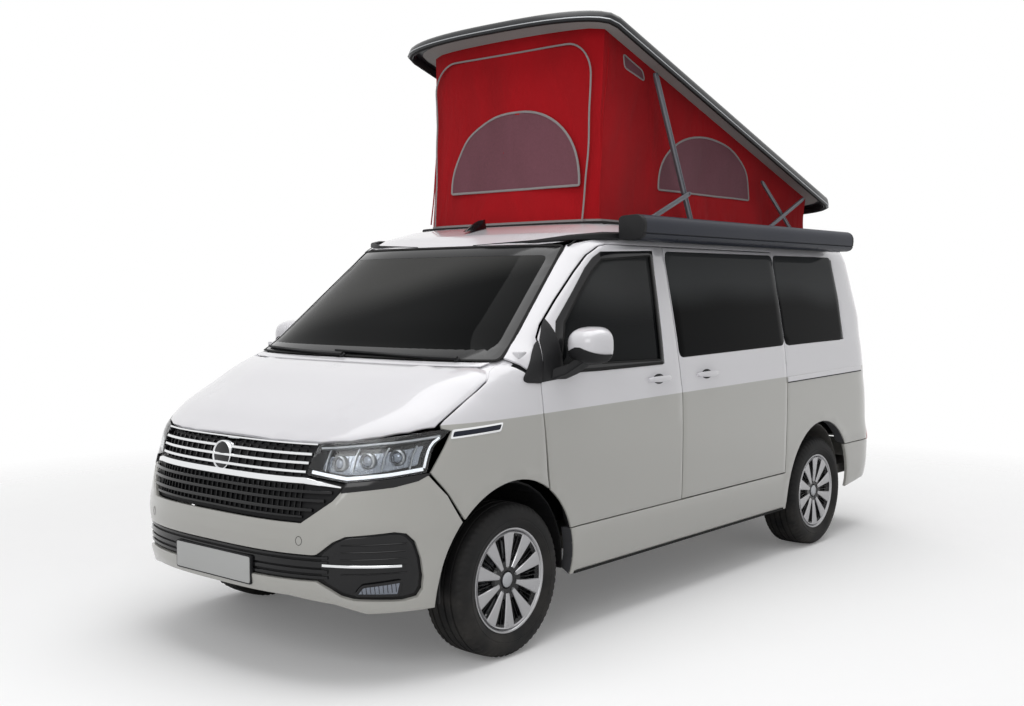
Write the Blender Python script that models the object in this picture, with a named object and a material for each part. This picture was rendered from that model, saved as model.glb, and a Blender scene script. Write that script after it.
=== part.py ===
import math

import bpy
import bmesh
import numpy as np
from mathutils import Matrix, Vector
from mathutils.geometry import delaunay_2d_cdt

# Camper van with a raised pop-up roof. Metres, the front at -X, the left side at -Y, +Z up,
# the origin on the ground under the middle of the van.

# Body
HALF_WIDTH = 0.952
FRONT_X = -2.448
REAR_X = 2.452
ROCKER_Z = 0.290
DOOR_BOTTOM_Z = 0.520
SIDE_TOP_Z = 1.872
ROOF_Z = 1.900
CROWN_RISE = 0.065
DOOR_TOP_Z = 1.838
PANEL_GAP = 0.006
DOOR_GAP = 0.008
SEAT_GAP = 0.0003
BODY_WALL = 0.060
DOOR_WALL = 0.050
GLASS_WALL = 0.006
GLASS_GAP = 0.0006
PILLAR_GLASS_GAP = 0.005
POST_GAP = 0.008
SKIN_EDGE = 0.010
FENDER_WALL = 0.022
BUMPER_WALL = 0.026

# Wheels and suspension
WHEELBASE = 3.000
FRONT_AXLE_X = -1.544
TRACK = 1.628
TYRE_RADIUS = 0.342
TYRE_WIDTH = 0.235
RIM_RADIUS = 0.232
RIM_WIDTH = 0.205
ARCH_RADIUS = 0.430
ARCH_Z = 0.360
LINER_WALL = 0.008
KINGPIN_Y = TRACK / 2 - 0.072
HUB_RADIUS = 0.070
SPOKES = 10

# Side openings
DOOR_FRONT_X = -1.353
B_LINE_X = -0.190
SLIDER_REAR_X = 0.980
HINGE_X = -1.275
HINGE_DEPTH = 0.012

# Pop-up roof
ROOF_ANGLE = 17.8
ROOF_PIVOT = (2.478, 2.000)
SHELL_FRONT_X = -0.790
SHELL_REAR_X = 2.075
SHELL_HALF_WIDTH = 0.742
SHELL_RIM_Z = 2.004
SHELL_SKIRT = 0.036
SHELL_HEIGHT = 0.098
OPENING_FRONT_X = -0.500
OPENING_REAR_X = 1.930
OPENING_HALF_WIDTH = 0.600
TENT_WALL = 0.006

FLOOR_Z = 0.460
FLOOR_WALL = 0.060

# One row per height of the body's outline. z, tuck of the side, setback of the nose, length and
# exponent of the front corner, setback of the tail, length and exponent of the rear corner.
SECTIONS = (
    (0.20, 0.092, 0.088, 0.95, 3.0, 0.122, 0.42, 3.2),
    (0.31, 0.030, 0.023, 1.00, 3.0, 0.042, 0.42, 3.4),
    (0.45, 0.014, 0.000, 1.00, 3.1, 0.000, 0.42, 3.4),
    (0.60, 0.006, 0.002, 1.00, 3.1, 0.005, 0.42, 3.4),
    (0.75, 0.002, 0.020, 1.00, 3.0, 0.067, 0.42, 3.4),
    (0.90, 0.000, 0.053, 0.98, 2.9, 0.072, 0.44, 3.4),
    (0.98, 0.000, 0.088, 0.96, 2.9, 0.074, 0.45, 3.3),
    (1.02, 0.001, 0.158, 0.95, 3.2, 0.075, 0.46, 3.2),
    (1.07, 0.002, 0.243, 0.92, 3.4, 0.076, 0.46, 3.2),
    (1.15, 0.009, 0.413, 0.82, 3.5, 0.078, 0.46, 3.2),
    (1.23, 0.016, 0.586, 0.68, 3.5, 0.084, 0.46, 3.2),
    (1.30, 0.025, 0.788, 0.48, 3.3, 0.092, 0.46, 3.2),
    (1.45, 0.049, 0.981, 0.46, 3.0, 0.107, 0.42, 3.3),
    (1.60, 0.076, 1.164, 0.45, 3.0, 0.137, 0.42, 3.3),
    (1.75, 0.104, 1.348, 0.44, 3.0, 0.172, 0.40, 3.3),
    (1.84, 0.122, 1.458, 0.44, 3.0, 0.197, 0.40, 3.3),
    (1.90, 0.162, 1.568, 0.44, 3.0, 0.232, 0.40, 3.3),
)
HEIGHTS = np.array([row[0] for row in SECTIONS])


def monotone_slopes(x, y):
    """Slopes that keep a cubic curve through the points free of overshoot."""
    step = np.diff(x)
    rise = np.diff(y) / step
    slopes = np.zeros(len(x))
    for i in range(1, len(x) - 1):
        if rise[i - 1] * rise[i] > 0:
            a = 2 * step[i] + step[i - 1]
            b = step[i] + 2 * step[i - 1]
            slopes[i] = (a + b) / (a / rise[i - 1] + b / rise[i])
    slopes[0], slopes[-1] = rise[0], rise[-1]
    return slopes


def section_curves():
    """One (values, slopes) pair for each column of the table."""
    curves = []
    for column in range(1, 8):
        values = np.array([row[column] for row in SECTIONS])
        curves.append((values, monotone_slopes(HEIGHTS, values)))
    return curves


CURVES = section_curves()


def ring_at(z):
    """Half width, nose x, front corner length and exponent, tail x, rear corner length and exponent."""
    z = min(max(z, HEIGHTS[0]), HEIGHTS[-1])
    i = min(int(np.searchsorted(HEIGHTS, z, side="right")) - 1, len(HEIGHTS) - 2)
    h = HEIGHTS[i + 1] - HEIGHTS[i]
    t = (z - HEIGHTS[i]) / h
    row = []
    for values, slopes in CURVES:
        row.append(
            values[i] * (1 + 2 * t) * (1 - t) ** 2
            + slopes[i] * h * t * (1 - t) ** 2
            + values[i + 1] * t * t * (3 - 2 * t)
            + slopes[i + 1] * h * t * t * (t - 1)
        )
    tuck, nose, front_length, front_power, tail, rear_length, rear_power = row
    return (HALF_WIDTH - tuck, FRONT_X + nose, front_length, front_power,
            REAR_X - tail, rear_length, rear_power)


def corner(share, power):
    """The other coordinate of a unit superellipse."""
    return max(1 - min(max(share, 0.0), 1.0) ** power, 0.0) ** (1 / power)


def side_y(x, z, ring=None):
    w, xf, lf, nf, xr, lr, nr = ring or ring_at(z)
    y = w
    if x < xf + lf:
        y = min(y, w * corner((xf + lf - x) / lf, nf))
    if x > xr - lr:
        y = min(y, w * corner((x - xr + lr) / lr, nr))
    return y


def nose_x(y, ring):
    w, xf, lf, nf = ring[:4]
    return xf + lf * (1 - corner(abs(y) / w, nf))


def tail_x(y, ring):
    w, xr, lr, nr = ring[0], ring[4], ring[5], ring[6]
    return xr - lr * (1 - corner(abs(y) / w, nr))


def wrapped(q, width, length, power):
    """y and depth of the spot on a superellipse corner, or straight on past it, where |y| plus depth is |q|."""
    low, high = 0.0, math.pi / 2
    for _ in range(34):
        t = (low + high) / 2
        y = width * math.sin(t) ** (2 / power)
        depth = length * (1 - math.cos(t) ** (2 / power))
        if y + depth < abs(q):
            low = t
        else:
            high = t
    past = max(abs(q) - width - length, 0.0)
    return math.copysign(y, q), depth + past


def on_side(sign):
    return lambda x, z: Vector((x, sign * side_y(x, z), z))


def on_nose(q, z):
    w, xf, lf, nf = ring_at(z)[:4]
    y, depth = wrapped(q, w, lf, nf)
    return Vector((xf + depth, y, z))


def on_tail(q, z):
    ring = ring_at(z)
    y, depth = wrapped(q, ring[0], ring[5], ring[6])
    return Vector((ring[4] - depth, y, z))


def on_screen(y, z):
    return Vector((nose_x(y, ring_at(z)), y, z))


def on_tailgate(y, z):
    return Vector((tail_x(y, ring_at(z)), y, z))


def on_bonnet(x, y):
    """The height at which the body's outline passes through x, y."""
    low, high = 0.90, 1.40
    for _ in range(34):
        z = (low + high) / 2
        ring = ring_at(z)
        if abs(y) < ring[0] and nose_x(y, ring) < x:
            low = z
        else:
            high = z
    return Vector((x, y, (low + high) / 2))


def nose_q(x, y, z):
    """The wrap coordinate of a point on the nose."""
    return math.copysign(abs(y) + x - ring_at(z)[1], y)


# Mesh tools


def clear_scene():
    for obj in list(bpy.data.objects):
        bpy.data.objects.remove(obj, do_unlink=True)


def material(name, colour, roughness, metallic=0.0):
    found = bpy.data.materials.get(name)
    if found:
        return found
    made = bpy.data.materials.new(name)
    made.use_nodes = True
    shader = made.node_tree.nodes["Principled BSDF"]
    shader.inputs["Base Color"].default_value = (*colour, 1.0)
    shader.inputs["Roughness"].default_value = roughness
    shader.inputs["Metallic"].default_value = metallic
    return made


WHITE = ("white paint", (0.80, 0.81, 0.82), 0.25, 0.0)
BEIGE = ("pale grey paint", (0.42, 0.42, 0.39), 0.25, 0.1)
BLACK = ("black plastic", (0.02, 0.02, 0.022), 0.5, 0.0)
GLOSS = ("black gloss", (0.012, 0.013, 0.016), 0.15, 0.0)
GLASS = ("dark glass", (0.03, 0.035, 0.04), 0.05, 0.0)
LAMP = ("lamp lens", (0.75, 0.78, 0.80), 0.08, 0.0)
RED_LAMP = ("red lens", (0.45, 0.02, 0.02), 0.1, 0.0)
STEEL = ("grey steel", (0.30, 0.31, 0.32), 0.45, 0.8)
RUBBER = ("tyre rubber", (0.02, 0.02, 0.02), 0.85, 0.0)
ALLOY = ("machined alloy", (0.62, 0.63, 0.65), 0.25, 1.0)
CANVAS = ("red canvas", (0.50, 0.02, 0.03), 0.9, 0.0)
CLOTH = ("grey cloth", (0.16, 0.16, 0.17), 0.9, 0.0)
BOARD = ("pale board", (0.55, 0.52, 0.47), 0.5, 0.0)
FLOORING = ("floor sheet", (0.10, 0.10, 0.10), 0.8, 0.0)


def finish(name, bm, finish_row, origin=(0, 0, 0)):
    """A named object from the bmesh, with its origin moved to the given point."""
    bmesh.ops.remove_doubles(bm, verts=bm.verts, dist=1e-6)
    bmesh.ops.recalc_face_normals(bm, faces=bm.faces)
    origin = Vector(origin)
    bmesh.ops.translate(bm, verts=bm.verts, vec=-origin)
    mesh = bpy.data.meshes.new(name)
    bm.to_mesh(mesh)
    bm.free()
    mesh.materials.append(material(*finish_row))
    mesh.shade_smooth()
    mesh.set_sharp_from_angle(angle=math.radians(30))
    obj = bpy.data.objects.new(name, mesh)
    obj.location = origin
    bpy.context.scene.collection.objects.link(obj)
    return obj


def helper(bm):
    """A cutter or a lump that a Boolean takes in, left out of the render."""
    obj = finish("helper", bm, STEEL)
    obj.hide_render = True
    obj.display_type = "WIRE"
    return obj


def boolean(target, bm, operation):
    other = helper(bm)
    step = target.modifiers.new(operation.lower(), "BOOLEAN")
    step.operation = operation
    step.object = other
    graph = bpy.context.evaluated_depsgraph_get()
    bpy.context.view_layer.update()
    done = bpy.data.meshes.new_from_object(target.evaluated_get(graph))
    target.modifiers.remove(step)
    target.data = done
    bpy.data.objects.remove(other, do_unlink=True)


def add(target, *lumps):
    for bm in lumps:
        boolean(target, bm, "UNION")


def cut(target, *cutters):
    for bm in cutters:
        boolean(target, bm, "DIFFERENCE")


def reach(name, start, way):
    """Where a ray from the start first meets the named object."""
    obj = bpy.data.objects[name]
    bpy.context.view_layer.update()
    hit, spot, _, _ = obj.ray_cast(Vector(start) - obj.location, Vector(way))
    return spot + obj.location


def box(low, high):
    bm = bmesh.new()
    size = [h - l for l, h in zip(low, high)]
    centre = [(l + h) / 2 for l, h in zip(low, high)]
    bmesh.ops.create_cube(bm, size=1, matrix=Matrix.Translation(centre) @ Matrix.Diagonal((*size, 1)))
    return bm


def soft_box(low, high, bevel):
    bm = box(low, high)
    bmesh.ops.bevel(bm, geom=bm.edges[:], offset=bevel, segments=2, profile=0.5, affect="EDGES")
    return bm


def rod(start, end, radius, sides=12):
    """A closed round bar from start to end."""
    start, end = Vector(start), Vector(end)
    bm = bmesh.new()
    turn = (end - start).to_track_quat("Z", "Y").to_matrix().to_4x4()
    place = Matrix.Translation((start + end) / 2) @ turn
    bmesh.ops.create_cone(bm, cap_ends=True, segments=sides, radius1=radius, radius2=radius,
                          depth=(end - start).length, matrix=place)
    return bm


def prism(outline, low, high, axis):
    """An outline of two coordinates drawn out along the third axis, X is 0, Y 1 and Z 2."""
    bm = bmesh.new()
    rings = []
    for level in (low, high):
        ring = []
        for point in outline:
            spot = list(point)
            spot.insert(axis, level)
            ring.append(bm.verts.new(spot))
        rings.append(ring)
        bm.faces.new(ring)
    join(bm, *rings)
    return bm


def join(bm, first, second):
    """Quads between two closed loops of as many points."""
    for i in range(len(first)):
        j = (i + 1) % len(first)
        bm.faces.new((first[i], first[j], second[j], second[i]))


def lathe(bm, profile, segments, centre):
    """A closed profile of (radius, offset) turned about an axis along Y."""
    rings = []
    for i in range(segments):
        angle = math.tau * i / segments
        ring = []
        for radius, offset in profile:
            ring.append(bm.verts.new((centre[0] + radius * math.cos(angle), centre[1] + offset,
                                      centre[2] + radius * math.sin(angle))))
        rings.append(ring)
    for i in range(segments):
        join(bm, rings[i], rings[(i + 1) % segments])


# Panels

EDGE_BULGE = 0.00003


def dense(outline, step):
    """The closed outline with points no further apart than step, on edges that bulge by a hair."""
    turn = 1 if area(outline) > 0 else -1
    points = []
    for i, start in enumerate(outline):
        end = outline[(i + 1) % len(outline)]
        dx, dy = end[0] - start[0], end[1] - start[1]
        length = math.hypot(dx, dy)
        count = max(1, math.ceil(length / step - 1e-6))
        for k in range(count):
            t = k / count
            bulge = turn * EDGE_BULGE * 4 * t * (1 - t) / length
            points.append((start[0] + dx * t + dy * bulge, start[1] + dy * t - dx * bulge))
    return points


def area(outline):
    return sum(a[0] * b[1] - b[0] * a[1] for a, b in zip(outline, outline[1:] + outline[:1])) / 2


def inside(point, outline):
    hit = False
    for (x1, y1), (x2, y2) in zip(outline, outline[1:] + outline[:1]):
        if (y1 > point[1]) != (y2 > point[1]):
            if point[0] < x1 + (point[1] - y1) * (x2 - x1) / (y2 - y1):
                hit = not hit
    return hit


def edge_distance(point, outline):
    best = 1e9
    for (x1, y1), (x2, y2) in zip(outline, outline[1:] + outline[:1]):
        dx, dy = x2 - x1, y2 - y1
        t = min(1, max(0, ((point[0] - x1) * dx + (point[1] - y1) * dy) / (dx * dx + dy * dy)))
        best = min(best, math.dist(point, (x1 + dx * t, y1 + dy * t)))
    return best


def shrunk(outline, amount):
    """The outline moved inwards; amount is a length or a function of the point."""
    turn = 1 if area(outline) > 0 else -1
    moved = []
    for i, here in enumerate(outline):
        before = Vector(outline[i - 1]) - Vector(here)
        after = Vector(outline[(i + 1) % len(outline)]) - Vector(here)
        first = Vector((before.y, -before.x)).normalized() * turn
        second = Vector((-after.y, after.x)).normalized() * turn
        normal = (first + second).normalized()
        stretch = min(1 / max(normal.dot(first), 0.3), 1.6)
        length = amount(*here) if callable(amount) else amount
        moved.append(tuple(Vector(here) + normal * length * stretch))
    return moved


def filled(outline, holes, step):
    """Points and triangles of the flat shape; the outline's and the holes' points come first."""
    loops = [outline, *holes]
    points = [p for loop in loops for p in loop]
    edges, first = [], 0
    for loop in loops:
        edges += [(first + i, first + (i + 1) % len(loop)) for i in range(len(loop))]
        first += len(loop)
    low = [min(p[k] for p in outline) for k in (0, 1)]
    high = [max(p[k] for p in outline) for k in (0, 1)]
    for i in range(1, math.ceil((high[0] - low[0]) / step)):
        for k in range(1, math.ceil((high[1] - low[1]) / step)):
            spot = (low[0] + i * step, low[1] + k * step)
            if inside(spot, outline) and not any(inside(spot, hole) for hole in holes):
                if min(edge_distance(spot, loop) for loop in loops) > step * 0.4:
                    points.append(spot)
    found = delaunay_2d_cdt([Vector(p) for p in points], edges, [], 0, 1e-7)
    spots, triangles, origins = found[0], found[2], found[3]
    number = [origin[0] for origin in origins]
    kept = []
    for triangle in triangles:
        middle = sum((spots[v] for v in triangle), Vector((0, 0))) / 3
        if inside(middle, outline) and not any(inside(middle, hole) for hole in holes):
            kept.append([number[v] for v in triangle])
    return points, kept


def normal_at(lift, a, b, out):
    h = 1e-4
    across = lift(a + h, b) - lift(a - h, b)
    along = lift(a, b + h) - lift(a, b - h)
    normal = across.cross(along).normalized()
    way = Vector(out(a) if callable(out) else out)
    return normal if normal.dot(way) > 0 else -normal


def ahead(q):
    return (-1, math.copysign(1, q), 0)


def astern(q):
    return (1, math.copysign(1, q), 0)


def panel(outline, lift, out, wall, step=0.22, holes=(), inset=0.0, hole_inset=0.0, edge=None):
    """A curved sheet. Its rim is as deep as edge, and its inner face lies wall deep, inset from the rim."""
    edge = wall if edge is None else edge
    outer = [dense(loop, step) for loop in (outline, *holes)]
    inner = [shrunk(outer[0], inset)] + [shrunk(loop, lambda a, b: -hole_inset) for loop in outer[1:]]
    bm = bmesh.new()
    layers = []
    for loops, depth in ((outer, 0.0), (inner, wall)):
        points, triangles = filled(loops[0], loops[1:], step)
        verts = []
        for a, b in points:
            spot = lift(a, b) - (normal_at(lift, a, b, out) * depth if depth else Vector((0, 0, 0)))
            verts.append(bm.verts.new(spot))
        for triangle in triangles:
            bm.faces.new([verts[v] for v in triangle])
        layers.append(verts)
    first = 0
    for loop in outer:
        top = layers[0][first:first + len(loop)]
        bottom = layers[1][first:first + len(loop)]
        if edge < wall:
            middle = [bm.verts.new(lift(a, b) - normal_at(lift, a, b, out) * edge) for a, b in loop]
            join(bm, top, middle)
            join(bm, middle, bottom)
        else:
            join(bm, top, bottom)
        first += len(loop)
    return bm


def arc(centre, radius, start, end, count):
    """Points on a circle, angles in degrees from the first coordinate's axis."""
    points = []
    for i in range(count + 1):
        angle = math.radians(start + (end - start) * i / count)
        points.append((centre[0] + radius * math.cos(angle), centre[1] + radius * math.sin(angle)))
    return points


# Outlines of the side, as x and z

PILLAR_LINE = ((0.000, 1.202), (0.056, 1.399), (0.106, 1.455), (0.242, 1.570), (0.408, 1.703), (0.518, 1.785),
               (0.603, 1.828), (0.653, 1.838))
SHUT_LINE = ((0.006, 1.067), (0.041, 0.806))
SHUT_FOOT = 0.050
SWING_GAPS = (0.002, 0.008)  # more room down the shut line, where the door's edge swings further forwards
DOOR_WINDOW = ((-1.215, 1.268), (-1.130, 1.470), (-0.985, 1.605), (-0.852, 1.716), (-0.765, 1.772), (-0.335, 1.798),
               (-0.365, 1.254))
SLIDER_WINDOW = ((0.045, 1.266), (0.016, 1.805), (1.120, 1.808), (1.120, 1.280))
QUARTER_WINDOW = ((1.225, 1.282), (1.225, 1.808), (1.985, 1.808), (2.000, 1.296))
REAR_AXLE_X = FRONT_AXLE_X + WHEELBASE
BUMPER_TOP_Z = 0.612
LAMP_HIGH_Z = 1.100
LAMP_FRONT_X = 2.170


def b_line(shift):
    """The line between the front door and what is behind it, from the bottom up."""
    rows = ((0.008, DOOR_BOTTOM_Z), (0.000, 1.070), (-0.014, 1.250), (-0.022, DOOR_TOP_Z))
    return [(B_LINE_X + x + shift, z) for x, z in rows]


def arch_x(axle_x, z, side, radius=ARCH_RADIUS):
    return axle_x + side * math.sqrt(radius ** 2 - (z - ARCH_Z) ** 2)


def arch_z(axle_x, x):
    return ARCH_Z + math.sqrt(ARCH_RADIUS ** 2 - (x - axle_x) ** 2)


def arch_arc(axle_x, z_start, side_start, z_end, side_end, count):
    """Points over the arch from one height to another; side is -1 at the front of the wheel."""
    angles = []
    for z, side in ((z_start, side_start), (z_end, side_end)):
        angle = math.degrees(math.asin((z - ARCH_Z) / ARCH_RADIUS))
        angles.append(angle if side > 0 else 180 - angle)
    return arc((axle_x, ARCH_Z), ARCH_RADIUS, angles[0], angles[1], count)


def screen_half(z):
    """Half the windscreen's width at height z."""
    return 0.824 + (0.702 - 0.824) * (z - SCREEN_LOW_Z) / (SCREEN_HIGH_Z - SCREEN_LOW_Z)


def gate_half(z):
    """Half the tailgate's width at height z."""
    return np.interp(z, (0.56, 1.10, 1.30, 1.86), (0.770, 0.785, 0.780, 0.660))


SCREEN_LOW_Z = 1.304
SCREEN_HIGH_Z = 1.834
GATE_LOW_Z = 0.580
GATE_HIGH_Z = 1.850


def door_outline():
    foot_x = DOOR_FRONT_X + SHUT_FOOT
    points = b_line(-DOOR_GAP / 2)
    points += [(DOOR_FRONT_X + x, z) for x, z in reversed(PILLAR_LINE)]
    points += [(DOOR_FRONT_X + x, z) for x, z in SHUT_LINE]
    points += arch_arc(FRONT_AXLE_X, arch_z(FRONT_AXLE_X, foot_x), 1, DOOR_BOTTOM_Z, 1, 4)
    return points


def slider_outline():
    return (b_line(DOOR_GAP / 2)[::-1]
            + [(SLIDER_REAR_X, DOOR_BOTTOM_Z), (SLIDER_REAR_X, DOOR_TOP_Z)])


def pillar_edge(gap):
    """The door's leading edge, moved forwards and up by a gap."""
    return [(DOOR_FRONT_X + x - gap * 1.4, z + gap * 0.6) for x, z in PILLAR_LINE]


def body_side_outline(sliding):
    """The side frame: rocker, rear quarter, cant rail and windscreen pillar, open at the doors."""
    gap = PANEL_GAP
    low = DOOR_BOTTOM_Z - gap
    top = DOOR_TOP_Z + gap
    rear_edge = [(tail_x(gate_half(z) + gap, ring_at(z)), z) for z in (LAMP_HIGH_Z + gap, 1.30, 1.50, 1.70, 1.83)]
    points = arch_arc(FRONT_AXLE_X, low, 1, ROCKER_Z, 1, 3)
    points += arch_arc(REAR_AXLE_X, ROCKER_Z, -1, BUMPER_TOP_Z, 1, 12)
    points += [(LAMP_FRONT_X - gap, BUMPER_TOP_Z), (LAMP_FRONT_X - gap, LAMP_HIGH_Z + gap)]
    points += rear_edge
    points += [(2.02, SIDE_TOP_Z), (-0.70, SIDE_TOP_Z), (-0.79, 1.856)]
    points += [(nose_x(screen_half(z) + gap, ring_at(z)), z) for z in (1.836, 1.70, 1.55, 1.42, 1.316)]
    points += pillar_edge(gap)[:-1]
    if sliding:
        points += [(DOOR_FRONT_X + PILLAR_LINE[-1][0], top), (SLIDER_REAR_X + gap, top), (SLIDER_REAR_X + gap, low)]
    else:
        points += [(DOOR_FRONT_X + PILLAR_LINE[-1][0], top)]
        points += [(x, min(z, top) if z < DOOR_TOP_Z else top) for x, z in b_line(DOOR_GAP / 2)[::-1][:-1]]
        points += [(b_line(DOOR_GAP / 2)[0][0], low)]
    return points


def fender_outline():
    gap = PANEL_GAP
    foot_x = DOOR_FRONT_X + SHUT_FOOT - gap - SWING_GAPS[-1]
    points = [(DOOR_FRONT_X - gap, 1.200)]
    points += [(DOOR_FRONT_X + x - gap - more, z) for (x, z), more in zip(SHUT_LINE, SWING_GAPS)]
    points += arch_arc(FRONT_AXLE_X, arch_z(FRONT_AXLE_X, foot_x), 1, 0.660, -1, 9)
    points += [(-1.925, 0.775), (-2.000, 0.868), (-1.890, 1.033), (-1.930, 1.044)]
    points += [(-1.905, 1.076), (-1.815, 1.126), (-1.705, 1.185), (-1.640, 1.2225), (-1.590, 1.265), (-1.512, 1.292)]
    return points


def glass_of(window, step=0.24):
    """The pane of a window opening, a little smaller again where the front pillar's twisted rim leans in."""
    return shrunk(dense(list(window), step), lambda x, z: GLASS_GAP + (PILLAR_GLASS_GAP if x < -1.05 else 0.0))


def deeper(lift, out, depth):
    return lambda a, b: lift(a, b) - normal_at(lift, a, b, out) * depth


def door_inset(x, z):
    """The door's leading edge is thin below the window, so that it swings clear of the fender."""
    lead = min(max((-1.15 - x) / 0.12, 0), 1) * min(max((1.34 - z) / 0.10, 0), 1)
    return 0.022 + 0.055 * lead


def shifted(points, dx):
    return [(x + dx, z) for x, z in points]


def make_side(sign, side):
    out = (0, sign, 0)
    lift = on_side(sign)
    sliding = sign < 0
    slider_window = shifted(SLIDER_WINDOW, B_LINE_X)
    quarter_window = shifted(QUARTER_WINDOW, B_LINE_X)
    right_window = slider_window[:2] + quarter_window[2:]
    hole = quarter_window if sliding else right_window
    frame = finish(f"{side}_body_side",
                   panel(body_side_outline(sliding), lift, out, BODY_WALL, 0.24, [dense(hole, 0.24)], 0.006),
                   WHITE)
    post_depth = DOOR_WALL + POST_GAP
    post = [(B_LINE_X - 0.045, DOOR_BOTTOM_Z - 0.03), (B_LINE_X + 0.045, DOOR_BOTTOM_Z - 0.03),
            (B_LINE_X + 0.025, SIDE_TOP_Z - 0.008), (B_LINE_X - 0.065, SIDE_TOP_Z - 0.008)]
    post_out = deeper(lift, out, post_depth)
    add(frame, panel(post, post_out, out, 0.045, 0.24))
    arm_in = sorted((sign * (HALF_WIDTH - 0.072), sign * (HALF_WIDTH - 0.160)))
    post_in = sorted((sign * (HALF_WIDTH - 0.125), sign * (HALF_WIDTH - 0.175)))
    add(frame, box((-1.440, arm_in[0], 1.290), (-1.380, arm_in[1], 1.335)))
    add(frame, box((BULKHEAD_X + PAD, post_in[0], 0.815), (-1.205, post_in[1], 1.335)))
    door = finish(f"{side}_door",
                  panel(door_outline(), lift, out, DOOR_WALL, 0.20, [dense(DOOR_WINDOW, 0.14)], door_inset,
                        edge=SKIN_EDGE),
                  WHITE, (HINGE_X, sign * (HALF_WIDTH - 0.015 - HINGE_DEPTH), 0.0))
    hang_door(frame, door, sign)
    finish(f"{side}_door_glass",
           panel(glass_of(DOOR_WINDOW, 0.14), deeper(lift, out, 0.012), out, GLASS_WALL, 0.30), GLASS,
           door.location)
    if sliding:
        slider = finish("sliding_door",
                        panel(slider_outline(), lift, out, DOOR_WALL, 0.24, [dense(slider_window, 0.24)], 0.004),
                        WHITE)
        for x in (0.100, 0.700):
            y = sign * (HALF_WIDTH - 0.035)
            rocker = max(reach(frame.name, (x + dx, y + dy, DOOR_BOTTOM_Z), (0, 0, -1)).z
                         for dx in (-0.03, 0.03) for dy in (-0.008, 0.008))
            add(slider, box((x - 0.03, y - 0.008, rocker + PAD), (x + 0.03, y + 0.008, DOOR_BOTTOM_Z + 0.020)))
        finish("sliding_door_glass", panel(glass_of(slider_window), lift, out, GLASS_WALL, 0.30), GLASS)
        finish("left_quarter_glass", panel(glass_of(quarter_window), lift, out, GLASS_WALL, 0.30), GLASS)
    else:
        finish("right_side_glass", panel(glass_of(right_window), lift, out, GLASS_WALL, 0.30), GLASS)
    finish(f"{side}_fender", panel(fender_outline(), lift, out, FENDER_WALL, 0.18), WHITE)
    make_mirror(sign, side, door.location)


HINGE_LEVELS = (0.905, 1.085)
HINGE_RADIUS = 0.010
HINGE_NOTCH = 0.046
HINGE_HEIGHT = 0.070


def hang_door(frame, door, sign):
    """Two hinges: a knuckle on the door stands on the pillar's knuckle, on one axis."""
    axis_y = door.location.y
    for z in HINGE_LEVELS:
        notch = rod((HINGE_X, axis_y, z - HINGE_HEIGHT / 2), (HINGE_X, axis_y, z + HINGE_HEIGHT / 2),
                    HINGE_NOTCH, 16)
        skin = sign * (abs(axis_y) + HINGE_RADIUS + 0.003)
        for vert in notch.verts:
            if abs(vert.co.y) > abs(skin):
                vert.co.y = skin
        cut(door, notch)
        add(door, rod((HINGE_X, axis_y, z + SEAT_GAP / 2), (HINGE_X, axis_y, z + HINGE_HEIGHT / 2 + 0.004),
                      HINGE_RADIUS, 12))
        low = z - HINGE_HEIGHT / 2 + 0.010
        high = z - SEAT_GAP / 2
        add(frame, rod((HINGE_X, axis_y, low), (HINGE_X, axis_y, high), HINGE_RADIUS, 12))
        ys = sorted((axis_y, sign * (HALF_WIDTH - 0.130)))
        arm = box((HINGE_X + 0.000, ys[0], low), (HINGE_X + 0.009, ys[1], high))
        for vert in arm.verts:
            if abs(vert.co.y) < abs(axis_y) - 0.05:
                vert.co.x += 0.016
        add(frame, arm)


def make_mirror(sign, side, origin):
    """The cap is a rounded pod with a flat back; its arm stands on the door below the window."""
    loops = []
    for x, share in MIRROR_RINGS:
        loop = []
        for i in range(14):
            angle = math.tau * i / 14
            y, z = (math.copysign(abs(f(angle)) ** 0.8, f(angle)) for f in (math.cos, math.sin))
            loop.append(Vector((x, sign * (MIRROR_Y + y * share * MIRROR_HALF_WIDTH), MIRROR_Z + z * share * 0.085)))
        loops.append(loop)
    mirror = finish(f"{side}_mirror", loft(loops, True), WHITE, origin)
    foot = [(x, sign * (side_y(x, z) + MIRROR_SEAT), z)
            for x, z in ((-1.285, 1.206), (-1.195, 1.206), (-1.195, 1.256), (-1.285, 1.256))]
    tip = [(x, sign * 1.030, z) for x, z in ((-1.185, 1.292), (-1.105, 1.292), (-1.105, 1.340), (-1.185, 1.340))]
    add(mirror, loft([foot, tip], True))


MIRROR_Y = 1.047
MIRROR_HALF_WIDTH = 0.100
MIRROR_Z = 1.365
MIRROR_SEAT = 0.0006
MIRROR_RINGS = ((-1.085, 0.96), (-1.092, 1.0), (-1.150, 0.98), (-1.200, 0.80), (-1.224, 0.52), (-1.232, 0.20))


# Front and rear


def both(half):
    """A half outline and its mirror image, as one closed outline about the first coordinate."""
    return half + [(-a, b) for a, b in reversed(half)]


def side_q(x, z):
    return nose_q(x, side_y(x, z), z)


LAMP_OUTLINE = ((0.592, 0.986), (0.886, 1.006), (1.080, 1.018), (1.262, 1.032), (1.258, 0.872), (1.047, 0.856),
                (0.800, 0.842), (0.566, 0.866))
GRILLE_SIDE = ((0.560, 0.681), (0.728, 0.774), (0.795, 0.832), (0.556, 0.858), (0.582, 0.982))


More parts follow.
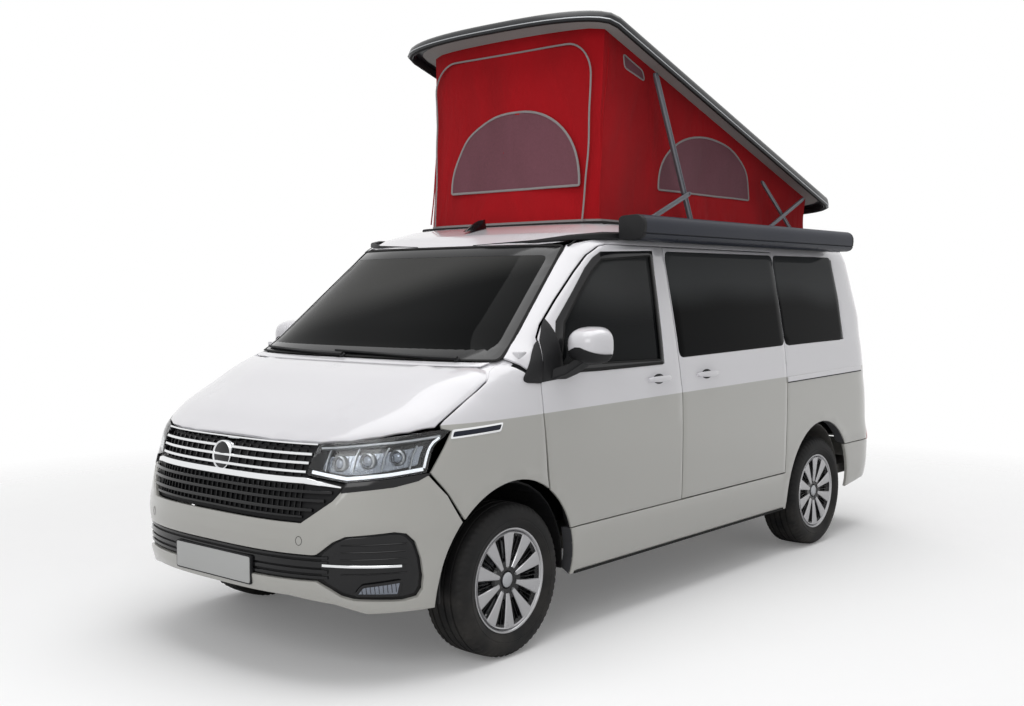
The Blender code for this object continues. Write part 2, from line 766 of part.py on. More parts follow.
def make_front():
    bumper_side = [(0.500, 0.372), (0.760, 0.345), (0.930, 0.302)]
    for z in (0.302, 0.36, 0.43, 0.50, 0.58, 0.65):
        x = arch_x(FRONT_AXLE_X, z, -1)
        bumper_side.append((side_q(x, z), z))
    gap_x = PANEL_GAP + 0.002
    bumper_side += [(side_q(-1.925 - gap_x, 0.770), 0.770), (side_q(-2.000 - gap_x, 0.858), 0.858)]
    bumper_side += [(1.047, 0.848), (0.815, 0.834), (0.742, 0.768), (0.568, 0.674)]
    bumper = finish("front_bumper",
                    panel(both([(0.25, 0.372), *bumper_side]), on_nose, ahead, BUMPER_WALL, 0.20), BEIGE)
    holder_x = FRONT_X - 0.004
    add(bumper, box((holder_x, -PLATE_WIDTH / 2, PLATE_Z - PLATE_HEIGHT / 2),
                    (FRONT_X + 0.020, PLATE_WIDTH / 2, PLATE_Z + PLATE_HEIGHT / 2)))
    finish("grille", panel(both(list(GRILLE_SIDE)), on_nose, ahead, 0.030, 0.20), GLOSS)
    for sign, side in SIDES:
        outline = [(sign * q, z) for q, z in LAMP_OUTLINE]
        finish(f"{side}_headlamp", panel(outline, on_nose, ahead, 0.045, 0.16, inset=0.012), LAMP)
    side = [(-2.331, 0.270), (-2.276, 0.523), (-2.134, 0.722), (-1.950, 0.851), (-1.905, 0.856), (-1.815, 0.858),
            (-1.705, 0.862), (-1.640, 0.862), (-1.606, 0.825)]
    rear = [(nose_x(y, ring_at(BONNET_REAR_Z)), y) for y in (0.78, 0.60, 0.30)]
    half = side + rear
    finish("bonnet", panel([(x, -y) for x, y in half] + [(x, y) for x, y in reversed(half)], on_bonnet,
                           (-0.5, 0, 1), 0.018, 0.22, inset=0.004), WHITE,
           (BONNET_HINGE_X, 0, BONNET_HINGE_Z))
    screen = [(screen_half(z), z) for z in (SCREEN_LOW_Z, 1.45, 1.60, 1.72, SCREEN_HIGH_Z)]
    finish("windscreen", panel(both([(0.4, SCREEN_LOW_Z)] + screen + [(0.4, SCREEN_HIGH_Z)]), on_screen,
                               (-1, 0, 0.5), GLASS_WALL, 0.24), GLASS)


PLATE_WIDTH = 0.522
PLATE_HEIGHT = 0.113
PLATE_Z = 0.453
BONNET_REAR_Z = 1.276
BONNET_HINGE_X = -1.470
BONNET_HINGE_Z = 1.285
SIDES = ((-1, "left"), (1, "right"))


GATE_HINGE_Z = 1.850
PAD = 0.0005


LAMP_ROWS = (BUMPER_TOP_Z - PANEL_GAP + PAD, 0.65, 0.70, 0.75, 0.85, LAMP_HIGH_Z)


def tail_q(x, y, z):
    return abs(y) + ring_at(z)[4] - x


def make_rear():
    heights = (GATE_LOW_Z, 0.80, 1.10, 1.30, 1.50, 1.70, GATE_HIGH_Z)
    half = [(float(gate_half(z)), z) for z in heights]
    window = both([(0.30, 1.255), (0.625, 1.262), (0.560, 1.720), (0.30, 1.735)])
    hinge_x = tail_x(0.0, ring_at(GATE_HINGE_Z)) - 0.006
    gate = finish("tailgate",
                  panel(both([(0.30, GATE_LOW_Z)] + half + [(0.30, GATE_HIGH_Z)]), on_tailgate, (1, 0, 0),
                        DOOR_WALL, 0.24, [dense(window, 0.24)], 0.012),
                  WHITE, (hinge_x, 0, GATE_HINGE_Z + 0.002))
    finish("tailgate_glass", panel(glass_of(window), on_tailgate, (1, 0, 0), GLASS_WALL, 0.30), GLASS,
           gate.location)
    for sign, side in SIDES:
        outline = []
        for z in LAMP_ROWS:
            y = float(gate_half(z)) + PANEL_GAP
            outline.append((sign * tail_q(tail_x(y, ring_at(z)), y, z), z))
        for z in LAMP_ROWS[::-1]:
            outline.append((sign * tail_q(LAMP_FRONT_X, side_y(LAMP_FRONT_X, z), z), z))
        finish(f"{side}_tail_lamp", panel(outline, on_tail, astern, 0.040, 0.16, inset=0.006), RED_LAMP)
    low_edge = [(0.30, 0.340), (0.90, 0.352), (1.25, 0.345)]
    side = []
    for z in (0.315, 0.40, 0.50, BUMPER_TOP_Z - PANEL_GAP):
        x = arch_x(REAR_AXLE_X, z, 1)
        side.append((tail_q(x, side_y(x, z), z), z))
    y = float(gate_half(0.60)) + PANEL_GAP
    step_q = tail_q(tail_x(y, ring_at(0.60)), y, 0.60)
    top = [(step_q, BUMPER_TOP_Z - PANEL_GAP), (step_q - 0.01, GATE_LOW_Z - PANEL_GAP),
           (0.30, GATE_LOW_Z - PANEL_GAP)]
    bumper = finish("rear_bumper",
                    panel(both(low_edge + side + top), on_tail, astern, BUMPER_WALL, 0.20), BEIGE)
    for sign, side in SIDES:
        ys = sorted((sign * 0.50, sign * 0.56))
        add(bumper, box((FLOOR_REAR_X + PAD, ys[0], 0.420), (REAR_X - 0.030, ys[1], 0.450)))


FLOOR_FRONT_X = -1.100
FLOOR_REAR_X = 2.330
FLOOR_HALF_WIDTH = 0.868
TOE_HALF_WIDTH = 0.480
TOE_STEP = 0.010
WELL_HALF_WIDTH = TRACK / 2 - 0.159
WELL_RADIUS = 0.418


def liner(axle_x, sign, inner_y, outer_y):
    """A wheel housing: half a drum over the wheel, closed on its inner side."""
    pipe = arc((axle_x, ARCH_Z), WELL_RADIUS, -6, 186, 16)
    pipe += arc((axle_x, ARCH_Z), WELL_RADIUS - LINER_WALL, 186, -6, 16)
    plate = arc((axle_x, ARCH_Z), WELL_RADIUS - 0.002, -6, 186, 16)
    ys = sorted((sign * inner_y, sign * outer_y))
    wall = sorted((sign * inner_y, sign * (inner_y + LINER_WALL)))
    return prism(pipe, *ys, 1), prism(plate, wall[0] + 0.0004, wall[1] - 0.0004, 1)


def make_floor():
    half = [(FLOOR_FRONT_X, -FLOOR_HALF_WIDTH), (2.100, -FLOOR_HALF_WIDTH), (2.260, -0.760), (FLOOR_REAR_X, -0.600)]
    outline = half + [(x, -y) for x, y in reversed(half)]
    floor = finish("floor_pan", prism(outline, FLOOR_Z - FLOOR_WALL, FLOOR_Z, 2), FLOORING)
    add(floor, box((BULKHEAD_X + PAD, -TOE_HALF_WIDTH, FLOOR_Z - FLOOR_WALL + TOE_STEP),
                   (FLOOR_FRONT_X + 0.05, TOE_HALF_WIDTH, FLOOR_Z - TOE_STEP)))
    for sign, side in SIDES:
        ys = sorted((sign * WELL_HALF_WIDTH, sign * 1.0))
        well = WELL_RADIUS - LINER_WALL / 2
        cut(floor, box((REAR_AXLE_X - well, ys[0], 0.2), (REAR_AXLE_X + well, ys[1], 0.7)))
        add(floor, *liner(REAR_AXLE_X, sign, WELL_HALF_WIDTH - 0.004, FLOOR_HALF_WIDTH))
        for x in (-0.60, 0.60):
            face = min(abs(reach(f"{side}_body_side", (spot_x, 0, z), (0, sign, 0)).y)
                       for spot_x in (x, x + 0.10) for z in (FLOOR_Z - 0.045, FLOOR_Z - 0.025))
            ys = sorted((sign * (FLOOR_HALF_WIDTH - 0.02), sign * (face - PAD)))
            add(floor, box((x, ys[0], FLOOR_Z - 0.045), (x + 0.10, ys[1], FLOOR_Z - 0.025)))
        hub_y = sorted((sign * (WELL_HALF_WIDTH - 0.065), sign * (WELL_HALF_WIDTH + 0.015)))
        cut(floor, box((REAR_AXLE_X - 0.090, hub_y[0], 0.200), (REAR_AXLE_X + 0.090, hub_y[1], 0.430)))
    seal = min(reach("tailgate", (2.0, y, z), (1, 0, 0)).x for y in (-0.10, 0.10) for z in (0.645, 0.675))
    add(floor, box((FLOOR_REAR_X - 0.060, -0.10, FLOOR_Z - 0.02), (FLOOR_REAR_X - 0.020, 0.10, 0.70)))
    add(floor, box((FLOOR_REAR_X - 0.040, -0.10, 0.645), (seal - PAD, 0.10, 0.675)))


BULKHEAD_X = -1.4523
RAIL_Y = (0.380, 0.460)
RAIL_Z = (0.450, 0.530)
CROSS_X = -2.250
LOCK_X = CROSS_X + 0.035
LINER_INNER_Y = TRACK / 2 - 0.319
LINER_OUTER_Y = TRACK / 2 + 0.066


def make_front_structure():
    wall = 0.028
    top = 1.262
    outline = [(-0.840, 0.815), (-0.840, top), (0.840, top), (0.840, 0.815), (0.490, 0.815), (0.490, 0.402),
               (-0.490, 0.402), (-0.490, 0.815)]
    frame = finish("front_structure", prism(outline, BULKHEAD_X - wall, BULKHEAD_X, 0), BLACK)
    add(frame, box((-1.670, -0.600, top - 0.027), (BULKHEAD_X - 0.010, 0.600, top)))
    strip = both([(0.40, BONNET_REAR_Z + PANEL_GAP), (0.780, BONNET_REAR_Z + PANEL_GAP),
                  (0.775, SCREEN_LOW_Z - PANEL_GAP), (0.40, SCREEN_LOW_Z - PANEL_GAP)])
    add(frame, panel(strip, on_screen, (-1, 0, 0.5), 0.055, 0.24))
    for sign, _ in SIDES:
        ys = sorted((sign * 0.30, sign * 0.36))
        front = max(reach("windscreen", (-1.2, y, 1.320), (-1, 0, 0)).x for y in ys)
        add(frame, box((front + PAD, ys[0], 1.245), (front + 0.030, ys[1], 1.320)))
    for sign, _ in SIDES:
        ys = sorted((sign * RAIL_Y[0], sign * RAIL_Y[1]))
        add(frame, box((CROSS_X + 0.03, ys[0], RAIL_Z[0]), (BULKHEAD_X - 0.010, ys[1], RAIL_Z[1])))
        pieces = liner(FRONT_AXLE_X, sign, LINER_INNER_Y, LINER_OUTER_Y)
        add(frame, *pieces)
        low = sorted((sign * 0.40, sign * 0.502))
        add(frame, box((-1.620, low[0], 0.460), (-1.560, low[1], 0.500)))
    add(frame, box((CROSS_X, -0.560, 0.420), (CROSS_X + 0.060, 0.560, 0.560)))
    add(frame, box((CROSS_X + 0.050, -0.460, 0.430), (CROSS_X + 0.080, 0.460, 0.930)))
    add(frame, box((LOCK_X, -0.560, 0.895), (LOCK_X + 0.043, 0.560, 0.935)))
    for sign, side in SIDES:
        spot = (LOCK_X + 0.020, sign * 0.300)
        under = min(reach("bonnet", (spot[0] + dx, spot[1] + dy, 0.94), (0, 0, 1)).z
                    for dx in (-0.01, 0.01) for dy in (-0.01, 0.01))
        add(frame, rod((*spot, 0.920), (*spot, under - PAD), 0.010, 8))
        add(bpy.data.objects["front_bumper"],
            box((FRONT_X + 0.015, sign * 0.33 - 0.03, 0.460), (CROSS_X - PAD, sign * 0.33 + 0.03, 0.500)))
        add(bpy.data.objects["grille"],
            box((FRONT_X + 0.075, sign * 0.33 - 0.03, 0.900), (LOCK_X - PAD, sign * 0.33 + 0.03, 0.925)))
        add(bpy.data.objects[f"{side}_headlamp"],
            box((CROSS_X - 0.050, sign * 0.545 - 0.012, 0.900), (LOCK_X - PAD, sign * 0.545 + 0.012, 0.925)))
        top_z = ARCH_Z + WELL_RADIUS + PAD
        ys = sorted((sign * (LINER_OUTER_Y - 0.02), sign * (HALF_WIDTH - 0.015)))
        add(bpy.data.objects[f"{side}_fender"],
            box((FRONT_AXLE_X - 0.02, ys[0], top_z), (FRONT_AXLE_X + 0.02, ys[1], top_z + 0.02)))


# Roof


def loop_of(ring, height, corners=9, middle=4):
    """Points round a ring, from its front on the right side round to the left and back along the right."""
    w, xf, lf, nf, xr, lr, nr = ring
    points = []
    for i in range(corners):
        y, depth = wrapped((w + lf) * (1 - 2 * i / (corners - 1)), w, lf, nf)
        points.append((xf + depth, y))
    for i in range(1, middle):
        points.append((xf + lf + (xr - lr - xf - lf) * i / middle, -w))
    for i in range(corners):
        y, depth = wrapped(-(w + lr) * (1 - 2 * i / (corners - 1)), w, lr, nr)
        points.append((xr - depth, y))
    for i in range(1, middle):
        points.append((xr - lr - (xr - lr - xf - lf) * i / middle, w))
    return [Vector((x, y, height)) for x, y in points]


def loft(loops, caps):
    """Closed loops joined in turn; with caps the first and last are filled, otherwise they are joined."""
    bm = bmesh.new()
    rows = [[bm.verts.new(point) for point in loop] for loop in loops]
    for first, second in zip(rows, rows[1:]):
        join(bm, first, second)
    if caps:
        bm.faces.new(rows[0])
        bm.faces.new(rows[-1])
    else:
        join(bm, rows[-1], rows[0])
    return bm


def mixed(first, second, share):
    return tuple(a + (b - a) * share for a, b in zip(first, second))


def smaller(ring, amount):
    w, xf, lf, nf, xr, lr, nr = ring
    return (w - amount, xf + amount, lf, nf, xr - amount, lr, nr)


def roof_base_z(x):
    return float(np.interp(x, (-0.870, -0.790, -0.700, 2.120, 2.190),
                           (SCREEN_HIGH_Z + 0.008, SIDE_TOP_Z - 0.008, SIDE_TOP_Z + PAD, SIDE_TOP_Z + PAD,
                            GATE_HIGH_Z + 0.008)))


def base_loop(inward):
    """The roof's lower edge: each point is found again on the outline at its own height."""
    rough = loop_of(smaller(ring_at(SIDE_TOP_Z), inward), 0.0)
    heights = [roof_base_z(point.x) for point in rough]
    return [loop_of(smaller(ring_at(z), inward), z)[i] for i, z in enumerate(heights)]


ROOF_WALL = 0.022
OPENING_LENGTH = 0.06


def opening_ring(inward=0.0):
    return (OPENING_HALF_WIDTH - inward, OPENING_FRONT_X + inward, OPENING_LENGTH, 2.2,
            OPENING_REAR_X - inward, OPENING_LENGTH, 2.2)


def make_roof():
    edge = ring_at(ROOF_Z)
    hole = opening_ring()
    outer = [base_loop(0.0), loop_of(edge, ROOF_Z)]
    inner = [base_loop(ROOF_WALL), loop_of(smaller(edge, ROOF_WALL), ROOF_Z - ROOF_WALL)]
    for share in (0.35, 0.70, 1.0):
        z = ROOF_Z + CROWN_RISE * math.sin(share * math.pi / 2)
        outer.append(loop_of(mixed(edge, hole, share), z))
        inner.append(loop_of(mixed(smaller(edge, ROOF_WALL), hole, share), z - ROOF_WALL))
    roof = finish("roof_skin", loft(outer + inner[::-1], False), WHITE)
    for sign, _ in SIDES:
        for x, reach, height in BRACKETS:
            ys = sorted((sign * reach[0], sign * reach[1]))
            add(roof, box((x - 0.018, ys[0], ROOF_Z - 0.002), (x + 0.018, ys[1], height)))
    return roof


# Lift linkage, one row for each kind of arm: pivot x and z, the bracket's reach in y, its top,
# the arm's place in y with its radius, and its name, length and angle from +X at rest, the side
# that the bracket is on and half the bar's width.
STRUT_Y, STAY_Y, CROSS_Y, BRACE_Y = 0.668, 0.698, 0.665, 0.690
EYE_LIP = 0.001
ARM_ROWS = (
    ("lift_strut", 0.345, 1.995, STRUT_Y, 0.012, 0.880, 115.5, -1, 0.019),
    ("lift_stay", -0.160, 1.982, STAY_Y, 0.008, 0.480, 22.0, 1, 0.014),
    ("cross_arm", 1.596, 1.990, CROSS_Y, 0.009, 0.520, 144.5, -1, 0.012),
    ("brace_arm", 1.180, 1.984, BRACE_Y, 0.009, 0.570, 24.0, 1, 0.012),
)


def bracket_rows():
    rows = []
    for name, x, z, y, radius, length, angle, outside, _ in ARM_ROWS:
        if outside > 0:
            reach = (y + radius + EYE_LIP + SEAT_GAP, y + radius + 0.016)
        else:
            reach = (y - radius - 0.016, y - radius - EYE_LIP - SEAT_GAP)
        rows.append((x, reach, z + 0.010))
    return rows


BRACKETS = bracket_rows()


def make_arms():
    for sign, side in SIDES:
        for name, x, z, y, radius, length, angle, _, wide in ARM_ROWS:
            start = Vector((x, sign * y, z))
            way = Vector((math.cos(math.radians(angle)), 0, math.sin(math.radians(angle))))
            across = Vector((-way.z, 0, way.x)) * wide
            thick = Vector((0, radius, 0))
            ends = [[spot + a * across + b * thick for a, b in ((-1, -1), (1, -1), (1, 1), (-1, 1))]
                    for spot in (start - way * 0.012, start + way * length)]
            arm = finish(f"{side}_{name}", loft(ends, True), STEEL, start)
            eye = radius + EYE_LIP
            add(arm, rod((x, sign * (y - eye), z), (x, sign * (y + eye), z), radius * 1.25, 10))


def raised(points):
    """Points of the shut roof turned up about its pivot."""
    angle = math.radians(ROOF_ANGLE)
    px, pz = ROOF_PIVOT
    turned = []
    for p in points:
        x, z = p.x - px, p.z - pz
        turned.append(Vector((px + x * math.cos(angle) + z * math.sin(angle), p.y,
                              pz - x * math.sin(angle) + z * math.cos(angle))))
    return turned


def shell_ring(inward):
    return (SHELL_HALF_WIDTH - inward, SHELL_FRONT_X + inward, 0.16, 2.6, SHELL_REAR_X - inward, 0.16, 2.6)


SHELL_WALL = 0.016
TENT_TOP_HALF_WIDTH = 0.607
TENT_TOP_FRONT_X = -0.632
TENT_TOP_REAR_X = 1.911


def make_pop_roof():
    rim = SHELL_RIM_Z
    top = rim + SHELL_HEIGHT
    outer = [(0.006, rim), (0.000, rim + 0.020), (0.004, rim + 0.046), (0.020, rim + 0.062), (0.090, top - 0.020),
             (0.300, top - 0.004), (0.600, top)]
    loops = [raised(loop_of(shell_ring(inward), z)) for inward, z in outer]
    inner = [(SHELL_WALL + 0.006, rim), (SHELL_WALL + 0.010, rim + SHELL_SKIRT)]
    loops = [raised(loop_of(shell_ring(inward), z)) for inward, z in inner[::-1]] + loops
    pivot = (ROOF_PIVOT[0], 0, ROOF_PIVOT[1])
    finish("roof_shell", loft(loops, True), GLOSS, pivot)
    base_z = ROOF_Z + CROWN_RISE + SEAT_GAP
    ceiling = rim + SHELL_SKIRT - SEAT_GAP
    top_ring = (TENT_TOP_HALF_WIDTH, TENT_TOP_FRONT_X, OPENING_LENGTH, 2.2, TENT_TOP_REAR_X, OPENING_LENGTH, 2.2)
    low_ring = smaller(opening_ring(), -0.006)
    loops = [loop_of(low_ring, base_z), raised(loop_of(top_ring, ceiling)),
             raised(loop_of(smaller(top_ring, TENT_WALL), ceiling)), loop_of(smaller(low_ring, TENT_WALL), base_z)]
    finish("tent", loft(loops, False), CANVAS)


AWNING_X = (-0.630, 1.795)
AWNING_Z = (1.862, 1.990)
AWNING_OUT = 1.000
AWNING_FOOT_Z = 1.885


def make_awning():
    """A cassette with a rounded front, on three brackets against the side of the roof."""
    inner = ring_at(ROOF_Z)[0] + 0.055
    low, high = AWNING_Z
    profile = [(-inner, low + 0.012), (-inner, high - 0.020), (-inner - 0.030, high - 0.004)]
    profile += [(-AWNING_OUT + 0.040, high), (-AWNING_OUT + 0.008, high - 0.022), (-AWNING_OUT, high - 0.060)]
    profile += [(-AWNING_OUT + 0.010, low + 0.024), (-AWNING_OUT + 0.045, low), (-inner - 0.020, low)]
    awning = finish("awning_cassette", prism(profile, *AWNING_X, 0), BLACK)
    for x in (-0.45, 0.45, 1.35):
        skin = float(np.interp(AWNING_FOOT_Z, (SIDE_TOP_Z, ROOF_Z), (side_y(x, SIDE_TOP_Z), side_y(x, ROOF_Z))))
        add(awning, box((x - 0.03, -inner - 0.010, AWNING_FOOT_Z), (x + 0.03, -skin - PAD, 1.915)))


# Wheels and running gear

WHEEL_SEGMENTS = 28
DISC_OFFSET = 0.086
DISC_WALL = 0.028
BARREL_RADIUS = 0.205
ARM_Z = 0.205
SUBFRAME_TOP_Z = 0.262


def wheel_rows():
    rows = []
    for end, axle_x in (("front", FRONT_AXLE_X), ("rear", REAR_AXLE_X)):
        for sign, side in SIDES:
            rows.append((f"{end}_{side}", sign, Vector((axle_x, sign * TRACK / 2, TYRE_RADIUS))))
    return rows


def make_wheel(name, sign, centre):
    half = TYRE_WIDTH / 2
    bead = RIM_RADIUS + SEAT_GAP
    right_half = [(TYRE_RADIUS, half - 0.030), (TYRE_RADIUS - 0.014, half - 0.008),
                  (RIM_RADIUS + 0.045, half), (bead, half - 0.018)]
    profile = right_half + [(r, -offset) for r, offset in reversed(right_half)]
    bm = bmesh.new()
    lathe(bm, profile, WHEEL_SEGMENTS, centre)
    finish(f"{name}_tyre", bm, RUBBER, centre)
    half = RIM_WIDTH / 2
    profile = [(RIM_RADIUS, half), (RIM_RADIUS, -half), (BARREL_RADIUS, -half), (BARREL_RADIUS, half)]
    bm = bmesh.new()
    lathe(bm, profile, WHEEL_SEGMENTS, centre)
    rim = finish(f"{name}_rim", bm, ALLOY, centre)
    face_y = centre.y + sign * DISC_OFFSET
    holes = []
    for i in range(SPOKES):
        middle = 360 * (i + 0.5) / SPOKES
        hole = arc((centre.x, centre.z), 0.192, middle - 8, middle + 8, 1)
        hole += arc((centre.x, centre.z), 0.088, middle + 6, middle - 6, 1)
        holes.append(hole)
    rim_edge = arc((centre.x, centre.z), BARREL_RADIUS + 0.006, 0, 360, WHEEL_SEGMENTS)[:-1]
    flat = lambda x, z: Vector((x, face_y, z))
    add(rim, panel(rim_edge, flat, (0, sign, 0), DISC_WALL, 0.12, holes))


def make_knuckle(sign, side):
    axle_y = sign * TRACK / 2
    hub_y = axle_y + sign * (DISC_OFFSET - DISC_WALL - SEAT_GAP)
    z = TYRE_RADIUS
    x = FRONT_AXLE_X
    kingpin = Vector((x, sign * KINGPIN_Y, z))
    knuckle = finish(f"{side}_knuckle", rod((x, hub_y, z), (x, sign * 0.662, z), HUB_RADIUS, 20), STEEL, kingpin)
    ys = sorted((sign * 0.690, sign * 0.656))
    add(knuckle, box((x - 0.030, ys[0], 0.250), (x + 0.030, ys[1], 0.520)))
    add(knuckle, rod((x, kingpin.y, ARM_Z + PAD), (x, kingpin.y, z - 0.030), 0.016, 12))


def make_subframe():
    x = FRONT_AXLE_X
    frame = finish("front_subframe", box((x - 0.200, -0.400, 0.205), (x + 0.200, 0.400, SUBFRAME_TOP_Z)), STEEL)
    for sign, _ in SIDES:
        ys = sorted((sign * 0.380, sign * KINGPIN_Y))
        arm = box((x - 0.120, ys[0], ARM_Z - 0.026), (x + 0.120, ys[1], ARM_Z + 0.002))
        for vert in arm.verts:
            if abs(vert.co.y) > 0.5:
                vert.co.x = x + math.copysign(0.020, vert.co.x - x)
                vert.co.z = min(vert.co.z, ARM_Z)
        add(frame, arm)
        add(frame, rod((x, sign * KINGPIN_Y, ARM_Z - 0.026), (x, sign * KINGPIN_Y, ARM_Z), 0.022, 12))
        for dx, under in ((-0.17, RAIL_Z[0]), (0.17, FLOOR_Z - FLOOR_WALL + TOE_STEP)):
            ys = sorted((sign * 0.397, sign * 0.382))
            add(frame, box((x + dx - 0.02, ys[0], 0.240), (x + dx + 0.02, ys[1], under - PAD)))
    finish("engine_block", soft_box((x - 0.400, -0.360, SUBFRAME_TOP_Z + PAD), (x + 0.060, 0.360, 0.860), 0.03),
           STEEL)


def make_rear_axle():
    z = TYRE_RADIUS
    beam_x = REAR_AXLE_X - 0.200
    axle = finish("rear_axle", rod((beam_x, -0.610, z - 0.02), (beam_x, 0.610, z - 0.02), 0.038, 12), STEEL)
    for sign, _ in SIDES:
        hub_y = sign * (TRACK / 2 + DISC_OFFSET - DISC_WALL - SEAT_GAP)
        add(axle, rod((REAR_AXLE_X, hub_y, z), (REAR_AXLE_X, sign * 0.600, z), HUB_RADIUS, 20))
        ys = sorted((sign * 0.570, sign * 0.640))
        add(axle, box((beam_x - 0.350, ys[0], z - 0.045), (REAR_AXLE_X + 0.02, ys[1], z + 0.015)))
        add(axle, box((beam_x - 0.350, ys[0], z - 0.02), (beam_x - 0.290, ys[1], FLOOR_Z - FLOOR_WALL - PAD)))


# Cabin

CAB_FLOOR_Z = FLOOR_Z + PAD


def make_seat(name, x, y, width, depth, cloth=CLOTH):
    low, high = y - width / 2, y + width / 2
    seat = finish(name, soft_box((x, low, 0.760), (x + depth, high, 0.900), 0.035), cloth)
    add(seat, box((x + 0.08, low + 0.06, CAB_FLOOR_Z), (x + depth - 0.10, high - 0.06, 0.790)))
    back = soft_box((x + depth - 0.090, low + 0.01, 0.840), (x + depth + 0.030, high - 0.01, 1.420), 0.035)
    for vert in back.verts:
        vert.co.x += 0.22 * (vert.co.z - 0.84)
    add(seat, back)
    return seat


def make_cabin():
    seats = (("left_front_seat", -0.420), ("right_front_seat", 0.420))
    for name, y in seats:
        seat = make_seat(name, -0.930, y, 0.500, 0.500)
        head = soft_box((-0.330, y - 0.130, 1.400), (-0.240, y + 0.130, 1.590), 0.03)
        add(seat, head)
    make_seat("rear_bench", 0.900, -0.150, 1.000, 0.520)
    profile = [(BULKHEAD_X + PAD, 0.860), (BULKHEAD_X + PAD, 1.200), (-1.380, 1.216), (-1.130, 1.200), (-1.075, 1.150),
               (-1.110, 0.960), (-1.230, 0.850)]
    dash = finish("dashboard", prism(profile, -0.765, 0.765, 1), BLACK)
    wheel = Vector((-0.930, 0.420, 1.090))
    tilt = Vector((0.89, 0, 0.456)).normalized()
    face = wheel - tilt * 0.105
    add(dash, rod(face - tilt * 0.100, face, 0.030, 16))
    bm = bmesh.new()
    ring = [(0.190 + 0.015 * math.cos(a), 0.015 * math.sin(a)) for a in np.linspace(0, math.tau, 6)[:-1]]
    lathe(bm, ring, 20, Vector((0, 0, 0)))
    turn = Vector((0, 1, 0)).rotation_difference(tilt).to_matrix().to_4x4()
    bmesh.ops.transform(bm, matrix=Matrix.Translation(wheel) @ turn, verts=bm.verts)
    steering = finish("steering_wheel", bm, BLACK, wheel)
    add(steering, rod(face + tilt * PAD, wheel + tilt * 0.012, 0.034, 12))
    across = turn.to_3x3()
    for way in ((1, 0, 0), (-1, 0, 0), (0, 0, -1)):
        tip = across @ Vector(way) * 0.188
        add(steering, rod(wheel - tilt * 0.010, wheel + tip, 0.012, 8))
    finish("kitchen_unit", soft_box((-0.100, 0.470, CAB_FLOOR_Z), (1.020, 0.835, 1.180), 0.012), BOARD)


def main():
    clear_scene()
    for sign, side in SIDES:
        make_side(sign, side)
    make_front()
    make_rear()
    make_floor()
    make_front_structure()
    make_roof()
    make_arms()
    make_pop_roof()
    make_awning()
    for name, sign, centre in wheel_rows():
        make_wheel(name, sign, centre)
    for sign, side in SIDES:
        make_knuckle(sign, side)
    make_subframe()
    make_rear_axle()
    make_cabin()


main()
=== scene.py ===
import math

import bpy
import bmesh
import numpy as np
from mathutils import Matrix, Vector
from mathutils.geometry import delaunay_2d_cdt


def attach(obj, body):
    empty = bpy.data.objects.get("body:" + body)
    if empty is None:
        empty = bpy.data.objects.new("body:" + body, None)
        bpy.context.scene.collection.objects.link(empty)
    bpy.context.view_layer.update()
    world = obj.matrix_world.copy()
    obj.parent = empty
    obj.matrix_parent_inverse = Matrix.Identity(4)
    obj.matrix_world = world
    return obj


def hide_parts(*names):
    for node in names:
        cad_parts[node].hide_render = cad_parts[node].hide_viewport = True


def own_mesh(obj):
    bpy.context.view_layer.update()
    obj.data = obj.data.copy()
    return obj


# Camper van with a raised pop-up roof: the looks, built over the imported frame.
# Metres, front at -X, left side at -Y.

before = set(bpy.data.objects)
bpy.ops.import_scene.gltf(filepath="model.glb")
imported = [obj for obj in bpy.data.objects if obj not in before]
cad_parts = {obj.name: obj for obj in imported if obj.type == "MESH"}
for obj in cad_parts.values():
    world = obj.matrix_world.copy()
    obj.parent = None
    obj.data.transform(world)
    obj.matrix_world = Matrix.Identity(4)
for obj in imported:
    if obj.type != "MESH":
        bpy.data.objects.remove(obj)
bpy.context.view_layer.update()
print("frame loaded")

# Body surface: one outline per height, the same one that the solids follow

bodySize = {"halfWidth": 0.952, "frontX": -2.448, "rearX": 2.452}
sectionRows = (  # z, side tuck, nose setback, front corner length and power, tail setback, rear corner
    (0.20, 0.092, 0.088, 0.95, 3.0, 0.122, 0.42, 3.2),
    (0.31, 0.030, 0.023, 1.00, 3.0, 0.042, 0.42, 3.4),
    (0.45, 0.014, 0.000, 1.00, 3.1, 0.000, 0.42, 3.4),
    (0.60, 0.006, 0.002, 1.00, 3.1, 0.005, 0.42, 3.4),
    (0.75, 0.002, 0.020, 1.00, 3.0, 0.067, 0.42, 3.4),
    (0.90, 0.000, 0.053, 0.98, 2.9, 0.072, 0.44, 3.4),
    (0.98, 0.000, 0.088, 0.96, 2.9, 0.074, 0.45, 3.3),
    (1.02, 0.001, 0.158, 0.95, 3.2, 0.075, 0.46, 3.2),
    (1.07, 0.002, 0.243, 0.92, 3.4, 0.076, 0.46, 3.2),
    (1.15, 0.009, 0.413, 0.82, 3.5, 0.078, 0.46, 3.2),
    (1.23, 0.016, 0.586, 0.68, 3.5, 0.084, 0.46, 3.2),
    (1.30, 0.025, 0.788, 0.48, 3.3, 0.092, 0.46, 3.2),
    (1.45, 0.049, 0.981, 0.46, 3.0, 0.107, 0.42, 3.3),
    (1.60, 0.076, 1.164, 0.45, 3.0, 0.137, 0.42, 3.3),
    (1.75, 0.104, 1.348, 0.44, 3.0, 0.172, 0.40, 3.3),
    (1.84, 0.122, 1.458, 0.44, 3.0, 0.197, 0.40, 3.3),
    (1.90, 0.162, 1.568, 0.44, 3.0, 0.232, 0.40, 3.3),
)
heights = np.array([row[0] for row in sectionRows])


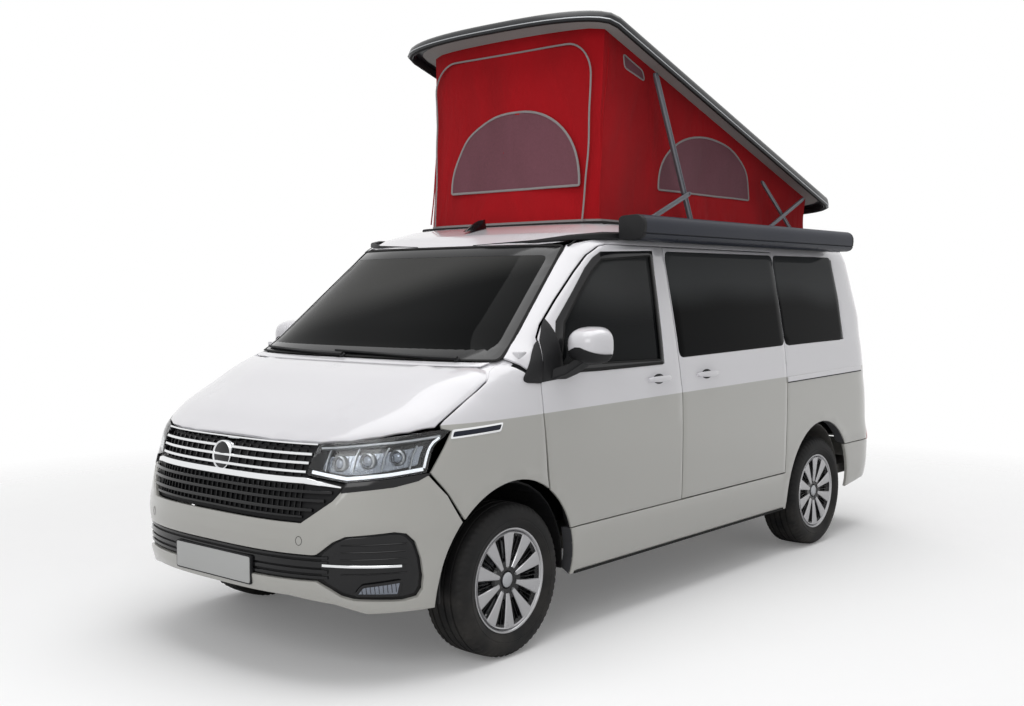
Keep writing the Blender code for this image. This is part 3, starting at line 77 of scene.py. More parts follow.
def easySlopes(x, y):
    step = np.diff(x)
    rise = np.diff(y) / step
    slopes = np.zeros(len(x))
    for i in range(1, len(x) - 1):
        if rise[i - 1] * rise[i] > 0:
            a = 2 * step[i] + step[i - 1]
            b = step[i] + 2 * step[i - 1]
            slopes[i] = (a + b) / (a / rise[i - 1] + b / rise[i])
    slopes[0], slopes[-1] = rise[0], rise[-1]
    return slopes


sectionValues = np.array([row[1:] for row in sectionRows])
sectionSlopes = np.stack([easySlopes(heights, sectionValues[:, k]) for k in range(7)], axis=1)


def sectionAt(z):
    z = min(max(z, heights[0]), heights[-1])
    i = min(int(np.searchsorted(heights, z, side="right")) - 1, len(heights) - 2)
    h = heights[i + 1] - heights[i]
    t = (z - heights[i]) / h
    row = (sectionValues[i] * (1 + 2 * t) * (1 - t) ** 2 + sectionSlopes[i] * h * t * (1 - t) ** 2
           + sectionValues[i + 1] * t * t * (3 - 2 * t) + sectionSlopes[i + 1] * h * t * t * (t - 1))
    tuck, nose, frontLength, frontPower, tail, rearLength, rearPower = (float(v) for v in row)
    return (bodySize["halfWidth"] - tuck, bodySize["frontX"] + nose, frontLength, frontPower,
            bodySize["rearX"] - tail, rearLength, rearPower)


sectionMemory = {}


def ringAt(z):
    key = round(z, 6)
    if key not in sectionMemory:
        sectionMemory[key] = sectionAt(z)
    return sectionMemory[key]


def corner(share, power):
    return max(1 - min(max(share, 0.0), 1.0) ** power, 0.0) ** (1 / power)


def sideY(x, z):
    w, xf, lf, nf, xr, lr, nr = ringAt(z)
    y = w
    if x < xf + lf:
        y = min(y, w * corner((xf + lf - x) / lf, nf))
    if x > xr - lr:
        y = min(y, w * corner((x - xr + lr) / lr, nr))
    return y


def noseX(y, z):
    w, xf, lf, nf = ringAt(z)[:4]
    return xf + lf * (1 - corner(abs(y) / w, nf))


def tailX(y, z):
    ring = ringAt(z)
    return ring[4] - ring[5] * (1 - corner(abs(y) / ring[0], ring[6]))


def wrapped(q, width, length, power):
    low, high = 0.0, math.pi / 2
    for _ in range(30):
        t = (low + high) / 2
        y = width * math.sin(t) ** (2 / power)
        depth = length * (1 - math.cos(t) ** (2 / power))
        if y + depth < abs(q):
            low = t
        else:
            high = t
    return math.copysign(y, q), depth + max(abs(q) - width - length, 0.0)


def onSide(sign):
    return lambda x, z: Vector((x, sign * sideY(x, z), z))


def onNose(q, z):
    w, xf, lf, nf = ringAt(z)[:4]
    y, depth = wrapped(q, w, lf, nf)
    return Vector((xf + depth, y, z))


def onTail(q, z):
    ring = ringAt(z)
    y, depth = wrapped(q, ring[0], ring[5], ring[6])
    return Vector((ring[4] - depth, y, z))


def onScreen(y, z):
    return Vector((noseX(y, z), y, z))


def onGate(y, z):
    return Vector((tailX(y, z), y, z))


def bonnetZ(x, y):
    low, high = 0.90, 1.40
    for _ in range(26):
        z = (low + high) / 2
        w, xf, lf, nf = sectionAt(z)[:4]
        if abs(y) < w and xf + lf * (1 - corner(abs(y) / w, nf)) < x:
            low = z
        else:
            high = z
    return (low + high) / 2


bonnetLines = (np.linspace(-2.37, -1.55, 83), np.linspace(0, 0.90, 61))
bonnetGrid = np.array([[bonnetZ(x, y) for y in bonnetLines[1]] for x in bonnetLines[0]])


def onBonnet(x, y):
    u = (x - bonnetLines[0][0]) / (bonnetLines[0][1] - bonnetLines[0][0])
    v = abs(y) / (bonnetLines[1][1] - bonnetLines[1][0])
    i, k = min(max(int(u), 0), 81), min(int(v), 59)
    u, v = u - i, v - k
    z = ((bonnetGrid[i, k] * (1 - u) + bonnetGrid[i + 1, k] * u) * (1 - v)
         + (bonnetGrid[i, k + 1] * (1 - u) + bonnetGrid[i + 1, k + 1] * u) * v)
    return Vector((x, y, float(z)))


def sideQ(x, z):  # wrap coordinate of a spot on the side, from the nose
    return sideY(x, z) + x - ringAt(z)[1]


def tailQ(x, z):
    return sideY(x, z) + ringAt(z)[4] - x


def ahead(q):
    return (-1, math.copysign(1, q), 0)


def astern(q):
    return (1, math.copysign(1, q), 0)


def normalAt(lift, a, b, out):
    h = 2e-3
    normal = (lift(a + h, b) - lift(a - h, b)).cross(lift(a, b + h) - lift(a, b - h)).normalized()
    way = Vector(out(a) if callable(out) else out)
    return normal if normal.dot(way) > 0 else -normal


def deeper(lift, out, depth):
    return lambda a, b: lift(a, b) - normalAt(lift, a, b, out) * depth


def noseIn(depth):
    return deeper(onNose, ahead, depth)


# Making meshes


def place(obj, body, slotName, *nodes):
    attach(obj, body)
    if nodes:
        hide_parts(*nodes)
    return obj


def piece(name, bm, finish, body="chassis", *nodes, slot=None, sharp=32):
    bmesh.ops.remove_doubles(bm, verts=bm.verts, dist=2e-5)
    bmesh.ops.recalc_face_normals(bm, faces=bm.faces)
    mesh = bpy.data.meshes.new(name)
    bm.to_mesh(mesh)
    bm.free()
    mesh.materials.append(finish)
    mesh.shade_smooth()
    mesh.set_sharp_from_angle(angle=math.radians(sharp))
    obj = bpy.data.objects.new(name, mesh)
    bpy.context.scene.collection.objects.link(obj)
    return place(obj, body, slot or usualSlot[finish], *nodes)


def bridge(bm, first, second, closed=True):
    count = len(first)
    for i in range(count if closed else count - 1):
        k = (i + 1) % count
        bm.faces.new((first[i], first[k], second[k], second[i]))


def area(loop):
    return sum(a[0] * b[1] - b[0] * a[1] for a, b in zip(loop, loop[1:] + loop[:1])) / 2


def dense(loop, step):
    turn = 1 if area(loop) > 0 else -1
    points = []
    for i, start in enumerate(loop):
        end = loop[(i + 1) % len(loop)]
        dx, dy = end[0] - start[0], end[1] - start[1]
        length = math.hypot(dx, dy)
        count = max(1, math.ceil(length / step - 1e-6))
        for k in range(count):
            t = k / count
            bulge = turn * 1e-4 * t * (1 - t) / length
            points.append((start[0] + dx * t + dy * bulge, start[1] + dy * t - dx * bulge))
    return points


def rounded(loop, radius, count=4):
    points = []
    for i, here in enumerate(loop):
        here = Vector(here)
        before = Vector(loop[i - 1]) - here
        after = Vector(loop[(i + 1) % len(loop)]) - here
        reach = min(radius, before.length * 0.45, after.length * 0.45)
        start, end = here + before.normalized() * reach, here + after.normalized() * reach
        for k in range(count + 1):
            t = k / count
            points.append(tuple(start * (1 - t) ** 2 + here * 2 * t * (1 - t) + end * t * t))
    return points


def shrunk(loop, amount):
    turn = 1 if area(loop) > 0 else -1
    moved = []
    for i, here in enumerate(loop):
        before = Vector(loop[i - 1]) - Vector(here)
        after = Vector(loop[(i + 1) % len(loop)]) - Vector(here)
        first = Vector((before.y, -before.x)).normalized() * turn
        second = Vector((-after.y, after.x)).normalized() * turn
        normal = (first + second).normalized()
        stretch = min(1 / max(normal.dot(first), 0.3), 1.6)
        moved.append(tuple(Vector(here) + normal * amount * stretch))
    return moved


def insideMask(spots, loop):
    hit = np.zeros(len(spots), bool)
    for (x1, y1), (x2, y2) in zip(loop, loop[1:] + loop[:1]):
        crosses = (y1 > spots[:, 1]) != (y2 > spots[:, 1])
        if y1 != y2:
            hit ^= crosses & (spots[:, 0] < x1 + (spots[:, 1] - y1) * (x2 - x1) / (y2 - y1))
    return hit


def nearMask(spots, loop, distance):
    near = np.zeros(len(spots), bool)
    for (x1, y1), (x2, y2) in zip(loop, loop[1:] + loop[:1]):
        dx, dy = x2 - x1, y2 - y1
        t = np.clip(((spots[:, 0] - x1) * dx + (spots[:, 1] - y1) * dy) / max(dx * dx + dy * dy, 1e-12), 0, 1)
        near |= np.hypot(spots[:, 0] - x1 - dx * t, spots[:, 1] - y1 - dy * t) < distance
    return near


def filled(loops, step):
    points = [p for loop in loops for p in loop]
    edges, first = [], 0
    for loop in loops:
        edges += [(first + i, first + (i + 1) % len(loop)) for i in range(len(loop))]
        first += len(loop)
    outline = np.array(loops[0])
    low, high = outline.min(0), outline.max(0)
    xs = np.arange(low[0] + step / 2, high[0], step)
    ys = np.arange(low[1] + step / 2, high[1], step)
    if len(xs) and len(ys):
        spots = np.array([(x, y) for x in xs for y in ys])
        keep = insideMask(spots, loops[0])
        for hole in loops[1:]:
            keep &= ~insideMask(spots, hole)
        for loop in loops:
            keep &= ~nearMask(spots, loop, step * 0.45)
        points += [tuple(p) for p in spots[keep]]
    found = delaunay_2d_cdt([Vector(p) for p in points], edges, [], 0, 1e-8)
    middles = np.array([sum((found[0][v] for v in tri), Vector((0, 0))) / 3 for tri in found[2]])
    keep = insideMask(middles, loops[0])
    for hole in loops[1:]:
        keep &= ~insideMask(middles, hole)
    number = []
    for spot, origin in zip(found[0], found[3]):
        if not origin:  # where the loops touch, the fill adds a point of its own
            points.append(tuple(spot))
        number.append(origin[0] if origin else len(points) - 1)
    faces = [[number[v] for v in tri] for tri, kept in zip(found[2], keep) if kept]
    return points, [tri for tri in faces if len(set(tri)) == 3]


def sheetInto(bm, loops, lift, out, thick, step, roll, backStep=None):
    # Face sheet, rolled edge, wall and back sheet.
    loops = [dense(list(loop), step) for loop in loops]
    rings = []
    for inset, depth in ((roll, 0.0), (roll * 0.3, roll * 0.3), (0.0, roll), (0.0, thick)):
        moved = [shrunk(loops[0], inset)] + [shrunk(loop, -inset) for loop in loops[1:]]
        rings.append((moved, depth))
    rows = []
    for index, (moved, depth) in enumerate(rings):
        last = index == len(rings) - 1
        if index == 0 or last:
            points, triangles = filled(moved, step if index == 0 else backStep or step * 2)
        else:
            points, triangles = [p for loop in moved for p in loop], []
        verts = []
        for a, b in points:
            spot = lift(a, b)
            if depth:
                spot = spot - normalAt(lift, a, b, out) * depth
            verts.append(bm.verts.new(spot))
        for tri in triangles:
            bm.faces.new([verts[v] for v in tri])
        rows.append(verts)
    for upper, lower in zip(rows, rows[1:]):
        first = 0
        for loop in loops:
            bridge(bm, upper[first:first + len(loop)], lower[first:first + len(loop)])
            first += len(loop)


def skin(name, loops, lift, out, finish, body="chassis", *nodes, thick=0.012, step=0.05, roll=0.003, slot=None):
    bm = bmesh.new()
    sheetInto(bm, loops, lift, out, thick, step, roll)
    return piece(name, bm, finish, body, *nodes, slot=slot)


def sweepInto(bm, points, normals, profile, closed=False, twist=None):
    # A profile of (across, up) drawn along points; up is the surface normal at each.
    points = [Vector(p) for p in points]
    rings = []
    for i, here in enumerate(points):
        before = points[i - 1] if closed or i else here
        after = points[(i + 1) % len(points)] if closed or i < len(points) - 1 else here
        tangent = (after - before).normalized()
        up = Vector(normals[i] if isinstance(normals, list) else normals)
        side = tangent.cross(up).normalized()
        up = side.cross(tangent).normalized()
        scale = twist(i / max(len(points) - 1, 1)) if twist else 1.0
        rings.append([bm.verts.new(here + side * a * scale + up * b * scale) for a, b in profile])
    for i in range(len(rings) if closed else len(rings) - 1):
        bridge(bm, rings[i], rings[(i + 1) % len(rings)])
    if not closed:
        bm.faces.new(rings[0])
        bm.faces.new(rings[-1])


def slab(width, height, soft=0.0015):
    # A flat bar's profile, with its lower edge on the surface.
    w, h = width / 2, height
    s = min(soft, w * 0.6, h * 0.6)
    return [(-w, 0), (w, 0), (w, h - s), (w - s, h), (-w + s, h), (-w, h - s)]


def alongSurface(loop, lift, out, height=0.0, step=0.04, closed=True):
    if closed:
        flat = dense(list(loop), step)
    else:
        flat = []
        for start, end in zip(loop, loop[1:]):
            count = max(1, math.ceil(math.dist(start, end) / step))
            flat += [(start[0] + (end[0] - start[0]) * k / count, start[1] + (end[1] - start[1]) * k / count)
                     for k in range(count)]
        flat.append(tuple(loop[-1]))
    normals = [normalAt(lift, a, b, out) for a, b in flat]
    return [lift(a, b) + n * height for (a, b), n in zip(flat, normals)], normals


def trimInto(bm, loop, lift, out, width, height, closed=True, sunk=0.0, step=0.04, twist=None):
    points, normals = alongSurface(loop, lift, out, -sunk, step, closed)
    sweepInto(bm, points, normals, slab(width, height), closed, twist)


def trim(name, finish, loop, lift, out, width, height, body="chassis", **more):
    bm = bmesh.new()
    trimInto(bm, loop, lift, out, width, height, **more)
    return piece(name, bm, finish, body)


def boxInto(bm, low, high, bevel=0.003, turn=None):
    size = [h - l for l, h in zip(low, high)]
    matrix = Matrix.Translation([(l + h) / 2 for l, h in zip(low, high)])
    if turn is not None:
        matrix = matrix @ turn
    made = bmesh.ops.create_cube(bm, size=1, matrix=matrix @ Matrix.Diagonal((*size, 1)))
    if bevel:
        edges = {e for v in made["verts"] for e in v.link_edges}
        bmesh.ops.bevel(bm, geom=list(edges), offset=min(bevel, min(size) * 0.3), segments=2, profile=0.6,
                        affect="EDGES")


def rodInto(bm, start, end, radius, sides=14, tip=None):
    start, end = Vector(start), Vector(end)
    matrix = (Matrix.Translation((start + end) / 2)
              @ (end - start).to_track_quat("Z", "Y").to_matrix().to_4x4())
    bmesh.ops.create_cone(bm, cap_ends=True, segments=sides, radius1=radius, radius2=radius if tip is None else tip,
                          depth=(end - start).length, matrix=matrix)


def latheInto(bm, profile, segments, centre, way=(0, 1, 0), closed=False):
    # A profile of (radius, offset along the way) turned about that way.
    way = Vector(way).normalized()
    first = way.cross(Vector((0, 0, 1)) if abs(way.z) < 0.9 else Vector((1, 0, 0))).normalized()
    second = way.cross(first)
    rings = []
    for i in range(segments):
        angle = math.tau * i / segments
        spoke = first * math.cos(angle) + second * math.sin(angle)
        rings.append([bm.verts.new(Vector(centre) + spoke * r + way * o) for r, o in profile])
    for i in range(segments):
        bridge(bm, rings[i], rings[(i + 1) % segments], closed)


def loftInto(bm, loops, caps=True):
    rows = [[bm.verts.new(p) for p in loop] for loop in loops]
    for first, second in zip(rows, rows[1:]):
        bridge(bm, first, second)
    if caps:
        bm.faces.new(rows[0])
        bm.faces.new(rows[-1])


sides = ((-1, "left"), (1, "right"))
print("tools ready")

# Shader groups, each built once


def nodeGroup(name, inputs, outputs):
    tree = bpy.data.node_groups.new(name, "ShaderNodeTree")
    for label, kind, value in inputs:
        tree.interface.new_socket(label, in_out="INPUT", socket_type="NodeSocket" + kind).default_value = value
    for label, kind in outputs:
        tree.interface.new_socket(label, in_out="OUTPUT", socket_type="NodeSocket" + kind)
    return tree, tree.nodes.new("NodeGroupInput").outputs, tree.nodes.new("NodeGroupOutput").inputs


def add(tree, kind, links=(), **settings):
    node = tree.nodes.new("ShaderNode" + kind)
    for label, value in settings.items():
        setattr(node, label, value)
    for socket, value in links:
        if isinstance(value, bpy.types.NodeSocket):
            tree.links.new(value, node.inputs[socket])
        else:
            node.inputs[socket].default_value = value
    return node


def spots(tree):
    return add(tree, "TexCoord").outputs["Object"]


def sums(tree, operation, first, second):
    return add(tree, "Math", ((0, first), (1, second)), operation=operation).outputs[0]


def tint(tree, share, first, second, blend="MIX"):
    node = add(tree, "Mix", (("Factor", share),), data_type="RGBA", blend_type=blend)
    for socket, value in ((6, first), (7, second)):
        if isinstance(value, bpy.types.NodeSocket):
            tree.links.new(value, node.inputs[socket])
        else:
            node.inputs[socket].default_value = value
    return node.outputs[2]


def rampOf(tree, value, low, high, bottom=0.0, top=1.0):
    return add(tree, "MapRange", (("Value", value), ("From Min", low), ("From Max", high), ("To Min", bottom),
                                  ("To Max", top))).outputs["Result"]


def makeGrain():
    # Fine surface noise with a slow drift in tone, for paint, plastic, rubber and metal.
    tree, given, wanted = nodeGroup("surfaceGrain", (
        ("Color", "Color", (0.5, 0.5, 0.5, 1)), ("Fine Scale", "Float", 400.0), ("Slow Scale", "Float", 3.0),
        ("Tone", "Float", 0.05), ("Roughness", "Float", 0.4), ("Roughness Drift", "Float", 0.05)),
        (("Color", "Color"), ("Roughness", "Float"), ("Height", "Float")))
    position = spots(tree)
    fine = add(tree, "TexNoise", (("Vector", position), ("Scale", given["Fine Scale"]),
                                  ("Detail", 3.0))).outputs["Fac"]
    slow = add(tree, "TexNoise", (("Vector", position), ("Scale", given["Slow Scale"]),
                                  ("Detail", 2.0))).outputs["Fac"]
    noise = sums(tree, "MULTIPLY_ADD", slow, 1.0)
    tree.links.new(sums(tree, "MULTIPLY", fine, 0.35), noise.node.inputs[2])
    centred = sums(tree, "SUBTRACT", noise, 0.675)
    lift = sums(tree, "MULTIPLY_ADD", centred, given["Tone"])
    lift.node.inputs[2].default_value = 1.0
    scaled = add(tree, "VectorMath", ((0, given["Color"]),), operation="SCALE")
    tree.links.new(lift, scaled.inputs["Scale"])
    tree.links.new(scaled.outputs[0], wanted["Color"])
    rough = sums(tree, "MULTIPLY_ADD", centred, given["Roughness Drift"])
    tree.links.new(given["Roughness"], rough.node.inputs[2])
    tree.links.new(rough, wanted["Roughness"])
    tree.links.new(fine, wanted["Height"])
    return tree


def makeWeave():
    # Warp and weft threads on all three faces, with slubs; the colour darkens where the weave is low, a painted shade
    # between the threads.
    tree, given, wanted = nodeGroup("weave", (
        ("Color", "Color", (0.5, 0.5, 0.5, 1)), ("Threads", "Float", 500.0), ("Depth", "Float", 0.3)),
        (("Color", "Color"), ("Height", "Float")))
    position = spots(tree)
    parts = add(tree, "SeparateXYZ", ((0, position),))
    waves = []
    for axis in range(3):
        wave = sums(tree, "SINE", sums(tree, "MULTIPLY", parts.outputs[axis], given["Threads"]), 0.0)
        waves.append(wave)
    cross = sums(tree, "MULTIPLY", sums(tree, "ADD", waves[0], waves[1]), waves[2])
    slub = add(tree, "TexNoise", (("Vector", position), ("Scale", 90.0), ("Detail", 2.0))).outputs["Fac"]
    height = sums(tree, "ADD", rampOf(tree, cross, -1.6, 1.6), sums(tree, "MULTIPLY", slub, 0.5))
    tree.links.new(height, wanted["Height"])
    dark = sums(tree, "MULTIPLY", rampOf(tree, height, 0.2, 1.2, 1.0, 0.0), given["Depth"])
    tree.links.new(tint(tree, dark, given["Color"], (0.0, 0.0, 0.0, 1)), wanted["Color"])
    return tree


def makeDust():
    # Pale road dust that gathers towards the ground.
    tree, given, wanted = nodeGroup("roadDust", (
        ("Color", "Color", (0.5, 0.5, 0.5, 1)), ("Dust", "Color", (0.42, 0.38, 0.33, 1)), ("Top", "Float", 0.5),
        ("Amount", "Float", 0.15), ("Roughness", "Float", 0.4)), (("Color", "Color"), ("Roughness", "Float")))
    position = spots(tree)
    z = add(tree, "SeparateXYZ", ((0, position),)).outputs[2]
    cloud = add(tree, "TexNoise", (("Vector", position), ("Scale", 9.0), ("Detail", 5.0))).outputs["Fac"]
    fall = rampOf(tree, sums(tree, "DIVIDE", z, given["Top"]), 0.15, 1.0, 1.0, 0.0)
    mask = sums(tree, "MULTIPLY", sums(tree, "MULTIPLY", fall, rampOf(tree, cloud, 0.35, 0.75)), given["Amount"])
    tree.links.new(tint(tree, mask, given["Color"], given["Dust"]), wanted["Color"])
    rough = sums(tree, "MULTIPLY_ADD", mask, 0.6)
    tree.links.new(given["Roughness"], rough.node.inputs[2])
    tree.links.new(rough, wanted["Roughness"])
    return tree


def makeTwoTone():
    # Two paints that meet along a line rising gently towards the rear.
    tree, given, wanted = nodeGroup("twoTone", (
        ("Upper", "Color", (0.8, 0.8, 0.8, 1)), ("Lower", "Color", (0.6, 0.6, 0.6, 1)), ("Line", "Float", 1.0835),
        ("Rise", "Float", 0.0134)), (("Color", "Color"), ("Mask", "Float")))
    parts = add(tree, "SeparateXYZ", ((0, spots(tree)),))
    over = sums(tree, "SUBTRACT", parts.outputs[2],
                sums(tree, "ADD", given["Line"], sums(tree, "MULTIPLY", parts.outputs[0], given["Rise"])))
    mask = rampOf(tree, over, -0.0008, 0.0008)
    tree.links.new(tint(tree, mask, given["Lower"], given["Upper"]), wanted["Color"])
    tree.links.new(mask, wanted["Mask"])
    return tree


def makeFoldShade():
    # Slack and creases of a hung fabric, running mostly upright: a bump height, and painted shade that darkens the
    # colour in the creases.
    tree, given, wanted = nodeGroup("softFoldsPaintedShade", (
        ("Color", "Color", (0.5, 0.1, 0.1, 1)), ("Scale", "Float", 3.0), ("Shade", "Float", 0.3)),
        (("Color", "Color"), ("Height", "Float")))
    stretched = add(tree, "VectorMath", ((0, spots(tree)), (1, (1.0, 1.0, 0.35))), operation="MULTIPLY").outputs[0]
    fold = add(tree, "TexNoise", (("Vector", stretched), ("Scale", given["Scale"]), ("Detail", 4.0),
                                  ("Distortion", 0.6))).outputs["Fac"]
    tree.links.new(fold, wanted["Height"])
    dark = sums(tree, "MULTIPLY", rampOf(tree, fold, 0.35, 0.65, 1.0, 0.0), given["Shade"])
    tree.links.new(tint(tree, dark, given["Color"], (0.05, 0.01, 0.01, 1)), wanted["Color"])
    return tree


def makeGlassReflection():
    # Painted reflection on tinted glass: black low down and greyer towards its top, along a soft wavy line.
    tree, given, wanted = nodeGroup("paintedGlassReflection", (
        ("Color", "Color", (0.01, 0.01, 0.01, 1)), ("Veil", "Color", (0.05, 0.05, 0.05, 1)), ("Low", "Float", 1.5),
        ("High", "Float", 1.65), ("Across", "Vector", (0.0, 0.0, 1.0))), (("Color", "Color"),))
    position = spots(tree)
    along = add(tree, "VectorMath", ((0, position), (1, given["Across"])), operation="DOT_PRODUCT").outputs["Value"]
    wave = add(tree, "TexNoise", (("Vector", position), ("Scale", 1.1), ("Detail", 1.0))).outputs["Fac"]
    over = sums(tree, "ADD", along, sums(tree, "MULTIPLY", wave, 0.16))
    node = add(tree, "MapRange", (("Value", over), ("From Min", sums(tree, "ADD", given["Low"], 0.08)),
                                  ("From Max", sums(tree, "ADD", given["High"], 0.08))),
               interpolation_type="SMOOTHSTEP")
    tree.links.new(tint(tree, node.outputs["Result"], given["Color"], given["Veil"]), wanted["Color"])
    return tree


grainGroup, weaveGroup, dustGroup = makeGrain(), makeWeave(), makeDust()
twoToneGroup, foldShadeGroup, glassReflectionGroup = makeTwoTone(), makeFoldShade(), makeGlassReflection()


# Finishes


def rgb(red, green, blue):
    # Screen colour (0 to 255) to the linear colour that the shader takes.
    return tuple(((c / 255 + 0.055) / 1.055) ** 2.4 if c > 10 else c / 3294.6 for c in (red, green, blue)) + (1.0,)


def finish(name, colour, roughness, tone=0.04, drift=0.06, fine=600.0, slow=2.5, bump=0.0, bumpReach=0.0004,
           dust=0.0, dustTop=0.6, lower=None, veil=None, threads=0.0, threadShade=0.3, foldsWithShade=0.0, emission=0.0,
           **sockets):
    # Settings named like "CoatWeight" go straight onto the shader's own sockets.
    made = bpy.data.materials.new(name)
    made.use_nodes = True
    tree = made.node_tree
    shader = tree.nodes["Principled BSDF"]
    for label, value in sockets.items():
        spaced = "".join(" " + c if c.isupper() and i else c for i, c in enumerate(label)).replace("I O R", "IOR")
        shader.inputs[spaced].default_value = value

    def inner(group, **given):
        node = tree.nodes.new("ShaderNodeGroup")
        node.node_tree = group
        for label, value in given.items():
            spaced = "".join(" " + c if c.isupper() and i else c for i, c in enumerate(label))
            if isinstance(value, bpy.types.NodeSocket):
                tree.links.new(value, node.inputs[spaced])
            else:
                node.inputs[spaced].default_value = value
        return node.outputs

    reliefs, baseColour = [], colour
    if lower:
        baseColour = inner(twoToneGroup, Upper=colour, Lower=lower)["Color"]
    # Painted reflection: the glass colour turns greyer towards its top
    if veil:
        baseColour = inner(glassReflectionGroup, Color=colour, Veil=veil[0], Low=veil[1], High=veil[2], Across=veil[3])["Color"]
    # Fold bump, with painted shade darkening the creases
    if foldsWithShade:
        out = inner(foldShadeGroup, Color=baseColour, Scale=3.2, Shade=0.22)
        baseColour = out["Color"]
        reliefs.append((out["Height"], foldsWithShade, 0.05))
    # Weave bump, with painted shade between the threads
    if threads:
        out = inner(weaveGroup, Color=baseColour, Threads=threads, Depth=threadShade)
        baseColour = out["Color"]
        reliefs.append((out["Height"], 0.35, 2.0 / threads))
    grain = inner(grainGroup, Color=baseColour, FineScale=fine, SlowScale=slow, Tone=tone, Roughness=roughness,
                  RoughnessDrift=drift)
    baseColour, baseRoughness = grain["Color"], grain["Roughness"]
    if bump:
        reliefs.append((grain["Height"], bump, bumpReach))
    if dust:
        out = inner(dustGroup, Color=baseColour, Top=dustTop, Amount=dust, Roughness=baseRoughness)
        baseColour, baseRoughness = out["Color"], out["Roughness"]
    tree.links.new(baseColour, shader.inputs["Base Color"])
    tree.links.new(baseRoughness, shader.inputs["Roughness"])
    if emission:
        tree.links.new(baseColour, shader.inputs["Emission Color"])
        shader.inputs["Emission Strength"].default_value = emission
    normal = None
    for height, strength, reach in reliefs:
        node = add(tree, "Bump", (("Height", height), ("Strength", strength), ("Distance", reach)))
        if normal:
            tree.links.new(normal, node.inputs["Normal"])
        normal = node.outputs["Normal"]
    if normal:
        tree.links.new(normal, shader.inputs["Normal"])
    return made


paintTones = {"white": rgb(217, 216, 220), "beige": rgb(170, 169, 164)}
bodyPaint = finish("bodyPaint", paintTones["white"], 0.30, tone=0.012, drift=0.03, lower=paintTones["beige"],
                   dust=0.10, dustTop=0.45, CoatWeight=0.8, CoatRoughness=0.04)
whitePaint = finish("whitePaint", paintTones["white"], 0.28, tone=0.012, drift=0.03, CoatWeight=0.8,
                    CoatRoughness=0.04)
lowerPaint = finish("lowerPaint", paintTones["beige"], 0.30, tone=0.015, drift=0.03, dust=0.12, dustTop=0.5,
                    CoatWeight=0.8, CoatRoughness=0.04)
# Painted reflection on the dark glass: greyer towards the top of each pane, on the windscreen along a slant
paintedGlassReflection = {"side": ((0.050, 0.053, 0.055, 1), 1.49, 1.66, (0.0, 0.0, 1.0)),
             "door": ((0.055, 0.057, 0.058, 1), 1.42, 1.66, (0.03, 0.0, 1.0)),
             "screen": ((0.060, 0.060, 0.058, 1), 1.50, 1.72, (0.0, 0.26, 1.0))}
darkGlass = finish("darkGlass", (0.0030, 0.0032, 0.0035, 1), 0.05, tone=0.2, drift=0.01, slow=1.2,
                   veil=paintedGlassReflection["side"], TransmissionWeight=0.05, IOR=1.10)
screenGlass = finish("screenGlass", (0.0040, 0.0044, 0.0046, 1), 0.03, tone=0.08, drift=0.01, slow=1.2,
                     veil=paintedGlassReflection["screen"], TransmissionWeight=0.14, IOR=1.10)
doorGlass = finish("doorGlass", (0.010, 0.011, 0.012, 1), 0.03, tone=0.08, drift=0.01, slow=1.2,
                   veil=paintedGlassReflection["door"], TransmissionWeight=0.20, IOR=1.12)
lampGlass = finish("lampGlass", (0.93, 0.95, 0.96, 1), 0.02, tone=0.02, drift=0.01, TransmissionWeight=1.0,
                   IOR=1.35)
blackGloss = finish("blackGloss", (0.006, 0.006, 0.007, 1), 0.14, tone=0.2, drift=0.05, SpecularIORLevel=0.28,
                    CoatWeight=0.15, CoatRoughness=0.03)
shellGloss = finish("shellGloss", (0.010, 0.011, 0.013, 1), 0.30, tone=0.15, drift=0.06, slow=3.5,
                    SpecularIORLevel=0.30, CoatWeight=0.15, CoatRoughness=0.12)
blackTrim = finish("blackTrim", (0.007, 0.007, 0.008, 1), 0.55, tone=0.25, fine=900, bump=0.35, dust=0.06,
                   SpecularIORLevel=0.25)
softBlack = finish("softBlack", (0.011, 0.011, 0.012, 1), 0.62, tone=0.25, fine=700, bump=0.35,
                   SpecularIORLevel=0.25)
anthracite = finish("anthracite", rgb(18, 23, 37), 0.45, tone=0.12, drift=0.08, fine=1200, bump=0.2,
                    SpecularIORLevel=0.25)
seamRubber = finish("seamRubber", (0.010, 0.010, 0.010, 1), 0.75, tone=0.3, fine=500, bump=0.3,
                    SpecularIORLevel=0.2)
armSteel = finish("armSteel", rgb(104, 106, 112), 0.45, tone=0.14, drift=0.12, slow=8, fine=900, bump=0.15,
                  Metallic=0.6)
chrome = finish("chrome", (0.80, 0.81, 0.82, 1), 0.09, tone=0.05, drift=0.05, slow=6, Metallic=1.0)
satinSteel = finish("satinSteel", rgb(168, 170, 173), 0.34, tone=0.10, drift=0.12, slow=8, fine=900, bump=0.15,
                    Metallic=0.9)
greyCast = finish("greyCast", rgb(96, 98, 101), 0.5, tone=0.25, drift=0.12, slow=7, fine=260, bump=0.5,
                  bumpReach=0.001, dust=0.5, dustTop=0.9, Metallic=0.6)
alloy = finish("alloy", (0.40, 0.40, 0.41, 1), 0.28, tone=0.06, drift=0.08, slow=10, fine=1500, bump=0.08,
               dust=0.06, dustTop=0.7, Metallic=1.0)
tyreRubber = finish("tyreRubber", (0.007, 0.007, 0.0075, 1), 0.70, tone=0.35, drift=0.10, slow=9, fine=500,
                    bump=0.4, dust=0.07, dustTop=0.8, SpecularIORLevel=0.25)
redLens = finish("redLens", (0.42, 0.010, 0.012, 1), 0.10, tone=0.12, CoatWeight=1.0, CoatRoughness=0.02)
whiteLens = finish("whiteLens", (0.86, 0.87, 0.88, 1), 0.12, tone=0.05, CoatWeight=0.8, CoatRoughness=0.02)
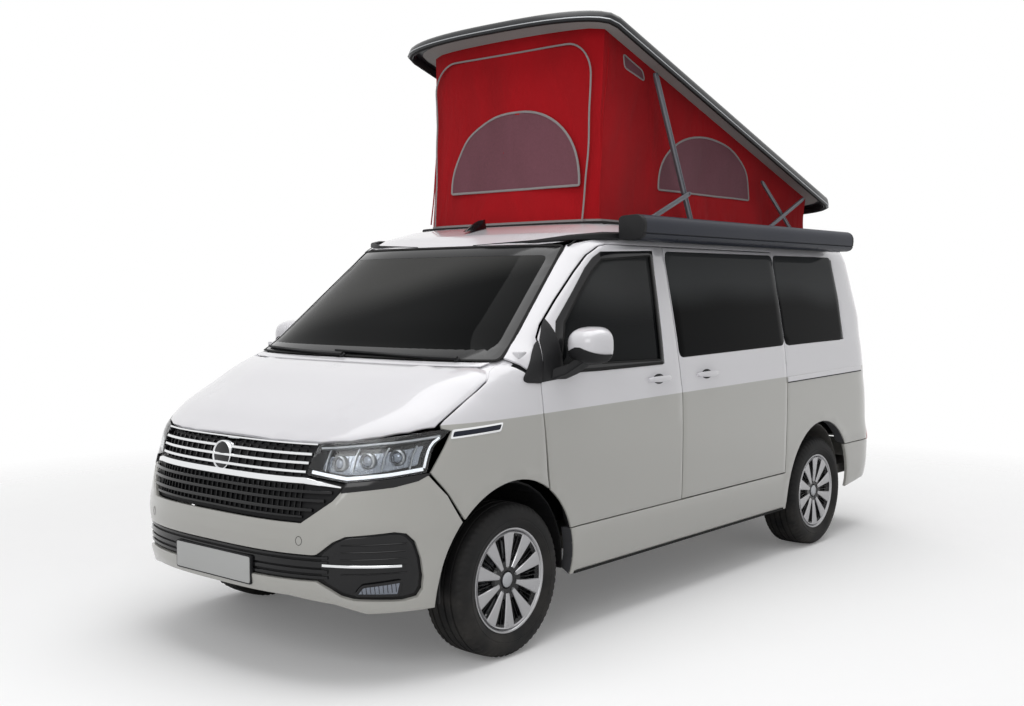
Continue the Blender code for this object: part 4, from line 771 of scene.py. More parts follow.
eyeGlass = finish("eyeGlass", (0.16, 0.18, 0.22, 1), 0.05, tone=0.3, slow=20, Metallic=0.6, CoatWeight=1.0,
                  CoatRoughness=0.02)
lampSilver = finish("lampSilver", (0.30, 0.32, 0.36, 1), 0.28, tone=0.25, drift=0.1, slow=30, Metallic=0.8)
# Dark grey for the body sides' solids: painted shade for the shut lines, where the real jambs are white
shutLineShade = finish("shutLineShade", rgb(74, 74, 77), 0.45, tone=0.08)
lightBar = finish("lightBar", (0.95, 0.97, 1.0, 1), 0.25, tone=0.03, emission=0.35)
canvasRed = finish("canvasRed", rgb(176, 20, 29), 0.85, tone=0.10, drift=0.06, slow=5, threads=2400.0,
                   threadShade=0.14, foldsWithShade=0.55, SpecularIORLevel=0.12, SheenWeight=0.04, SheenRoughness=0.5)
meshCloth = finish("meshCloth", rgb(122, 72, 84), 0.80, tone=0.12, threads=1500.0, threadShade=0.5, foldsWithShade=0.3)
greyPiping = finish("greyPiping", rgb(150, 146, 146), 0.7, tone=0.12, threads=1800.0, threadShade=0.25)
seatCloth = finish("seatCloth", rgb(70, 72, 77), 0.85, tone=0.15, threads=1500.0, threadShade=0.35,
                   SheenWeight=0.3, SheenRoughness=0.5)
seatPale = finish("seatPale", rgb(120, 120, 122), 0.85, tone=0.15, threads=1500.0, threadShade=0.3,
                  SheenWeight=0.3, SheenRoughness=0.5)
paleBoard = finish("paleBoard", rgb(206, 198, 184), 0.45, tone=0.12, drift=0.08, slow=14, fine=300, bump=0.1)
woodTop = finish("woodTop", rgb(120, 92, 66), 0.4, tone=0.35, drift=0.1, slow=22, fine=160, bump=0.15)
floorSheet = finish("floorSheet", rgb(92, 90, 87), 0.6, tone=0.3, slow=12, fine=180, bump=0.3)
platePaint = finish("platePaint", rgb(178, 179, 178), 0.35, tone=0.03, fine=900, bump=0.08)
headlining = finish("headlining", rgb(150, 149, 146), 0.9, tone=0.1, threads=1800.0, threadShade=0.2)
usualSlot = {made: slot for slot, group in (
    ("black_trim", (softBlack, seamRubber, blackTrim, anthracite)),
    ("gloss_black", (blackGloss, shellGloss)),
    ("upper_paint", (whitePaint, bodyPaint)),
    ("lower_paint", (lowerPaint,)),
    ("dark_glass", (darkGlass, screenGlass, doorGlass)),
    ("lamp_lens", (lampGlass, whiteLens, eyeGlass, lightBar)),
    ("red_lens", (redLens,)),
    ("grey_steel", (satinSteel, chrome, greyCast, lampSilver, armSteel)),
    ("machined_alloy", (alloy,)),
    ("tyre_rubber", (tyreRubber,)),
    ("red_canvas", (canvasRed, meshCloth, greyPiping)),
    ("pale_board", (paleBoard, platePaint, headlining, woodTop)),
    ("seat_cloth", (seatCloth, seatPale)),
) for made in group}
print("finishes ready")

# Side of the body

sideLines = {"gap": 0.006, "doorFront": -1.353, "bLine": -0.190, "doorLow": 0.520, "doorTop": 1.838, "sideTop": 1.872,
        "sliderRear": 0.980, "rocker": 0.290, "frontAxle": -1.544, "rearAxle": 1.456, "archRadius": 0.430,
        "archHigh": 0.360, "lampFront": 2.170, "lampTop": 1.100, "bumperTop": 0.612}
pillarLine = ((0.000, 1.202), (0.056, 1.399), (0.106, 1.455), (0.242, 1.570), (0.408, 1.703), (0.518, 1.785),
              (0.603, 1.828), (0.653, 1.838))
shutLine = ((0.006, 1.067), (0.041, 0.806))
doorPane = ((-1.262, 1.245), (-1.236, 1.350), (-1.172, 1.473), (-1.010, 1.612), (-0.884, 1.724), (-0.815, 1.774),
            (-0.755, 1.804), (-0.312, 1.819), (-0.342, 1.240))


def bLine(shift):
    return [(sideLines["bLine"] + x + shift, z) for x, z in ((0.008, sideLines["doorLow"]), (0.000, 1.070),
                                                             (-0.014, 1.250), (-0.022, sideLines["doorTop"]))]


def archX(axle, z, way):
    return axle + way * math.sqrt(sideLines["archRadius"] ** 2 - (z - sideLines["archHigh"]) ** 2)


def archZ(axle, x):
    return sideLines["archHigh"] + math.sqrt(sideLines["archRadius"] ** 2 - (x - axle) ** 2)


def archArc(axle, startZ, startWay, endZ, endWay, count):
    angles = []
    for z, way in ((startZ, startWay), (endZ, endWay)):
        angle = math.asin((z - sideLines["archHigh"]) / sideLines["archRadius"])
        angles.append(angle if way > 0 else math.pi - angle)
    turn = [angles[0] + (angles[1] - angles[0]) * i / count for i in range(count + 1)]
    return [(axle + sideLines["archRadius"] * math.cos(a),
             sideLines["archHigh"] + sideLines["archRadius"] * math.sin(a)) for a in turn]


def screenHalf(z):
    return 0.824 + (0.702 - 0.824) * (z - 1.304) / 0.530


def gateHalf(z):
    return float(np.interp(z, (0.56, 1.10, 1.30, 1.86), (0.770, 0.785, 0.780, 0.660)))


def doorOutline():
    front, foot = sideLines["doorFront"], sideLines["doorFront"] + 0.050
    points = bLine(-0.004) + [(front + x, z) for x, z in reversed(pillarLine)]
    points += [(front + x, z) for x, z in shutLine]
    return points + archArc(sideLines["frontAxle"], archZ(sideLines["frontAxle"], foot), 1, sideLines["doorLow"], 1,
                            8)


def sliderOutline():
    return bLine(0.004)[::-1] + [(sideLines["sliderRear"], sideLines["doorLow"]),
                                 (sideLines["sliderRear"], sideLines["doorTop"])]


def bodyOutline(sliding):
    gap, low, top = sideLines["gap"], sideLines["doorLow"] - 0.006, sideLines["doorTop"] + 0.006
    front = sideLines["doorFront"]
    points = archArc(sideLines["frontAxle"], low, 1, sideLines["rocker"], 1, 6)
    points += archArc(sideLines["rearAxle"], sideLines["rocker"], -1, sideLines["bumperTop"], 1, 26)
    points += [(sideLines["lampFront"] - gap, sideLines["bumperTop"]),
               (sideLines["lampFront"] - gap, sideLines["lampTop"] + gap)]
    points += [(tailX(gateHalf(z) + gap, z), z) for z in (sideLines["lampTop"] + gap, 1.2, 1.30, 1.4, 1.50, 1.6, 1.70,
                                                          1.77, 1.83)]
    points += [(2.02, sideLines["sideTop"]), (-0.70, sideLines["sideTop"]), (-0.79, 1.856)]
    points += [(noseX(screenHalf(z) + gap, z), z) for z in (1.836, 1.77, 1.70, 1.62, 1.55, 1.48, 1.42, 1.316)]
    points += [(front + x - gap * 1.4, z + gap * 0.6) for x, z in pillarLine][:-1]
    points += [(front + pillarLine[-1][0], top)]
    if sliding:
        return points + [(sideLines["sliderRear"] + gap, top), (sideLines["sliderRear"] + gap, low)]
    points += [(x, min(z, top) if z < sideLines["doorTop"] else top) for x, z in bLine(0.004)[::-1][:-1]]
    return points + [(bLine(0.004)[0][0], low)]


def fenderOutline():
    gap, front = sideLines["gap"], sideLines["doorFront"]
    points = [(front - gap, 1.200), (front + 0.004 - gap, 1.067), (front + 0.033 - gap, 0.806)]
    points += archArc(sideLines["frontAxle"], archZ(sideLines["frontAxle"], front + 0.042 - gap), 1, 0.660, -1, 20)
    return points + [(-1.925, 0.775), (-2.000, 0.868), (-1.890, 1.033), (-1.930, 1.044), (-1.928, 1.060),
                     (-1.905, 1.0765), (-1.860, 1.1015), (-1.815, 1.1262), (-1.760, 1.156), (-1.705, 1.1852),
                     (-1.640, 1.2227), (-1.615, 1.2475), (-1.590, 1.265), (-1.555, 1.281), (-1.512, 1.292)]


glassBands = {"sliderPane": ((-0.196, 1.262), (-0.206, 1.818), (0.9785, 1.822), (0.9785, 1.284)),
              "quarterPane": ((0.9865, 1.284), (0.9865, 1.822), (1.786, 1.826), (1.812, 1.56), (1.790, 1.292))}


archLip = {"reach": 0.050, "rise": 0.0045}
cornerSwell = {"x": -1.430, "z": 1.325, "reach": 0.085, "rise": 0.013}


def creased(sign, out):
    # The side with raised lips at the wheel arches and a swell by the cowl, just outside the solid panel.
    surface = deeper(onSide(sign), out, -0.002)

    def lift(x, z):
        spot = surface(x, z)
        for axle in (sideLines["frontAxle"], sideLines["rearAxle"]):
            away = math.hypot(x - axle, z - sideLines["archHigh"]) - sideLines["archRadius"]
            if -0.01 <= away < archLip["reach"]:
                spot.y += sign * archLip["rise"] * (0.5 + 0.5 * math.cos(math.pi * max(away, 0) / archLip["reach"]))
        away = math.hypot(x - cornerSwell["x"], z - cornerSwell["z"])
        if away < cornerSwell["reach"]:
            spot.y += sign * cornerSwell["rise"] * (0.5 + 0.5 * math.cos(math.pi * away / cornerSwell["reach"]))
        return spot
    return lift


for sign, name in sides:
    out = (0, sign, 0)
    lift = creased(sign, out)
    sliding = sign < 0
    quarter = [(1.035, 1.282), (1.035, 1.808), (1.795, 1.808), (1.810, 1.296)]
    opening = quarter if sliding else [(-0.145, 1.266), (-0.174, 1.805), *quarter[2:]]
    skin(name + "SidePanel", [bodyOutline(sliding), opening], lift, out, bodyPaint, thick=0.010, step=0.045,
         roll=0.003)
    skin(name + "DoorSkin", [shrunk(doorOutline(), -0.0015), list(doorPane)], lift, out, bodyPaint, name + "_door",
         thick=0.009, step=0.04, roll=0.003)
    skin(name + "FenderSkin", [fenderOutline()], lift, out, bodyPaint, "chassis", f"{name}_fender", thick=0.012,
         step=0.04, roll=0.003)
    if sliding:
        skin("slidingDoorSkin", [sliderOutline(), [(-0.145, 1.275), (-0.170, 1.810), (0.935, 1.812),
                                                   (0.935, 1.290)]], lift, out, bodyPaint, thick=0.009, step=0.045,
             roll=0.003)
    paneEdge = [(-1.215, 1.268), (-1.130, 1.470), (-0.985, 1.605), (-0.852, 1.716), (-0.765, 1.772),
                (-0.335, 1.798), (-0.365, 1.254)]
    plain = deeper(onSide(sign), out, 0.0)
    skin(name + "DoorWindowFrame", [rounded(list(doorPane), 0.02), shrunk(dense(paneEdge, 0.05), 0.004)],
         deeper(plain, out, -0.0012), out, blackGloss, name + "_door", thick=0.006, step=0.04, roll=0.002)
    skin(name + "DoorPane", [shrunk(dense(paneEdge, 0.05), 0.0006)], deeper(plain, out, 0.008), out, doorGlass,
         name + "_door", f"{name}_door_glass", thick=0.004, step=0.05, roll=0.001)
    bm = bmesh.new()
    trimInto(bm, [(-1.250, 1.243), (-0.9, 1.240), (-0.360, 1.244)], plain, out, 0.016, 0.005, closed=False)
    trimInto(bm, shrunk(dense(paneEdge, 0.05), 0.006), plain, out, 0.010, 0.003)
    piece(name + "DoorWindowSeal", bm, seamRubber, name + "_door")
    bands = (("SliderPane", glassBands["sliderPane"]), ("QuarterPane", glassBands["quarterPane"]))
    if sliding:
        groups = ((bands[0], "sliding_door_glass"), (bands[1], "left_quarter_glass"))
    else:
        whole = (glassBands["sliderPane"][0], glassBands["sliderPane"][1], *glassBands["quarterPane"][2:])
        groups = ((("SidePane", whole), "right_side_glass"),)
    for (label, band), node in groups:
        face = deeper(onSide(sign), out, -0.0035)
        skin(name + label, [rounded(list(band), 0.045, 6)], face, out, darkGlass, "chassis", node, thick=0.005,
             step=0.05, roll=0.0015)
    if not sliding:
        trim("rightPaneDivider", blackGloss, [(0.98, 1.264), (0.985, 1.824)], face, out, 0.012, 0.002, closed=False)
print("sides done")

# Fittings of the side

fittings = {"handleX": (-0.405, -0.026), "handleZ": 1.165, "handleLength": 0.200, "railZ": (1.078, 1.095)}


def stand(lift, out, a, b, height=0.0):
    return lift(a, b) + normalAt(lift, a, b, out) * height


for sign, name in sides:
    out = (0, sign, 0)
    lift = deeper(onSide(sign), out, -0.002)
    for label, x, body in (("DoorHandle", fittings["handleX"][0], name + "_door"),
                           ("SliderHandle", fittings["handleX"][1], "chassis")):
        if label == "SliderHandle" and sign > 0:
            continue
        z, half = fittings["handleZ"], fittings["handleLength"] / 2
        middle = x if label == "DoorHandle" else x + 0.09
        cup = [(middle + 0.052 * math.cos(a), z + 0.026 * math.sin(a)) for a in np.linspace(0, math.tau, 25)[:-1]]
        skin(name + label + "Cup", [cup], deeper(lift, out, -0.0006), out, softBlack, body, thick=0.003, step=0.02,
             roll=0.001)
        bm = bmesh.new()
        rows = []
        for t in np.linspace(-1, 1, 17):
            spot = stand(lift, out, middle + t * half, z, 0.030 * (1 - abs(t) ** 3.4) + 0.004)
            tall = 0.016 * (1 - 0.45 * abs(t) ** 3)
            rows.append([spot + Vector((0, sign * 0.008 * math.cos(a), tall * math.sin(a)))
                         for a in np.linspace(0, math.tau, 13)[:-1]])
        loftInto(bm, rows)
        piece(name + label, bm, whitePaint, body)
    strip = [(-1.905, 0.999), (-1.640, 1.011), (-1.622, 1.050), (-1.888, 1.037)]
    skin(name + "FenderStrip", [rounded(strip, 0.010)], deeper(lift, out, -0.0025), out, chrome, thick=0.004,
         step=0.03, roll=0.0015)
    skin(name + "FenderStripInlay", [rounded(shrunk(strip, 0.009), 0.006)], deeper(lift, out, -0.0034), out,
         anthracite, thick=0.002, step=0.03, roll=0.0008, slot="gloss_black")
    trim(name + "GutterTrim", seamRubber, [(-0.877, 1.829), (-0.815, 1.860), (-0.70, 1.8715), (0.6, 1.8715),
                                           (2.02, 1.8715)], lift, out, 0.011, 0.004, closed=False)
    if sign < 0:
        low, high = fittings["railZ"]
        trim("slideRailCover", whitePaint, [(0.990, low + 0.002), (2.040, high + 0.002)], lift, out, 0.030, 0.0045,
             closed=False)
        trim("slideRailSlot", seamRubber, [(0.992, low - 0.015), (2.040, high - 0.015)], lift, out, 0.009, 0.0030,
             closed=False)
    else:
        flap = rounded([(1.62, 0.87), (1.79, 0.87), (1.79, 1.03), (1.62, 1.03)], 0.03, 5)
        trim("fuelFlapLine", seamRubber, flap, lift, out, 0.0035, 0.0006)
    # Dark line under the sill: painted shade where the sill turns under
    bm = bmesh.new()
    points = [stand(lift, out, x, 0.296, 0.001) for x in np.linspace(-1.09, 1.00, 24)]
    sweepInto(bm, points, (0, sign, 0), [(-0.006, -0.004), (0.006, -0.004), (0.006, 0.004), (-0.006, 0.004)])
    piece(name + "SillShadeLine", bm, seamRubber)

# Door mirrors

mirror = {"rings": ((-1.085, 0.90), (-1.0865, 0.96), (-1.094, 1.0), (-1.120, 0.998), (-1.150, 0.97), (-1.178, 0.89),
                    (-1.203, 0.76), (-1.219, 0.58), (-1.229, 0.36), (-1.232, 0.14)),
          "y": 1.047, "z": 1.365, "wide": 0.100, "tall": 0.085}


def podLoop(sign, x, share, scale=1.0, count=40, shiftZ=0.0):
    loop = []
    for i in range(count):
        a = math.tau * i / count
        y, z = (math.copysign(abs(f(a)) ** 0.72, f(a)) for f in (math.cos, math.sin))
        loop.append(Vector((x, sign * (mirror["y"] + y * share * mirror["wide"] * scale),
                            mirror["z"] + shiftZ + z * share * mirror["tall"] * scale)))
    return loop


for sign, name in sides:
    body = name + "_door"
    bm = bmesh.new()
    loftInto(bm, [podLoop(sign, x, share) for x, share in mirror["rings"]])
    # The lower third of the cap is black, above it body colour
    piece(name + "MirrorCap", bm, whitePaint, body, f"{name}_mirror")
    bm = bmesh.new()
    loops = []
    for x, share in mirror["rings"][2:]:
        ring = podLoop(sign, x, share, 1.0 if share > 0.99 else 1.010)
        loops.append([Vector((p.x - 0.0006, p.y, min(p.z, mirror["z"] - 0.040 * share))) for p in ring])
    loftInto(bm, loops)
    piece(name + "MirrorUnderside", bm, softBlack, body)
    bm = bmesh.new()
    loftInto(bm, [podLoop(sign, -1.0848, 0.90, 0.93), podLoop(sign, -1.0838, 0.90, 0.90)])
    piece(name + "MirrorGlass", bm, chrome, body, slot="gloss_black")
    bm = bmesh.new()
    loftInto(bm, [podLoop(sign, -1.086, 0.95, 1.0), podLoop(sign, -1.0835, 0.93, 1.0),
                  podLoop(sign, -1.0835, 0.90, 0.95), podLoop(sign, -1.086, 0.88, 0.95)])
    piece(name + "MirrorRim", bm, softBlack, body)
    bm = bmesh.new()
    foot = [Vector((x, sign * (sideY(x, z) + 0.0035), z))
            for x, z in ((-1.290, 1.212), (-1.180, 1.206), (-1.165, 1.252), (-1.275, 1.262))]
    knee = [Vector((x, sign * 0.985, z))
            for x, z in ((-1.235, 1.236), (-1.125, 1.236), (-1.120, 1.275), (-1.225, 1.280))]
    tip = [Vector((x, sign * 1.045, z))
           for x, z in ((-1.185, 1.290), (-1.100, 1.290), (-1.100, 1.335), (-1.185, 1.335))]
    loftInto(bm, [foot, knee, tip])
    bmesh.ops.bevel(bm, geom=bm.edges[:], offset=0.006, segments=2, affect="EDGES")
    piece(name + "MirrorArm", bm, softBlack, body)
    sail = [(-1.3505, 1.204), (-1.298, 1.388), (-1.250, 1.454), (-1.216, 1.486), (-1.198, 1.400), (-1.190, 1.300),
            (-1.196, 1.228), (-1.230, 1.212)]
    out = (0, sign, 0)
    skin(name + "MirrorSail", [rounded(sail, 0.006)], deeper(onSide(sign), out, -0.0052), out, blackTrim, body,
         thick=0.006, step=0.03, roll=0.0015)
    foot = [(-1.356, 1.200), (-1.306, 1.388), (-1.330, 1.372), (-1.462, 1.232), (-1.466, 1.216), (-1.445, 1.206)]
    skin(name + "PillarFoot", [rounded(foot, 0.008)], deeper(onSide(sign), out, -0.0090), out, blackTrim,
         thick=0.008, step=0.03, roll=0.0015)
print("side fittings done")

# Front

nose = {"plate": (0.520, 0.111), "plateZ": 0.453, "slats": (0.985, 0.948, 0.913, 0.878), "lowSlats": (0.800, 0.766,
        0.728), "barZ": 0.845, "finStep": 0.052}
lampEdge = ((0.592, 0.989), (0.886, 1.013), (1.080, 1.031), (1.264, 1.047), (1.258, 0.872), (1.047, 0.856),
            (0.800, 0.842), (0.566, 0.866))
grilleSide = ((0.560, 0.681), (0.728, 0.774), (0.795, 0.832), (0.556, 0.858), (0.582, 0.982))
podHole = ((0.640, 0.548), (0.667, 0.551), (0.760, 0.604), (0.832, 0.627), (1.110, 0.641), (1.180, 0.632),
           (1.232, 0.596), (1.266, 0.524), (1.280, 0.447), (1.268, 0.392), (1.232, 0.360), (1.148, 0.350),
           (0.870, 0.363), (0.800, 0.378), (0.744, 0.406), (0.665, 0.440))


def both(half):
    return list(half) + [(-a, b) for a, b in reversed(list(half))]


noseFace = noseIn(-0.002)
bumperSide = [(0.500, 0.372), (0.760, 0.345), (0.930, 0.302)]
for z in (0.302, 0.33, 0.36, 0.40, 0.43, 0.47, 0.50, 0.54, 0.58, 0.62, 0.65):
    bumperSide.append((sideQ(archX(sideLines["frontAxle"], z, -1), z), z))
bumperSide += [(sideQ(-1.933, 0.770), 0.770), (sideQ(-2.008, 0.858), 0.858), (1.047, 0.848), (0.815, 0.834),
               (0.742, 0.768), (0.568, 0.674)]
bandHole = both([(0.30, 0.548), *podHole, (0.30, 0.440)])
skin("frontBumperSkin", [both([(0.25, 0.372), *bumperSide]), bandHole], noseFace, ahead, lowerPaint, "chassis",
     "front_bumper", thick=0.018, step=0.04, roll=0.004)

behind = noseIn(0.016)
skin("lowerBand", [shrunk(bandHole, -0.010)], behind, ahead, blackTrim, thick=0.006, roll=0.002)
bm = bmesh.new()
for z, width in ((0.4560, 0.012), (0.4800, 0.016), (0.5090, 0.026), (0.5370, 0.012)):
    trimInto(bm, [(-0.730, z), (0.730, z)], behind, ahead, width, 0.010, closed=False, step=0.03)
piece("lowerBandSlats", bm, blackGloss)
for sign, name in sides:
    pod = [(sign * q, z) for q, z in ((0.690, 0.552), (0.770, 0.598), (0.842, 0.620), (1.110, 0.632), (1.172, 0.624),
                                      (1.220, 0.590), (1.254, 0.520), (1.267, 0.447), (1.256, 0.396), (1.222, 0.368),
                                      (1.142, 0.360), (0.872, 0.373), (0.806, 0.386), (0.756, 0.414),
                                      (0.690, 0.450))]
    bm = bmesh.new()
    edge = rounded(pod, 0.02)
    sheetInto(bm, [edge], noseIn(0.0135), ahead, 0.004, 0.04, 0.003)
    for z in (0.470, 0.500, 0.530, 0.560, 0.590):
        trimInto(bm, [(sign * 0.80, z), (sign * 1.19, z)], noseIn(0.0135), ahead, 0.005, 0.004,
                 closed=False, step=0.03)
    piece(name + "PodPanel", bm, blackGloss)
    fog = [(sign * q, z) for q, z in ((0.930, 0.422), (1.155, 0.436), (1.130, 0.376), (0.884, 0.384))]
    skin(name + "FogLens", [rounded(fog, 0.014)], noseIn(0.004), ahead, eyeGlass, thick=0.006,
         step=0.02, roll=0.002)
    bm = bmesh.new()
    trimInto(bm, rounded(fog, 0.014), noseIn(0.010), ahead, 0.012, 0.008, step=0.02)
    for share in np.linspace(0.1, 0.9, 9):
        q = sign * (0.900 + 0.245 * share)
        trimInto(bm, [(q, 0.386 + 0.006 * share), (q, 0.418 + 0.012 * share)], noseIn(0.003), ahead,
                 0.0025, 0.0015, closed=False, step=0.02)
    piece(name + "FogBezel", bm, blackGloss)
    trim(name + "BumperChrome", chrome, [(sign * 0.700, 0.508), (sign * 1.156, 0.500)],
         noseIn(0.012), ahead, 0.011, 0.012, closed=False, step=0.03)
    eyelet = [(sign * (0.565 + 0.018 * math.cos(a)), 0.603 + 0.018 * math.sin(a))
              for a in np.linspace(0, math.tau, 21)[:-1]]
    trim(name + "SensorRing", seamRubber, eyelet, noseFace, ahead, 0.0020, 0.0006, step=0.02)

# Number plate, left blank
wide, tall = nose["plate"]
corners = rounded([(-wide / 2, -tall / 2), (wide / 2, -tall / 2), (wide / 2, tall / 2), (-wide / 2, tall / 2)], 0.010)
flatPlate = lambda y, z: Vector((-2.4504, y, nose["plateZ"] + z))
skin("frontPlate", [corners], flatPlate, (-1, 0, 0), platePaint, thick=0.0030, step=0.06, roll=0.0008)
holder = rounded([(-wide / 2 - 0.006, -tall / 2 - 0.006), (wide / 2 + 0.006, -tall / 2 - 0.006),
                  (wide / 2 + 0.006, tall / 2 + 0.006), (-wide / 2 - 0.006, tall / 2 + 0.006)], 0.012)
skin("plateHolder", [holder], lambda y, z: Vector((-2.4484, y, nose["plateZ"] + z)), (-1, 0, 0), softBlack,
     step=0.06, roll=0.0015)

# Upper grille: dark backing, bright slats, wide bar, fins
grilleEdge = both([*grilleSide])
back = noseIn(0.024)
skin("grilleBack", [shrunk(grilleEdge, -0.004)], back, ahead, softBlack, "chassis", "grille", thick=0.008,
     step=0.04, roll=0.002, slot="gloss_black")
bm = bmesh.new()
for q in np.arange(-0.52, 0.521, nose["finStep"]):
    trimInto(bm, [(q, 0.862), (q, 0.972)], back, ahead, 0.004, 0.012, closed=False, step=0.03)
for q in np.arange(-0.546, 0.547, nose["finStep"] / 1.5):
    low = 0.700 if abs(q) < 0.56 else 0.75
    trimInto(bm, [(q, low), (q, 0.826)], back, ahead, 0.0035, 0.012, closed=False, step=0.03)
piece("grilleFins", bm, blackGloss)


def endWidth(t):
    return max(0.25, 1 - max(0.0, abs(2 * t - 1) - 0.72) * 2.6)


bm = bmesh.new()
for z, reach, width, height in ((nose["slats"][0], 0.585, 0.008, 0.024), (nose["slats"][1], 0.572, 0.011, 0.021),
                                (nose["slats"][2], 0.566, 0.011, 0.021), (nose["slats"][3], 0.560, 0.011, 0.021)):
    trimInto(bm, [(-reach, z), (reach, z)], noseIn(0.020), ahead, width, height, closed=False,
             step=0.03)
trimInto(bm, [(-0.775, 0.822), (-0.70, 0.830), (-0.56, 0.843), (0.56, 0.843), (0.70, 0.830), (0.775, 0.822)],
         noseIn(0.016), ahead, 0.024, 0.019, closed=False, step=0.03, twist=endWidth)
piece("grilleChrome", bm, chrome)
bm = bmesh.new()
for z, reach in ((nose["lowSlats"][0], 0.730), (nose["lowSlats"][1], 0.690), (nose["lowSlats"][2], 0.625)):
    trimInto(bm, [(-reach, z), (reach, z)], noseIn(0.020), ahead, 0.013, 0.018, closed=False,
             step=0.03)
trimInto(bm, [(-0.568, 0.700), (0.568, 0.700)], noseIn(0.016), ahead, 0.010, 0.010, closed=False,
         step=0.03)
piece("grilleLowSlats", bm, blackGloss)
bm = bmesh.new()
boss = onNose(0.0, 0.908)
latheInto(bm, [(0.064, -0.030), (0.064, -0.002), (0.0625, 0.0018), (0.0590, 0.0022), (0.056, -0.002),
               (0.055, -0.030)], 56, boss, (-1, 0, 0.12), closed=True)
piece("grilleBossRing", bm, chrome)
bm = bmesh.new()
latheInto(bm, [(0.056, -0.030), (0.056, -0.0035), (0.038, -0.0015), (0.018, -0.0004), (0.001, -0.0002),
               (0.001, -0.030)], 56, boss, (-1, 0, 0.12), closed=True)
piece("grilleBoss", bm, blackGloss)

# Headlamps: deep black housing, ribbed reflector, projectors, light bar, clear cover
lampEyes = ((0.735, 0.920, 0.024), (0.905, 0.930, 0.025), (1.085, 0.940, 0.024))
for sign, name in sides:
    edge = [(sign * q, z) for q, z in lampEdge]
    lampBody = "chassis"
    bm = bmesh.new()
    deep = noseIn(0.050)
    loops = [shrunk(dense(edge, 0.03), inset) for inset in (0.001, 0.004, 0.010)]
    rows = []
    for loop, depth in zip(loops, (0.0035, 0.030, 0.050)):
        rows.append([onNose(a, b) - normalAt(onNose, a, b, ahead) * depth for a, b in loop])
    inner = [shrunk(loop, -0.0012) for loop in loops]
    rowsOut = [[onNose(a, b) - normalAt(onNose, a, b, ahead) * d for a, b in loop]
               for loop, d in zip(inner, (0.0035, 0.030, 0.0525))]
    loftInto(bm, rows, caps=False)
    sheetInto(bm, [shrunk(dense(edge, 0.03), 0.008)], deep, ahead, 0.003, 0.04, 0.001)
    piece(name + "LampHousing", bm, blackGloss, lampBody, f"{name}_headlamp")
    bm = bmesh.new()
    glow = [(sign * q, z) for q, z in ((0.625, 0.893), (0.800, 0.872), (1.047, 0.886), (1.216, 0.902), (1.214, 0.986),
                                       (1.080, 0.975), (0.886, 0.962), (0.640, 0.950))]
    sheetInto(bm, [rounded(glow, 0.012)], noseIn(0.0462), ahead, 0.0035, 0.03, 0.001)
    for share in np.linspace(0.06, 0.94, 22):
        q = 0.640 + 0.570 * share
        trimInto(bm, [(sign * q, 0.892 + 0.012 * share), (sign * q, 0.944 + 0.034 * share)],
                 noseIn(0.0460), ahead, 0.004, 0.004, closed=False, step=0.03)
    piece(name + "LampReflector", bm, lampSilver, lampBody)
    bm = bmesh.new()
    for q, z, radius in lampEyes:
        centre = onNose(sign * q, z)
        way = (normalAt(onNose, sign * q, z, ahead) + Vector((-1.2, 0, 0))).normalized()
        base = centre - normalAt(onNose, sign * q, z, ahead) * 0.048
        latheInto(bm, [(radius + 0.010, 0.0), (radius + 0.009, 0.020), (radius + 0.003, 0.026), (radius, 0.020),
                       (radius * 0.98, 0.0)], 36, base, way, closed=True)
    piece(name + "LampRings", bm, satinSteel, lampBody)
    bm = bmesh.new()
    for q, z, radius in lampEyes:
        centre = onNose(sign * q, z)
        way = (normalAt(onNose, sign * q, z, ahead) + Vector((-1.2, 0, 0))).normalized()
        base = centre - normalAt(onNose, sign * q, z, ahead) * 0.046
        dome = [(radius * math.sin(t), 0.008 + 0.016 * math.cos(t)) for t in np.linspace(0.02, math.pi / 2, 9)]
        latheInto(bm, dome + [(radius, 0.0), (0.001, 0.0)], 32, base, way, closed=True)
    piece(name + "LampEyes", bm, eyeGlass, lampBody)
    bm = bmesh.new()
    low = [(sign * q, z) for q, z in ((0.592, 0.880), (0.800, 0.8565), (1.047, 0.870), (1.235, 0.886))]
    trimInto(bm, low, noseIn(0.016), ahead, 0.014, 0.009, closed=False, step=0.02)
    trimInto(bm, [(sign * 1.240, 0.890), (sign * 1.243, 1.010)], noseIn(0.016), ahead, 0.009, 0.008,
             closed=False, step=0.02)
    piece(name + "LampBar", bm, lightBar, lampBody)
    bm = bmesh.new()
    brow = [(sign * q, z) for q, z in ((0.606, 0.977), (0.886, 0.995), (1.080, 1.006), (1.235, 1.018))]
    trimInto(bm, brow, noseIn(0.030), ahead, 0.010, 0.016, closed=False, step=0.02)
    for q in (0.655, 0.82, 0.995, 1.165):
        trimInto(bm, [(sign * q, 0.886), (sign * q, 0.985)], noseIn(0.046), ahead, 0.006, 0.018,
                 closed=False, step=0.02)
    piece(name + "LampBrow", bm, satinSteel, lampBody)
    skin(name + "LampCover", [rounded(edge, 0.010)], onNose, ahead, lampGlass, lampBody, thick=0.003, step=0.03,
         roll=0.001)
    # Black sheet below each lamp, over the bumper's top edge: painted shade in the gap between lamp and bumper
    gapShadeLoop = [(sign * q, z) for q, z in ((0.800, 0.8405), (1.047, 0.8535), (1.256, 0.869), (1.290, 0.866),
                                        (1.215, 0.838), (1.080, 0.818), (0.900, 0.806), (0.780, 0.797))]
    skin(name + "LampGapShade", [gapShadeLoop], noseIn(-0.0030), ahead, blackGloss, step=0.03)
print("front done")

# Bonnet

bonnetShape = {"ridge": 0.0055, "ridgeFrom": (-2.34, 0.36), "ridgeTo": (-1.60, 0.60)}


